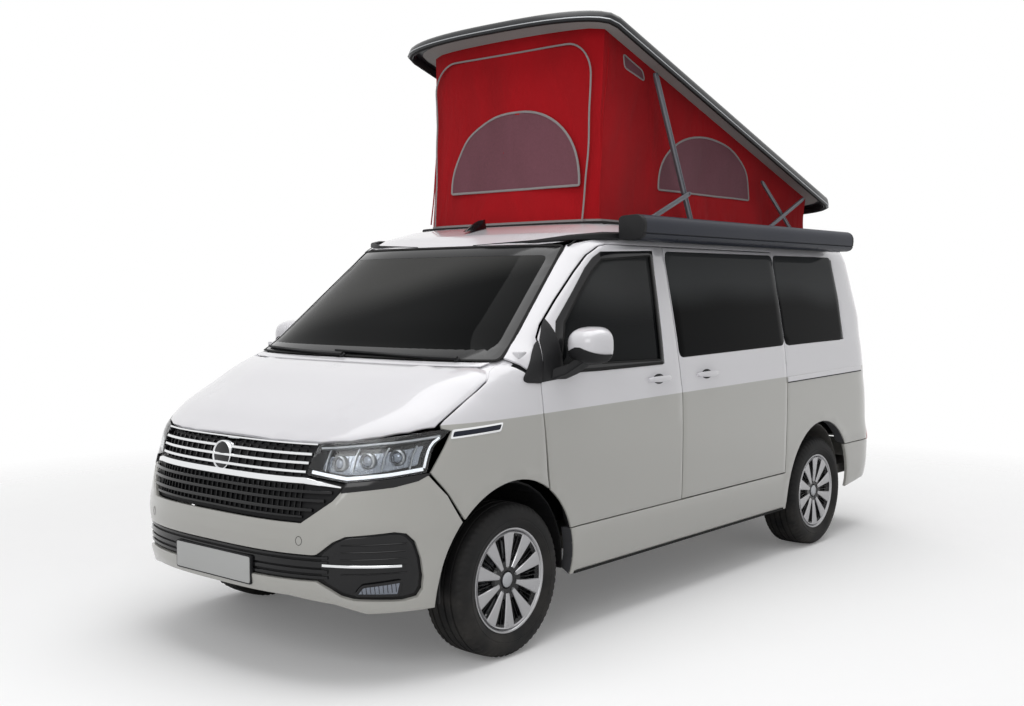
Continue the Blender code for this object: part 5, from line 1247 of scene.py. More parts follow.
def ridged(x, y):
    spot = onBonnet(x, y)
    line = np.interp(x, (bonnetShape["ridgeFrom"][0], bonnetShape["ridgeTo"][0]),
                     (bonnetShape["ridgeFrom"][1], bonnetShape["ridgeTo"][1]))
    t = min(max((line + 0.035 - abs(y)) / 0.07, 0), 1)
    fade = min(max((x + 2.345) / 0.12, 0), 1)
    spot.z += bonnetShape["ridge"] * t * t * (3 - 2 * t) * fade
    return spot


bonnetSide = [(-2.335, 0.271), (-2.316, 0.402), (-2.281, 0.527), (-2.220, 0.640), (-2.139, 0.728), (-2.049, 0.801),
              (-1.952, 0.856), (-1.905, 0.859), (-1.815, 0.861), (-1.705, 0.865), (-1.640, 0.865), (-1.603, 0.828)]
bonnetRear = [(noseX(y, 1.276), y) for y in (0.78, 0.70, 0.60, 0.45, 0.30, 0.15)]
half = bonnetSide + bonnetRear
bonnetLoop = [(x, -y) for x, y in half] + [(x, y) for x, y in reversed(half)]
skin("bonnetSkin", [bonnetLoop], deeper(ridged, (-0.5, 0, 1), -0.002), (-0.5, 0, 1), whitePaint, "bonnet", "bonnet",
     thick=0.013, step=0.035, roll=0.004)
inner = shrunk(bonnetLoop, 0.05)
web = deeper(onBonnet, (-0.5, 0, 1), 0.012)
skin("bonnetInnerFrame", [inner, [(-2.18, -0.30), (-1.78, -0.30), (-1.78, 0.30), (-2.18, 0.30)]], web, (-0.5, 0, 1),
     softBlack, "bonnet", thick=0.010, step=0.08)

# Windscreen

screenOut = (-1, 0, 0.5)
screenSide = [(screenHalf(z), z) for z in (1.304, 1.38, 1.45, 1.53, 1.60, 1.66, 1.72, 1.78, 1.834)]
screenLoop = both([(0.4, 1.304)] + screenSide + [(0.4, 1.834)])
skin("windscreenPane", [rounded(screenLoop, 0.02)], onScreen, screenOut, screenGlass, "chassis", "windscreen",
     thick=0.005, step=0.05, roll=0.001)
clear = both([(0.4, 1.352)] + [(screenHalf(z) - 0.045, z) for z in (1.352, 1.45, 1.53, 1.60, 1.66, 1.72, 1.785)]
             + [(0.4, 1.785)])
skin("screenBorder", [shrunk(rounded(screenLoop, 0.02), 0.0015), rounded(clear, 0.05)],
     deeper(onScreen, screenOut, -0.0006), screenOut, blackGloss, thick=0.0012, roll=0.0003)
trim("screenSeal", seamRubber, rounded(screenLoop, 0.02), onScreen, screenOut, 0.014, 0.0035)
skin("sensorBox", [rounded([(-0.11, 1.700), (0.11, 1.700), (0.07, 1.790), (-0.07, 1.790)], 0.02)],
     deeper(onScreen, screenOut, 0.007), screenOut, softBlack, thick=0.030, step=0.04, roll=0.004)
bm = bmesh.new()
mirrorSpot = onScreen(0, 1.70) + Vector((0.085, 0, -0.045))
rodInto(bm, onScreen(0, 1.73) + Vector((0.02, 0, 0)), mirrorSpot, 0.010)
boxInto(bm, mirrorSpot + Vector((-0.012, -0.115, -0.032)), mirrorSpot + Vector((0.012, 0.115, 0.032)), 0.008)
piece("cabMirror", bm, softBlack)

# Cowl and wipers
cowl = both([(0.40, 1.2815), (0.785, 1.2815), (0.800, 1.2965), (0.40, 1.2965)])
skin("cowlPanel", [cowl], deeper(onScreen, screenOut, -0.001), screenOut, whitePaint, thick=0.006, roll=0.002)
bm = bmesh.new()
for sign in (-1, 1):
    gusset = [(-1.640, sign * 0.800), (-1.640, sign * 0.868), (-1.560, sign * 0.880), (-1.470, sign * 0.872),
              (-1.470, sign * 0.700), (-1.560, sign * 0.700)]
    sheetInto(bm, [gusset], deeper(onBonnet, (-0.5, 0, 1), 0.010), (-0.5, 0, 1), 0.006, 0.03, 0.002)
    boxInto(bm, Vector((-1.446, min(sign * 0.885, sign * 0.845), 1.312)),
            Vector((-1.390, max(sign * 0.885, sign * 0.845), 1.342)), 0.006)
piece("cowlCorners", bm, whitePaint)
bm = bmesh.new()
for start, middle, end, blade in (((-0.66, 1.302), (-0.40, 1.306), (-0.16, 1.312), ((-0.46, 1.308), (0.12, 1.318))),
                                  ((0.04, 1.302), (0.30, 1.306), (0.52, 1.312), ((0.24, 1.308), (0.735, 1.318)))):
    arm = [start, middle, end]
    points, normals = alongSurface(arm, onScreen, screenOut, 0.010, 0.03, False)
    sweepInto(bm, points, normals, slab(0.014, 0.008), twist=lambda t: 1.3 - 0.6 * t)
    points, normals = alongSurface([blade[0], blade[1]], onScreen, screenOut, 0.004, 0.03, False)
    sweepInto(bm, points, normals, [(-0.003, 0.0), (0.003, 0.0), (0.006, 0.008), (0.002, 0.013), (-0.002, 0.013),
                                    (-0.006, 0.008)])
    hub = onScreen(*start)
    latheInto(bm, [(0.001, 0.0), (0.014, 0.0), (0.014, 0.010), (0.010, 0.014), (0.001, 0.014)], 20, hub, (-1, 0, 1.2),
              closed=True)
piece("frontWipers", bm, blackTrim)
print("bonnet and screen done")

# Tail

gateHeights = (0.580, 0.68, 0.80, 0.95, 1.10, 1.20, 1.30, 1.40, 1.50, 1.60, 1.70, 1.78, 1.850)
gateHalfLoop = [(gateHalf(z), z) for z in gateHeights]
gateLoop = both([(0.30, 0.580)] + gateHalfLoop + [(0.30, 1.850)])
gateOpening = both([(0.30, 1.255), (0.625, 1.262), (0.560, 1.720), (0.30, 1.735)])
rearOut = (1, 0, 0)
gateFace = deeper(onGate, rearOut, 0.0045)
band = both([(0.30, 1.222), (0.690, 1.232), (0.655, 1.50), (0.600, 1.755), (0.30, 1.772)])
skin("tailgateSkin", [gateLoop, rounded(shrunk(band, 0.008), 0.045, 6)], gateFace, rearOut, bodyPaint, "tailgate",
     "tailgate", thick=0.014, step=0.045, roll=0.003)
skin("tailgateLining", [shrunk(gateLoop, 0.020), rounded(gateOpening, 0.03)], deeper(gateFace, rearOut, 0.016),
     rearOut, softBlack, "tailgate", thick=0.030, step=0.08, roll=0.006)
skin("tailgatePane", [rounded(band, 0.05, 6)], deeper(gateFace, rearOut, -0.0003), rearOut, darkGlass, "tailgate",
     "tailgate_glass", thick=0.004, step=0.05, roll=0.001)
trim("tailgateGrip", whitePaint, [(-0.26, 0.985), (0.26, 0.985)], deeper(gateFace, rearOut, 0.004), rearOut, 0.040,
     0.010, "tailgate", closed=False)
recess = rounded([(-0.275, 0.815), (0.275, 0.815), (0.275, 0.960), (-0.275, 0.960)], 0.02)
trim("plateRecessLine", seamRubber, recess, deeper(gateFace, rearOut, 0.002), rearOut, 0.006, 0.0025, "tailgate")
plate = rounded([(-0.26, -0.0555), (0.26, -0.0555), (0.26, 0.0555), (-0.26, 0.0555)], 0.010)
skin("rearPlate", [plate], lambda y, z: gateFace(y, 0.886 + z) + Vector((0.0035, 0, 0)), rearOut, platePaint,
     "tailgate", thick=0.006, roll=0.001)
bm = bmesh.new()
for y in (-0.12, 0.12):
    trimInto(bm, [(y - 0.022, 0.966), (y + 0.022, 0.966)], gateFace, rearOut, 0.010, 0.003, closed=False)
piece("plateLights", bm, whiteLens, "tailgate")
bm = bmesh.new()
points, normals = alongSurface([(0.0, 1.205), (0.16, 1.225), (0.30, 1.245)], gateFace, rearOut, 0.006, 0.03, False)
sweepInto(bm, points, normals, slab(0.016, 0.008))
points, normals = alongSurface([(0.02, 1.262), (0.46, 1.300)], gateFace, rearOut, 0.002, 0.03, False)
sweepInto(bm, points, normals, slab(0.010, 0.009))
latheInto(bm, [(0.001, 0.0), (0.022, 0.0), (0.022, 0.008), (0.016, 0.012), (0.001, 0.012)], 24, gateFace(0, 1.203),
          rearOut, closed=True)
piece("rearWiper", bm, blackTrim, "tailgate")
trim("highBrakeLamp", redLens, [(-0.19, 1.795), (0.19, 1.795)], gateFace, rearOut, 0.018, 0.003, "tailgate",
     closed=False)
for sign, name in sides:
    rows = (0.6065, 0.65, 0.70, 0.75, 0.80, 0.85, 0.92, 1.00, 1.06, 1.100)
    loop = []
    for z in rows:
        y = gateHalf(z) + 0.006
        loop.append((sign * (y + ringAt(z)[4] - tailX(y, z)), z))
    for z in rows[::-1]:
        loop.append((sign * tailQ(sideLines["lampFront"], z), z))
    skin(name + "TailLens", [rounded(loop, 0.004, 1)], onTail, astern, redLens, "chassis", f"{name}_tail_lamp",
         thick=0.010, step=0.03, roll=0.003)
    qs = [abs(q) for q, z in loop]
    low, high = min(qs), max(qs)
    bm = bmesh.new()
    for z in (0.700, 0.790, 0.905, 1.010):
        trimInto(bm, [(sign * (low + 0.035), z), (sign * (high - 0.03), z)], onTail, astern, 0.0030, 0.0008,
                 closed=False, step=0.03)
    piece(name + "TailLensLines", bm, blackGloss)
    box = [(sign * (low + 0.040), 0.715), (sign * (high - 0.035), 0.715), (sign * (high - 0.035), 0.776),
           (sign * (low + 0.040), 0.776)]
    skin(name + "ReverseLens", [rounded(box, 0.008)], deeper(onTail, astern, -0.0006), astern, whiteLens,
         thick=0.002, step=0.03, roll=0.0005)

tailFace = deeper(onTail, astern, 0.0045)
lowEdge = [(0.30, 0.340), (0.60, 0.348), (0.90, 0.352), (1.25, 0.345)]
flank = []
for z in (0.315, 0.36, 0.40, 0.45, 0.50, 0.55, 0.606):
    flank.append((tailQ(archX(sideLines["rearAxle"], z, 1), z), z))
y = gateHalf(0.60) + 0.006
stepQ = y + ringAt(0.60)[4] - tailX(y, 0.60)
rearLoop = both(lowEdge + flank + [(stepQ, 0.606), (stepQ - 0.01, 0.574), (0.30, 0.574)])
skin("rearBumperSkin", [rearLoop], tailFace, astern, lowerPaint, "chassis", "rear_bumper", thick=0.018, step=0.04,
     roll=0.004)
bm = bmesh.new()
for z, reach in ((0.395, 0.98), (0.560, 0.70)):
    trimInto(bm, [(-reach, z), (reach, z)], tailFace, astern, 0.0035, 0.0004, closed=False)
piece("rearBumperLines", bm, seamRubber)
for sign, name in sides:
    glint = [(sign * 0.66, 0.420), (sign * 0.98, 0.420), (sign * 0.98, 0.452), (sign * 0.66, 0.452)]
    skin(name + "RearReflector", [rounded(glint, 0.010)], deeper(onTail, astern, 0.0040), astern, redLens,
         thick=0.003, step=0.04, roll=0.001)
print("tail done")

# Roof skin

roof = {"z": 1.900, "crown": 0.065, "wall": 0.022, "opening": (-0.500, 1.930, 0.600, 0.06),
        "pivot": (2.478, 2.000), "angle": 17.8}


def loopOf(ring, height, corners=25, middle=12):
    w, xf, lf, nf, xr, lr, nr = ring
    points = []
    for i in range(corners):
        y, depth = wrapped((w + lf) * (1 - 2 * i / (corners - 1)), w, lf, nf)
        points.append((xf + depth, y))
    for i in range(1, middle):
        points.append((xf + lf + (xr - lr - xf - lf) * i / middle, -w))
    for i in range(corners):
        y, depth = wrapped(-(w + lr) * (1 - 2 * i / (corners - 1)), w, lr, nr)
        points.append((xr - depth, y))
    for i in range(1, middle):
        points.append((xr - lr - (xr - lr - xf - lf) * i / middle, w))
    return [Vector((x, y, height)) for x, y in points]


def smaller(ring, amount):
    w, xf, lf, nf, xr, lr, nr = ring
    return (w - amount, xf + amount, lf, nf, xr - amount, lr, nr)


def mixed(first, second, share):
    return tuple(a + (b - a) * share for a, b in zip(first, second))


def roofBaseZ(x):
    return float(np.interp(x, (-0.870, -0.790, -0.700, 2.120, 2.190), (1.842, 1.864, 1.8725, 1.8725, 1.858)))


def baseLoop(inward):
    rough = loopOf(smaller(ringAt(1.872), inward), 0.0)
    return [loopOf(smaller(ringAt(roofBaseZ(p.x)), inward), roofBaseZ(p.x))[i] for i, p in enumerate(rough)]


def openingRing(inward=0.0):
    front, rear, half, length = roof["opening"]
    return (half - inward, front + inward, length, 2.2, rear - inward, length, 2.2)


def raised(points):
    angle = math.radians(roof["angle"])
    px, pz = roof["pivot"]
    return [Vector((px + (p.x - px) * math.cos(angle) + (p.z - pz) * math.sin(angle), p.y,
                    pz - (p.x - px) * math.sin(angle) + (p.z - pz) * math.cos(angle))) for p in points]


edge, hole = ringAt(roof["z"]), openingRing()
outer = [baseLoop(0.0)]
for t in (0.25, 0.5, 0.75):
    outer.append([a.lerp(b, t) for a, b in zip(baseLoop(0.0), loopOf(edge, roof["z"]))])
inner = [baseLoop(roof["wall"]), loopOf(smaller(edge, roof["wall"]), roof["z"] - roof["wall"])]
for share in (0.0, 0.03, 0.08, 0.16, 0.26, 0.35, 0.46, 0.58, 0.70, 0.80, 0.90, 1.0):
    z = roof["z"] + roof["crown"] * math.sin(share * math.pi / 2)
    outer.append(loopOf(mixed(edge, hole, share), z))
for share in (0.35, 0.70, 1.0):
    z = roof["z"] + roof["crown"] * math.sin(share * math.pi / 2)
    inner.append(loopOf(mixed(smaller(edge, roof["wall"]), hole, share), z - roof["wall"]))
bm = bmesh.new()
rows = [[bm.verts.new(p) for p in loop] for loop in outer + inner[::-1]]
for first, second in zip(rows, rows[1:] + rows[:1]):
    bridge(bm, first, second)
piece("roofSkin", bm, whitePaint, "chassis", "roof_skin", sharp=40)

bm = bmesh.new()
ledge = [Vector((p.x, p.y, roof["z"] + roof["crown"] - 0.001)) for p in loopOf(smaller(openingRing(), -0.045), 0)]
for i, p in enumerate(ledge):  # rubber seat of the closed roof
    p.z = roof["z"] + roof["crown"] * math.sin(0.86 * math.pi / 2) + 0.001
sweepInto(bm, ledge, (0, 0, 1), [(-0.010, -0.004), (0.010, -0.004), (0.008, 0.006), (0.0, 0.009), (-0.008, 0.006)],
          closed=True)
piece("roofSeatSeal", bm, seamRubber)
bm = bmesh.new()
aerial = []
for t in np.linspace(0, 1, 13):  # low fin ahead of the opening
    x = -0.835 + 0.165 * t
    tall = 0.052 * math.sin(min(t * 1.25, 1) * math.pi / 2) ** 1.2
    wide = 0.024 * (1 - (2 * t - 1) ** 4) ** 0.5 + 0.003
    base = 1.9255 + 0.020 * t
    aerial.append([Vector((x, wide * math.cos(a), base + tall * (math.sin(a) if math.sin(a) > 0 else 0.12
                   * math.sin(a)))) for a in np.linspace(0, math.tau, 17)[:-1]])
loftInto(bm, aerial)
piece("roofAerial", bm, blackGloss)

# Raised shell

shell = {"front": -0.790, "rear": 2.075, "half": 0.742, "rim": 2.004, "height": 0.098, "skirt": 0.036,
         "wall": 0.016}


def shellRing(inward):
    return (shell["half"] - inward, shell["front"] + inward, 0.16, 2.6, shell["rear"] - inward, 0.16, 2.6)


rim, top = shell["rim"], shell["rim"] + shell["height"]
outer = ((0.006, rim), (0.0015, rim + 0.006), (0.000, rim + 0.020), (0.001, rim + 0.034), (0.004, rim + 0.046),
         (0.010, rim + 0.055), (0.020, rim + 0.062), (0.040, rim + 0.068), (0.090, top - 0.020),
         (0.160, top - 0.011), (0.300, top - 0.004), (0.450, top - 0.001), (0.600, top))
inner = ((shell["wall"] + 0.006, rim), (shell["wall"] + 0.010, rim + shell["skirt"]))
bm = bmesh.new()
loftInto(bm, [raised(loopOf(shellRing(inward), z)) for inward, z in inner[::-1] + outer])
piece("roofShell", bm, shellGloss, "pop_roof", "roof_shell", sharp=40)
bm = bmesh.new()
line = raised(loopOf(shellRing(-0.0004), rim + 0.012))
normals = []
for i, p in enumerate(line):
    along = (line[(i + 1) % len(line)] - line[i - 1]).normalized()
    n = along.cross(raised([Vector((0, 0, 1))])[0] - raised([Vector((0, 0, 0))])[0]).normalized()
    normals.append(n if n.dot(p - Vector((0.7, 0, p.z))) > 0 else -n)
sweepInto(bm, line, normals, slab(0.006, 0.0012, 0.0004), closed=True)
piece("shellEdgeLine", bm, satinSteel, "pop_roof")
bm = bmesh.new()
lip = raised(loopOf(shellRing(0.014), rim + 0.002))
sweepInto(bm, lip, tuple(raised([Vector((0, 0, 0))])[0] - raised([Vector((0, 0, 1))])[0]),
          [(-0.007, -0.004), (0.007, -0.004), (0.006, 0.005), (-0.006, 0.005)], closed=True)
piece("shellRimSeal", bm, seamRubber, "pop_roof")
bm = bmesh.new()
ceiling = raised(loopOf(shellRing(0.060), rim + shell["skirt"] - 0.0015))
rows = [ceiling, raised(loopOf(shellRing(0.20), rim + shell["skirt"] - 0.004)),
        raised(loopOf(shellRing(0.20), rim + shell["skirt"] + 0.002)),
        raised(loopOf(shellRing(0.058), rim + shell["skirt"] + 0.002))]
loftInto(bm, rows)
piece("shellLining", bm, headlining, "pop_roof")
print("roof and shell done")

# Tent between roof and shell

tent = {"base": 1.9653, "top": (0.607, -0.632, 1.911), "squash": 0.07, "sag": 0.020}
baseRing = smaller(openingRing(), -0.006)
topRing = (tent["top"][0], tent["top"][1], 0.06, 2.2, tent["top"][2], 0.06, 2.2)
baseRow = loopOf(baseRing, tent["base"], 13, 40)
topRow = raised(loopOf(topRing, rim + shell["skirt"] - 0.0003, 13, 40))


lowFront, highFront = min(baseRow, key=lambda p: p.x), min(topRow, key=lambda p: p.x)


def wallTop(x):
    angle = math.radians(roof["angle"])
    px, pz = roof["pivot"]
    return pz + (px - x) * math.tan(angle) + (rim + shell["skirt"] - 0.0003 - pz) / math.cos(angle)


def slack(t, tall, a, b):
    # How far the cloth lies in from its taut line: sag, plus slow ripples.
    swell = math.sin(math.pi * min(max(t, 0), 1)) * min(tall / 0.6, 1)
    return swell * (tent["sag"] + 0.006 * math.sin(9 * a + 2) + 0.0035 * math.sin(21 * a - 17 * b + 3))


def wallSlack(x, z):
    tall = wallTop(x) - tent["base"]
    return slack((z - tent["base"]) / max(tall, 0.05), tall, x, z)


def frontSlack(y, z):
    tall = highFront.z - tent["base"]
    return slack((z - tent["base"]) / tall, tall, y, z)


def tentPoint(i, t, depth=0.0):
    # A spot on the fabric: i round the loop, t up from the base.
    spot = baseRow[i].lerp(topRow[i], t)
    sideways = min(max((abs(spot.y) - 0.560) / 0.045, 0), 1)
    spot.y -= math.copysign(sideways * (wallSlack(spot.x, spot.z) + depth), spot.y)
    if spot.x < 0.5:
        spot.x += (1 - sideways) * (frontSlack(spot.y, spot.z) + depth)
    else:
        spot.x -= (1 - sideways) * depth
    return spot


def wallPoint(x, z, sign, height=0.0):
    # The same fabric found by x and z on a side wall.
    return Vector((x, sign * (0.6062 - wallSlack(x, z) + height), z))


def frontPoint(y, z, height=0.0):
    # The fabric's front face found by y and z.
    t = (z - tent["base"]) / (highFront.z - tent["base"])
    return Vector((lowFront.x + (highFront.x - lowFront.x) * t + frontSlack(y, z) - height, y, z))


count, levels = len(baseRow), 34
bm = bmesh.new()
for depth in (0.0, 0.003):
    rows = []
    for k in range(levels + 1):
        rows.append([bm.verts.new(tentPoint(i, k / levels, depth)) for i in range(count)])
    for first, second in zip(rows, rows[1:]):
        bridge(bm, first, second)
bm.verts.ensure_lookup_table()
per = count * (levels + 1)
for base in (0, count * levels):
    bridge(bm, bm.verts[base:base + count], bm.verts[per + base:per + base + count])
tentPiece = piece("tentFabric", bm, canvasRed, "chassis", "tent", sharp=60)


def soften(obj):
    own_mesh(obj)
    return obj


def meshPatch(name, loop, onWall, step=0.04):
    # A sewn-in window: two thin faces just proud of the cloth.
    loop = dense(list(loop), step)
    points, triangles = filled([loop], step)
    bm = bmesh.new()
    upper = [bm.verts.new(onWall(a, b, 0.0024)) for a, b in points]
    lower = [bm.verts.new(onWall(a, b, 0.0004)) for a, b in points]
    for tri in triangles:
        bm.faces.new([upper[v] for v in tri])
        bm.faces.new([lower[v] for v in reversed(tri)])
    bridge(bm, upper[:len(loop)], lower[:len(loop)])
    return soften(piece(name, bm, meshCloth, sharp=60))


def piping(name, loop, onWall, radius=0.0045, closed=True, ownFinish=None):
    line = []
    loop = list(loop)
    pairs = zip(loop, loop[1:] + loop[:1]) if closed else zip(loop, loop[1:])
    for a, b in pairs:
        number = max(1, math.ceil(math.dist(a, b) / 0.03))
        line += [onWall(a[0] + (b[0] - a[0]) * k / number, a[1] + (b[1] - a[1]) * k / number, 0.0022)
                 for k in range(number)]
    if not closed:
        line.append(onWall(*loop[-1], 0.0022))
    bm = bmesh.new()
    up = onWall(loop[0][0], loop[0][1], 0.02) - onWall(loop[0][0], loop[0][1], 0.0)
    sweepInto(bm, line, tuple(up), [(-radius * 1.5, -0.001), (radius * 1.5, -0.001), (radius, radius * 0.8),
                                    (-radius, radius * 0.8)], closed)
    return soften(piece(name, bm, ownFinish or greyPiping, sharp=50, slot="red_canvas"))


soften(tentPiece)
arch = rounded([(-0.045 + 0.455 * math.copysign(abs(math.cos(a)) ** 0.92, math.cos(a)),
                 2.165 + 0.425 * math.sin(a) ** 0.92)
                for a in np.linspace(0, math.pi, 33)], 0.012)
meshPatch("tentFrontMesh", arch, frontPoint)
piping("tentFrontPiping", arch, frontPoint)
bend = [(0.40 + 0.155 * math.cos(a), 2.745 + 0.165 * math.sin(a)) for a in np.linspace(0, math.pi / 2, 11)]
zipLine = [(-0.530, 1.974), (-0.545, 2.30), *[(-y, z) for y, z in bend], *bend[::-1], (0.545, 2.30), (0.530, 1.974)]
piping("tentFrontZip", zipLine, frontPoint, 0.0035, False)
for sign, name in sides:
    onWall = lambda x, z, height, sign=sign: wallPoint(x, z, sign, height)
    dome = [(0.630 + 0.515 * math.cos(a), 2.175 + 0.335 * math.sin(a) ** 0.85) for a in np.linspace(0, math.pi, 25)]
    window = rounded(dome, 0.014)
    meshPatch(name + "TentMesh", window, onWall)
    piping(name + "TentPiping", window, onWall, 0.004)
    vent = rounded([(-0.245, 2.868), (-0.060, 2.805), (-0.035, 2.752), (-0.225, 2.800)], 0.022, 4)
    meshPatch(name + "TentVent", vent, onWall, 0.03)
    piping(name + "TentVentPiping", vent, onWall, 0.003)
    seam = [(-0.462, 2.00), (-0.372, 2.88)]
    piping(name + "TentSeam", seam, onWall, 0.003, False, canvasRed)
hemLine = [tentPoint(i, 0.012, -0.0022) for i in range(count)]
bm = bmesh.new()
sweepInto(bm, hemLine, (0, 0, 1), [(-0.003, -0.008), (0.003, -0.008), (0.003, 0.010), (-0.003, 0.010)], closed=True)
soften(piece("tentHem", bm, greyPiping))
print("tent done")

# Awning cassette

awning = {"x": (-0.630, 1.795), "z": (1.862, 1.990), "out": 1.000, "inner": ringAt(1.900)[0] + 0.055}
low, high = awning["z"]
inner, reach = awning["inner"], awning["out"]
section = [(-inner, low + 0.012), (-inner, high - 0.020), (-inner - 0.012, high - 0.008),
           (-inner - 0.030, high - 0.004), (-reach + 0.060, high - 0.0008), (-reach + 0.038, high - 0.0024),
           (-reach + 0.020, high - 0.011), (-reach + 0.008, high - 0.024), (-reach + 0.0015, high - 0.042),
           (-reach + 0.0005, high - 0.062), (-reach + 0.0035, low + 0.036), (-reach + 0.0075, low + 0.033),
           (-reach + 0.0055, low + 0.028), (-reach + 0.012, low + 0.016), (-reach + 0.024, low + 0.006),
           (-reach + 0.045, low + 0.0006), (-inner - 0.020, low + 0.0006)]
bm = bmesh.new()
rear = awning["x"][1]
loftInto(bm, [[Vector((x, y, z)) for y, z in section]
              for x in (awning["x"][0] + 0.028, awning["x"][0] + 0.6, rear - 0.6, rear - 0.028)])
piece("awningCassette", bm, anthracite, "chassis", "awning_cassette")
bm = bmesh.new()
centreY, centreZ = (-inner - reach) / 2, (low + high) / 2
for end, way in ((awning["x"][0], 1), (awning["x"][1], -1)):
    rows = []
    for shift, scale in ((0.0, 0.90), (0.0015, 0.955), (0.006, 0.985), (0.014, 0.998), (0.032, 0.998)):
        rows.append([Vector((end + way * shift, centreY + (y - centreY) * scale, centreZ + (z - centreZ) * scale))
                     for y, z in section])
    loftInto(bm, rows)
piece("awningEndCaps", bm, softBlack)
bm = bmesh.new()
for x in (-0.45, 0.45, 1.35):
    boxInto(bm, (x - 0.035, -inner - 0.006, 1.876), (x + 0.035, -sideY(x, 1.885) - 0.004, 1.922), 0.004)
    rodInto(bm, (x, -inner - 0.004, 1.930), (x, -inner + 0.004, 1.930), 0.008)
piece("awningBrackets", bm, softBlack)
bm = bmesh.new()
slotLine = [Vector((x, -reach + 0.0035, low + 0.0345)) for x in np.linspace(awning["x"][0] + 0.03,
                                                                            awning["x"][1] - 0.03, 12)]
sweepInto(bm, slotLine, (0, -1, -0.3), [(-0.0012, -0.001), (0.0012, -0.001), (0.0012, 0.0006), (-0.0012, 0.0006)])
for x in (-0.30, 0.60, 1.30):
    latheInto(bm, [(0.001, 0.0), (0.006, 0.0), (0.006, 0.0012), (0.001, 0.002)], 14,
              (x, -reach + 0.018, low + 0.012), (0, -1, -1), closed=True)
piece("awningSlot", bm, seamRubber)

# Tapered rail from the top of the pillar to the awning
for sign, name in sides:
    bm = bmesh.new()
    rows = []
    for x, tall, wide in ((-0.985, 0.004, 0.004), (-0.93, 0.016, 0.010), (-0.84, 0.030, 0.020), (-0.70, 0.040, 0.028),
                          (-0.45, 0.042, 0.030), (0.60, 0.042, 0.030), (1.60, 0.040, 0.028), (1.72, 0.024, 0.016),
                          (1.78, 0.006, 0.006)):
        base = float(np.interp(x, (-0.985, -0.84, -0.6, 0.4), (1.842, 1.858, 1.868, 1.870)))
        footY = sideY(x, base) + 0.0008
        rows.append([Vector((x, sign * (footY + wide * a), base + tall * b))
                     for a, b in ((0, 0), (0.6, 0.02), (0.95, 0.18), (1.0, 0.45), (0.85, 0.80), (0.5, 0.97),
                                  (0.1, 1.0), (-0.5, 0.9))])
    loftInto(bm, rows)
    piece(name + "RoofRail", bm, blackTrim)

# Roof lift arms

armRows = (("lift_strut", "lift_struts", 0.345, 1.995, 0.668, 0.012, 0.880, 115.5, -1, 0.0185),
           ("lift_stay", "lift_stays", -0.160, 1.982, 0.698, 0.008, 0.480, 22.0, 1, 0.0135),
           ("cross_arm", "cross_arms", 1.596, 1.990, 0.665, 0.009, 0.520, 144.5, -1, 0.0115),
           ("brace_arm", "brace_arms", 1.180, 1.984, 0.690, 0.009, 0.570, 24.0, 1, 0.0115))
roofZ = roof["z"]
for sign, name in sides:
    bm = bmesh.new()
    for label, body, x, z, y, radius, length, angle, outside, broad in armRows:
        start = Vector((x, sign * y, z))
        way = Vector((math.cos(math.radians(angle)), 0, math.sin(math.radians(angle))))
        arm = bmesh.new()
        # Pressed bar with rolled edges and a shallow groove along its face
        thin = radius * 0.70
        widthways = Vector((-way.z, 0, way.x))
        rows = []
        for t, scale in ((-0.010, 0.55), (0.0, 0.8), (0.03, 1.0), (length * 0.5, 1.0), (length - 0.04, 1.0),
                         (length - 0.012, 0.85), (length - 0.001, 0.5)):
            rows.append([start + way * t + widthways * (broad * scale * a) + Vector((0, b * thin, 0))
                         for a, b in ((-1, -0.7), (-0.9, -1), (-0.55, -1), (-0.45, -0.6), (0.45, -0.6), (0.55, -1),
                                      (0.9, -1), (1, -0.7), (1, 0.7), (0.9, 1), (0.55, 1), (0.45, 0.6), (-0.45, 0.6),
                                      (-0.55, 1), (-0.9, 1), (-1, 0.7))])
        loftInto(arm, rows)
        latheInto(arm, [(0.001, -radius - 0.0008), (radius * 1.1, -radius - 0.0008), (radius * 1.25, -radius + 0.001),
                        (radius * 1.25, radius - 0.001), (radius * 1.1, radius + 0.0008), (0.001, radius + 0.0008)],
                  24, start, (0, 1, 0), closed=True)
        tip = start + way * (length - 0.006)
        latheInto(arm, [(0.001, -radius * 0.7), (radius * 0.9, -radius * 0.7), (radius * 0.9, radius * 0.7),
                        (0.001, radius * 0.7)], 18, tip - way * 0.004, (0, 1, 0), closed=True)
        piece(f"{name}_{label}_arm", arm, armSteel, body, f"{name}_{label}")
        if outside > 0:
            ys = (y + radius + 0.0014, y + radius + 0.0155)
        else:
            ys = (y - radius - 0.0155, y - radius - 0.0014)
        ys = sorted((sign * ys[0], sign * ys[1]))
        boxInto(bm, (x - 0.017, ys[0], roofZ - 0.001), (x + 0.017, ys[1], z + 0.0095), 0.003)
        boxInto(bm, (x - 0.034, ys[0] - 0.004, roofZ + 0.028), (x + 0.034, ys[1] + 0.004, roofZ + 0.036), 0.002)
        for dx in (-0.026, 0.026):
            rodInto(bm, (x + dx, sum(ys) / 2, roofZ + 0.030), (x + dx, sum(ys) / 2, roofZ + 0.0405), 0.0045, 6)
        end = ys[0] if sign * outside < 0 else ys[1]
        rodInto(bm, (x, sum(ys) / 2, z), (x, end + math.copysign(0.004, end) * outside, z), 0.006, 12)
    piece(name + "ArmBrackets", bm, greyCast)
print("awning and arms done")

# Wheels

wheel = {"radius": 0.342, "width": 0.235, "rim": 0.232, "rimWidth": 0.205, "face": 0.086, "spokes": 10,
         "blocks": 62, "grooves": (-0.058, -0.020, 0.020, 0.058)}
wheelSpots = {"front_left": (-1.544, -0.814), "front_right": (-1.544, 0.814), "rear_left": (1.456, -0.814),
              "rear_right": (1.456, 0.814)}


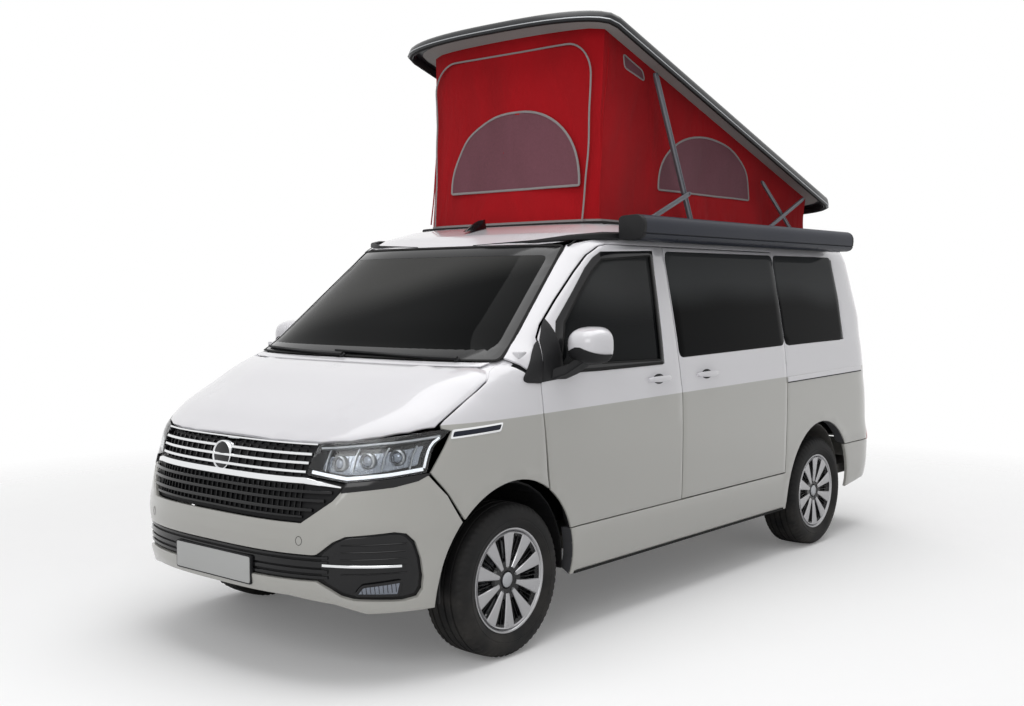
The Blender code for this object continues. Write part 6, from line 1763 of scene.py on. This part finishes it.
def tyreInto(bm, centre, sign):
    half, r = wheel["width"] / 2, wheel["radius"]
    right = [(r - 0.0010, 0.0), (r - 0.0010, 0.0145), (r - 0.008, 0.0165), (r - 0.008, 0.0235), (r - 0.0012, 0.0255),
             (r - 0.0020, 0.0535), (r - 0.009, 0.0555), (r - 0.009, 0.0625), (r - 0.0030, 0.0645),
             (r - 0.0045, half - 0.032), (r - 0.0085, half - 0.024), (r - 0.0145, half - 0.0165),
             (r - 0.022, half - 0.0105), (r - 0.033, half - 0.0050), (r - 0.046, half - 0.0014),
             (r - 0.058, half - 0.0002), (r - 0.068, half - 0.0012), (r - 0.0695, half - 0.0026),
             (r - 0.074, half - 0.0026), (r - 0.0755, half - 0.0015), (r - 0.088, half - 0.006),
             (r - 0.099, half - 0.0125), (wheel["rim"] + 0.0008, half - 0.0185)]
    profile = right + [(a, -b) for a, b in reversed(right[1:])]
    number = wheel["blocks"] * 3
    rings = []
    for i in range(number):
        angle = math.tau * i / number
        step = i % 3
        ring = []
        for radius, offset in profile:
            shoulder = abs(offset) > 0.066 and radius > r - 0.03
            middle = abs(offset) < 0.012
            cut = (0.0050 if shoulder else 0.0 if not middle else 0.0028) if step == 0 else 0.0
            turn = angle + (0.35 * offset if middle or shoulder else 0)
            ring.append(bm.verts.new((centre[0] + (radius - cut) * math.cos(turn), centre[1] + offset,
                                      centre[2] + (radius - cut) * math.sin(turn))))
        rings.append(ring)
    for i in range(number):
        bridge(bm, rings[i], rings[(i + 1) % number])


def wedge(bm, centre, sign, inner, outer, angle, low, high, front, depth):
    # A raised, slightly domed wedge between two radii of the wheel face.
    columns = []
    for r, spread in ((inner, low), (inner + (outer - inner) * 0.35, low + (high - low) * 0.35),
                      (inner + (outer - inner) * 0.7, low + (high - low) * 0.7), (outer, high)):
        row = []
        dish = front - 0.010 * (1 - (r - inner) / (outer - inner)) ** 1.6
        for share in (-1.0, -0.86, 0.0, 0.86, 1.0):
            a = angle + spread * share
            lift = dish - (0.0035 if abs(share) == 1 else 0.0) + (0.0012 if share == 0 else 0.0)
            row.append((r, a, lift))
        columns.append(row)
    position = lambda r, a, y: bm.verts.new((centre[0] + r * math.cos(a), centre[1] + sign * y,
                                           centre[2] + r * math.sin(a)))
    upperRows = [[position(*v) for v in row] for row in columns]
    lowerRows = [[position(r, a, front - depth) for r, a, _ in row] for row in columns]
    for grid in (upperRows, lowerRows):
        for first, second in zip(grid, grid[1:]):
            bridge(bm, first, second, False)
    for upper, lower in zip((upperRows[0], upperRows[-1]), (lowerRows[0], lowerRows[-1])):
        bridge(bm, upper, lower, False)
    for k in (0, -1):
        bridge(bm, [row[k] for row in upperRows], [row[k] for row in lowerRows], False)


for label, (x, y) in wheelSpots.items():
    sign = 1 if y > 0 else -1
    body = label + "_wheel"
    centre = (x, y, wheel["radius"])
    bm = bmesh.new()
    tyreInto(bm, centre, sign)
    piece(label + "TyreTread", bm, tyreRubber, body, label + "_tyre", sharp=28)
    bm = bmesh.new()
    r, half, face = wheel["rim"], wheel["rimWidth"] / 2, wheel["face"]
    barrel = [(r - 0.0008, half - 0.0008), (r + 0.0002, half - 0.003), (r - 0.004, half - 0.012),
              (r - 0.010, half - 0.018), (r - 0.014, half - 0.060), (r - 0.024, 0.0), (r - 0.024, -half + 0.03),
              (r - 0.004, -half + 0.004), (r - 0.001, -half + 0.001), (r - 0.010, -half + 0.001),
              (r - 0.030, -half + 0.03), (r - 0.030, 0.0), (r - 0.021, half - 0.060), (r - 0.019, half - 0.020),
              (r - 0.013, half - 0.0082), (r - 0.007, half - 0.0012)]
    latheInto(bm, [(a, sign * b) for a, b in barrel], 96, centre, closed=True)
    piece(label + "RimBarrel", bm, alloy, body, label + "_rim")
    bm = bmesh.new()
    count = wheel["spokes"]
    for i in range(count):
        angle = math.tau * (i + 0.5) / count
        wedge(bm, centre, sign, 0.060, 0.2135, angle, math.radians(9.0), math.radians(9.6), face + 0.0125, 0.018)
    latheInto(bm, [(0.2185, sign * (half - 0.0135)), (0.2185, sign * (face - 0.004)), (0.2075, sign * (face - 0.004)),
                   (0.2075, sign * (face + 0.0105)), (0.2130, sign * (face + 0.0140))], 96, centre, closed=True)
    piece(label + "RimFace", bm, alloy, body, sharp=28)
    bm = bmesh.new()
    latheInto(bm, [(0.2100, sign * (face + 0.003)), (0.2100, sign * (face - 0.018)), (0.188, sign * (face - 0.026)),
                   (0.188, sign * (face - 0.020)), (0.196, sign * (face - 0.002))], 96, centre, closed=True)
    latheInto(bm, [(0.086, sign * (face + 0.0005)), (0.094, sign * (face - 0.012)), (0.094, sign * (face - 0.026)),
                   (0.040, sign * (face - 0.026)), (0.040, sign * (face - 0.004))], 72, centre, closed=True)
    for i in range(count):
        angle = math.tau * i / count
        for shift in (-0.052, 0.052):
            a = angle + shift
            wedge(bm, centre, sign, 0.088, 0.200, a, math.radians(1.0), math.radians(0.55), face + 0.001, 0.022)
    piece(label + "RimInlay", bm, blackGloss, body)
    bm = bmesh.new()
    cap = [(0.001, face + 0.0060), (0.018, face + 0.0055), (0.029, face + 0.0035), (0.0335, face + 0.0005),
           (0.0345, face - 0.006), (0.0345, face - 0.024), (0.001, face - 0.024)]
    latheInto(bm, [(a, sign * b) for a, b in cap], 48, centre, closed=True)
    piece(label + "HubCap", bm, satinSteel, body)
    bm = bmesh.new()
    for i in range(5):
        a = math.tau * (i + 0.25) / 5
        spot = Vector((x + 0.060 * math.cos(a), y + sign * (face - 0.008), wheel["radius"] + 0.060 * math.sin(a)))
        latheInto(bm, [(0.001, 0.010), (0.008, 0.010), (0.0092, 0.0085), (0.0092, -0.006), (0.001, -0.006)], 6, spot,
                  (0, sign, 0), closed=True)
        latheInto(bm, [(0.0135, 0.001), (0.0105, -0.006), (0.0135, -0.008), (0.0155, 0.0)], 24, spot, (0, sign, 0),
                  closed=True)
    rodInto(bm, (x - 0.05, y + sign * 0.045, 0.550), (x - 0.052, y + sign * (face - 0.016), 0.548), 0.004, 10)
    piece(label + "WheelBolts", bm, greyCast, body)
    bm = bmesh.new()
    latheInto(bm, [(0.165, sign * 0.004), (0.165, sign * 0.014), (0.070, sign * 0.014), (0.070, sign * 0.030),
                   (0.058, sign * 0.030), (0.058, sign * 0.004)], 72, centre, closed=True)
    piece(label + "BrakeDisc", bm, satinSteel, body)
print("wheels done")

# Cabin

cabin = {"floor": 0.380, "bulkhead": -1.4523, "wheelSpot": (-0.930, 0.420, 1.090), "wheelTilt": (0.89, 0, 0.456)}


def padLoop(cx, cy, z, lengthX, lengthY, power=4.0, count=48):
    loop = []
    for i in range(count):
        a = math.tau * i / count
        c, s = math.cos(a), math.sin(a)
        loop.append(Vector((cx + math.copysign(abs(c) ** (2 / power), c) * lengthX / 2,
                            cy + math.copysign(abs(s) ** (2 / power), s) * lengthY / 2, z)))
    return loop


def cushion(name, position, lengthX, lengthY, height, cloth, channels=(), bolster=0.0):
    # A crowned pad: rings from the underside up over the crown; position sets it in the cabin.
    rows = []
    for share, inset in ((0.0, 0.030), (0.02, 0.012), (0.12, 0.003), (0.35, -0.001), (0.60, 0.001), (0.78, 0.008),
                         (0.90, 0.020), (0.96, 0.034)):
        rows.append(padLoop(0, 0, share * height, lengthX - 2 * inset, lengthY - 2 * inset))
    for k in range(1, 13):
        t = k / 12.5
        ring = padLoop(0, 0, 0.0, (lengthX - 0.068) * (1 - t), (lengthY - 0.068) * (1 - t), 4.0 - 1.2 * t)
        for p in ring:
            u, v = 2 * p.x / lengthX, 2 * p.y / lengthY
            p.z = height * (0.96 + 0.04 * math.sin(t * math.pi / 2)) + 0.006 * (1 - u * u) * (1 - v * v)
            p.z += bolster * max(abs(v) - 0.55, 0) * 1.8
            for where in channels:
                p.z -= 0.011 * math.exp(-((p.x - where) / 0.007) ** 2) * max(0, 1 - v ** 8)
            for where in (-0.27, 0.27):
                if bolster:
                    p.z -= 0.009 * math.exp(-((v / 2 - where) * lengthY / 0.007) ** 2) * max(0, 1 - u ** 8)
        rows.append(ring)
    bm = bmesh.new()
    loftInto(bm, [[position(p) for p in row] for row in rows])
    made = piece(name, bm, cloth, sharp=80, slot="seat_cloth")
    return made


def backPlace(cx, cy, cz, lean):
    c, s = math.cos(lean), math.sin(lean)

    def position(p):  # pad x runs up the back, pad z faces forwards
        up, padFront = p.x, p.z
        return Vector((cx + up * s - padFront * c, cy + p.y, cz + up * c + padFront * s))
    return position


for label, y in (("leftFrontSeat", -0.420), ("rightFrontSeat", 0.420)):
    node = "left_front_seat" if y < 0 else "right_front_seat"
    seatSpot = lambda p, y=y: Vector((-0.685 + p.x, y + p.y, 0.762 + p.z))
    base = cushion(label + "Cushion", seatSpot, 0.490, 0.495, 0.130, seatCloth, (-0.10, 0.02, 0.13), 0.016)
    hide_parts(node)
    cushion(label + "Backrest", backPlace(-0.383, y, 1.135, 0.216), 0.560, 0.480, 0.095, seatCloth,
            (-0.12, 0.0, 0.12), 0.016)
    cushion(label + "Headrest", backPlace(-0.247, y, 1.495, 0.14), 0.175, 0.250, 0.075, seatCloth)
    bm = bmesh.new()
    boxInto(bm, (-0.850, y - 0.19, 0.3806), (-0.530, y + 0.19, 0.700), 0.02)
    boxInto(bm, (-0.890, y - 0.215, 0.690), (-0.500, y + 0.215, 0.764), 0.012)
    for dy in (-0.055, 0.055):
        rodInto(bm, (-0.300, y + dy, 1.36), (-0.262, y + dy, 1.455), 0.006, 12)
    inner = math.copysign(1, -y)
    boxInto(bm, (-0.505, y + inner * 0.262 - 0.022, 0.965), (-0.230, y + inner * 0.262 + 0.022, 1.010), 0.014)
    piece(label + "Frame", bm, softBlack)

bench = lambda p: Vector((1.160 + p.x, -0.150 + p.y, 0.762 + p.z))
made = cushion("rearBenchCushion", bench, 0.515, 0.990, 0.132, seatPale, (-0.08, 0.09))
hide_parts("rear_bench")
cushion("rearBenchBackrest", backPlace(1.465, -0.150, 1.135, 0.216), 0.560, 0.980, 0.095, seatPale,
        (-0.12, 0.08))
bm = bmesh.new()
boxInto(bm, (0.960, -0.585, 0.3806), (1.340, 0.285, 0.764), 0.012)
piece("rearBenchBox", bm, paleBoard)

# Dashboard with cowl, vents and screen
bm = bmesh.new()
dashLine = [(-1.4515, 0.862), (-1.4515, 1.190), (-1.440, 1.206), (-1.380, 1.216), (-1.300, 1.217), (-1.200, 1.211),
            (-1.130, 1.200), (-1.095, 1.184), (-1.077, 1.160), (-1.076, 1.140), (-1.084, 1.090), (-1.110, 0.965),
            (-1.140, 0.920), (-1.230, 0.851), (-1.350, 0.851)]
rows = []
for y in np.linspace(-0.7645, 0.7645, 41):
    near = math.exp(-((y - 0.42) / 0.20) ** 4)
    edge = 1 - 0.10 * (abs(y) / 0.7645) ** 8
    rows.append([Vector((x + (0.012 * near if x > -1.2 else 0) - (1 - edge) * 0.25 * (1 if x > -1.3 else 0), y,
                         z + (0.0 if z < 1.1 else 0.030 * near * max(0, 1 - abs(x + 1.14) / 0.12))))
                 for x, z in dashLine])
loftInto(bm, rows)
piece("dashTop", bm, softBlack, "chassis", "dashboard")
bm = bmesh.new()
for y in (-0.66, -0.14, 0.14, 0.66):
    boxInto(bm, (-1.083, y - 0.055, 1.085), (-1.066, y + 0.055, 1.140), 0.006)
boxInto(bm, (-1.100, -0.115, 0.985), (-1.070, 0.115, 1.075), 0.008)
piece("dashPanels", bm, blackGloss)
bm = bmesh.new()
for y in (-0.66, -0.14, 0.14, 0.66):
    for z in (1.095, 1.106, 1.117, 1.128):
        boxInto(bm, (-1.067, y - 0.048, z - 0.0015), (-1.0635, y + 0.048, z + 0.0015), 0.0005)
for y in (-0.085, 0.0, 0.085):
    latheInto(bm, [(0.001, 0.0), (0.020, 0.0), (0.018, 0.016), (0.015, 0.019), (0.001, 0.020)], 28,
              (-1.099, y, 0.952), (1, 0, 0.1), closed=True)
piece("dashControls", bm, satinSteel)
bm = bmesh.new()
hub = Vector(cabin["wheelSpot"])
tilt = Vector(cabin["wheelTilt"]).normalized()
column = [(0.028, -0.205), (0.040, -0.200), (0.046, -0.150), (0.042, -0.112), (0.030, -0.1055), (0.001, -0.1055),
          (0.001, -0.205)]
latheInto(bm, column, 36, hub, tilt, closed=True)
across = Vector((0, 1, 0))
for way in (-1, 1):
    rodInto(bm, hub - tilt * 0.130 + across * way * 0.035, hub - tilt * 0.120 + across * way * 0.150, 0.008, 12,
            0.005)
piece("steeringColumn", bm, softBlack)
bm = bmesh.new()
ringShape = [(0.190 + 0.0148 * math.cos(a) * (1.0 if math.cos(a) > 0 else 0.8), 0.0140 * math.sin(a))
             for a in np.linspace(0, math.tau, 15)[:-1]]
latheInto(bm, ringShape, 96, hub, tilt, closed=True)
piece("steeringRim", bm, softBlack, "steering_wheel", "steering_wheel")
bm = bmesh.new()
latheInto(bm, [(0.001, 0.012), (0.040, 0.011), (0.062, 0.006), (0.070, -0.004), (0.066, -0.018), (0.034, -0.040),
               (0.032, -0.1045), (0.001, -0.1045)], 48, hub, tilt, closed=True)
upward = tilt.cross(across)
if upward.z < 0:
    upward = -upward
for way in (across, -across, -upward):
    widthways = tilt.cross(way)
    rows = []
    for t, wide, setBack in ((0.050, 0.024, -0.010), (0.100, 0.018, -0.010), (0.150, 0.016, -0.005),
                           (0.186, 0.020, 0.0)):
        rows.append([hub + way * t + widthways * (wide * a) + tilt * (setBack + 0.006 * b)
                     for a, b in ((-1, -0.6), (-0.8, -1), (0.8, -1), (1, -0.6), (1, 0.6), (0.8, 1), (-0.8, 1),
                                  (-1, 0.6))])
    loftInto(bm, rows)
piece("steeringHub", bm, softBlack, "steering_wheel")

# Kitchen unit: carcass, worktop, doors, pulls
bm = bmesh.new()
boxInto(bm, (-0.098, 0.4725, 0.3812), (1.018, 0.8335, 1.160), 0.006)
piece("kitchenCarcass", bm, paleBoard, "chassis", "kitchen_unit")
bm = bmesh.new()
boxInto(bm, (-0.0995, 0.4705, 1.158), (1.0195, 0.8345, 1.1795), 0.004)
piece("kitchenTop", bm, woodTop)
bm = bmesh.new()
for x, w in ((-0.085, 0.345), (0.275, 0.345), (0.635, 0.370)):
    boxInto(bm, (x, 0.4702, 0.420), (x + w, 0.4735, 0.900), 0.0012)
    boxInto(bm, (x, 0.4702, 0.912), (x + w, 0.4735, 1.140), 0.0012)
piece("kitchenDoors", bm, paleBoard)
bm = bmesh.new()
for x, w in ((-0.085, 0.345), (0.275, 0.345), (0.635, 0.370)):
    for z in (0.870, 1.110):
        boxInto(bm, (x + w / 2 - 0.045, 0.4701, z - 0.006), (x + w / 2 + 0.045, 0.4725, z + 0.006), 0.001)
piece("kitchenPulls", bm, satinSteel)
print("cabin done")

# Inner linings and running gear: the imported solids with finishes of their own. The body sides' dark grey is painted
# shade in the shut lines, where the real jambs are white; the doors' black and the sliding door's grey are their
# linings and also darken their shut lines as painted shade.

cadFinish = {
    "left_body_side": shutLineShade, "right_body_side": shutLineShade, "left_door": softBlack, "right_door": softBlack,
    "sliding_door": headlining, "front_structure": blackTrim, "floor_pan": floorSheet, "front_subframe": greyCast,
    "engine_block": greyCast, "rear_axle": greyCast, "left_knuckle": greyCast, "right_knuckle": greyCast,
}
for node, ownFinish in cadFinish.items():
    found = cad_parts[node]
    found.data.materials.clear()
    found.data.materials.append(ownFinish)

# Stage: pale floor that fades out into the white backdrop, soft lamps, camera

stage = {"floorSize": 60.0, "fadeFrom": 2.4, "fadeTo": 6.5, "key": 150.0, "top": 275.0, "fill": 4.0,
         "ambient": 0.40, "floorGlow": 0.11, "camera": (-5.418, -4.204, 1.613), "yaw": 40.22, "pitch": -3.04,
         "roll": -0.1, "lens": 41.11}
floorMaterial = bpy.data.materials.new("floorPaint")
floorMaterial.use_nodes = True
tree = floorMaterial.node_tree
shader = tree.nodes["Principled BSDF"]
shader.inputs["Roughness"].default_value = 0.9
speckle = add(tree, "TexNoise", (("Vector", spots(tree)), ("Scale", 1.3), ("Detail", 3.0))).outputs["Fac"]
tree.links.new(tint(tree, speckle, (0.93, 0.93, 0.935, 1), (0.96, 0.96, 0.965, 1)), shader.inputs["Base Color"])
seeThrough = add(tree, "BsdfTransparent")
away = add(tree, "VectorMath", ((0, spots(tree)),), operation="LENGTH").outputs["Value"]
fade = rampOf(tree, away, stage["fadeFrom"], stage["fadeTo"])
fading = add(tree, "MixShader", ((0, fade),))
glow = add(tree, "Emission", (("Strength", rampOf(tree, add(tree, "LightPath").outputs["Is Camera Ray"], 0.0, 1.0,
                                                 0.0, stage["floorGlow"])),))
lifted = add(tree, "AddShader", ((0, shader.outputs[0]), (1, glow.outputs[0])))
tree.links.new(lifted.outputs[0], fading.inputs[1])
tree.links.new(seeThrough.outputs[0], fading.inputs[2])
tree.links.new(fading.outputs[0], tree.nodes["Material Output"].inputs["Surface"])
bm = bmesh.new()
bmesh.ops.create_grid(bm, x_segments=12, y_segments=12, size=stage["floorSize"] / 2)
mesh = bpy.data.meshes.new("floorPlane")
bm.to_mesh(mesh)
bm.free()
mesh.materials.append(floorMaterial)
floor = bpy.data.objects.new("floorPlane", mesh)
bpy.context.scene.collection.objects.link(floor)

world = bpy.data.worlds.new("backdrop")
bpy.context.scene.world = world
world.use_nodes = True
tree = world.node_tree
background = tree.nodes["Background"]
background.inputs["Color"].default_value = (1, 1, 1, 1)
rays = add(tree, "LightPath").outputs
seen = sums(tree, "MAXIMUM", rays["Is Camera Ray"], sums(tree, "MAXIMUM", rays["Is Transmission Ray"],
                                                         rays["Is Glossy Ray"]))
tree.links.new(rampOf(tree, seen, 0.0, 1.0, stage["ambient"], 1.0), background.inputs["Strength"])


def softLamp(name, spot, target, size, power):
    data = bpy.data.lights.new(name, "AREA")
    data.shape, data.size, data.size_y, data.energy = "RECTANGLE", size[0], size[1], power
    lamp = bpy.data.objects.new(name, data)
    lamp.location = spot
    lamp.rotation_euler = (Vector(target) - Vector(spot)).to_track_quat("-Z", "Y").to_euler()
    bpy.context.scene.collection.objects.link(lamp)


softLamp("topLamp", (0.0, -0.5, 6.5), (0, 0, 0), (8.0, 5.0), stage["top"])
softLamp("keyLamp", (-8.0, -3.2, 4.6), (-0.5, 0, 1.2), (4.5, 3.5), stage["key"])
softLamp("fillLamp", (3.5, -8.0, 3.2), (0.8, 0, 1.2), (5.0, 3.0), stage["fill"])

camera = bpy.data.objects.new("mainCamera", bpy.data.cameras.new("mainCamera"))
camera.data.lens, camera.data.sensor_width = stage["lens"], 36.0
yaw, pitch = math.radians(stage["yaw"]), math.radians(stage["pitch"])
forward = Vector((math.cos(pitch) * math.cos(yaw), math.cos(pitch) * math.sin(yaw), math.sin(pitch)))
turned = forward.to_track_quat("-Z", "Y") @ Matrix.Rotation(math.radians(stage["roll"]), 3, "Z").to_quaternion()
camera.rotation_euler = turned.to_euler()
camera.location = stage["camera"]
bpy.context.scene.collection.objects.link(camera)
bpy.context.scene.camera = camera
bpy.context.scene.view_settings.view_transform = "Standard"

print("stage ready")
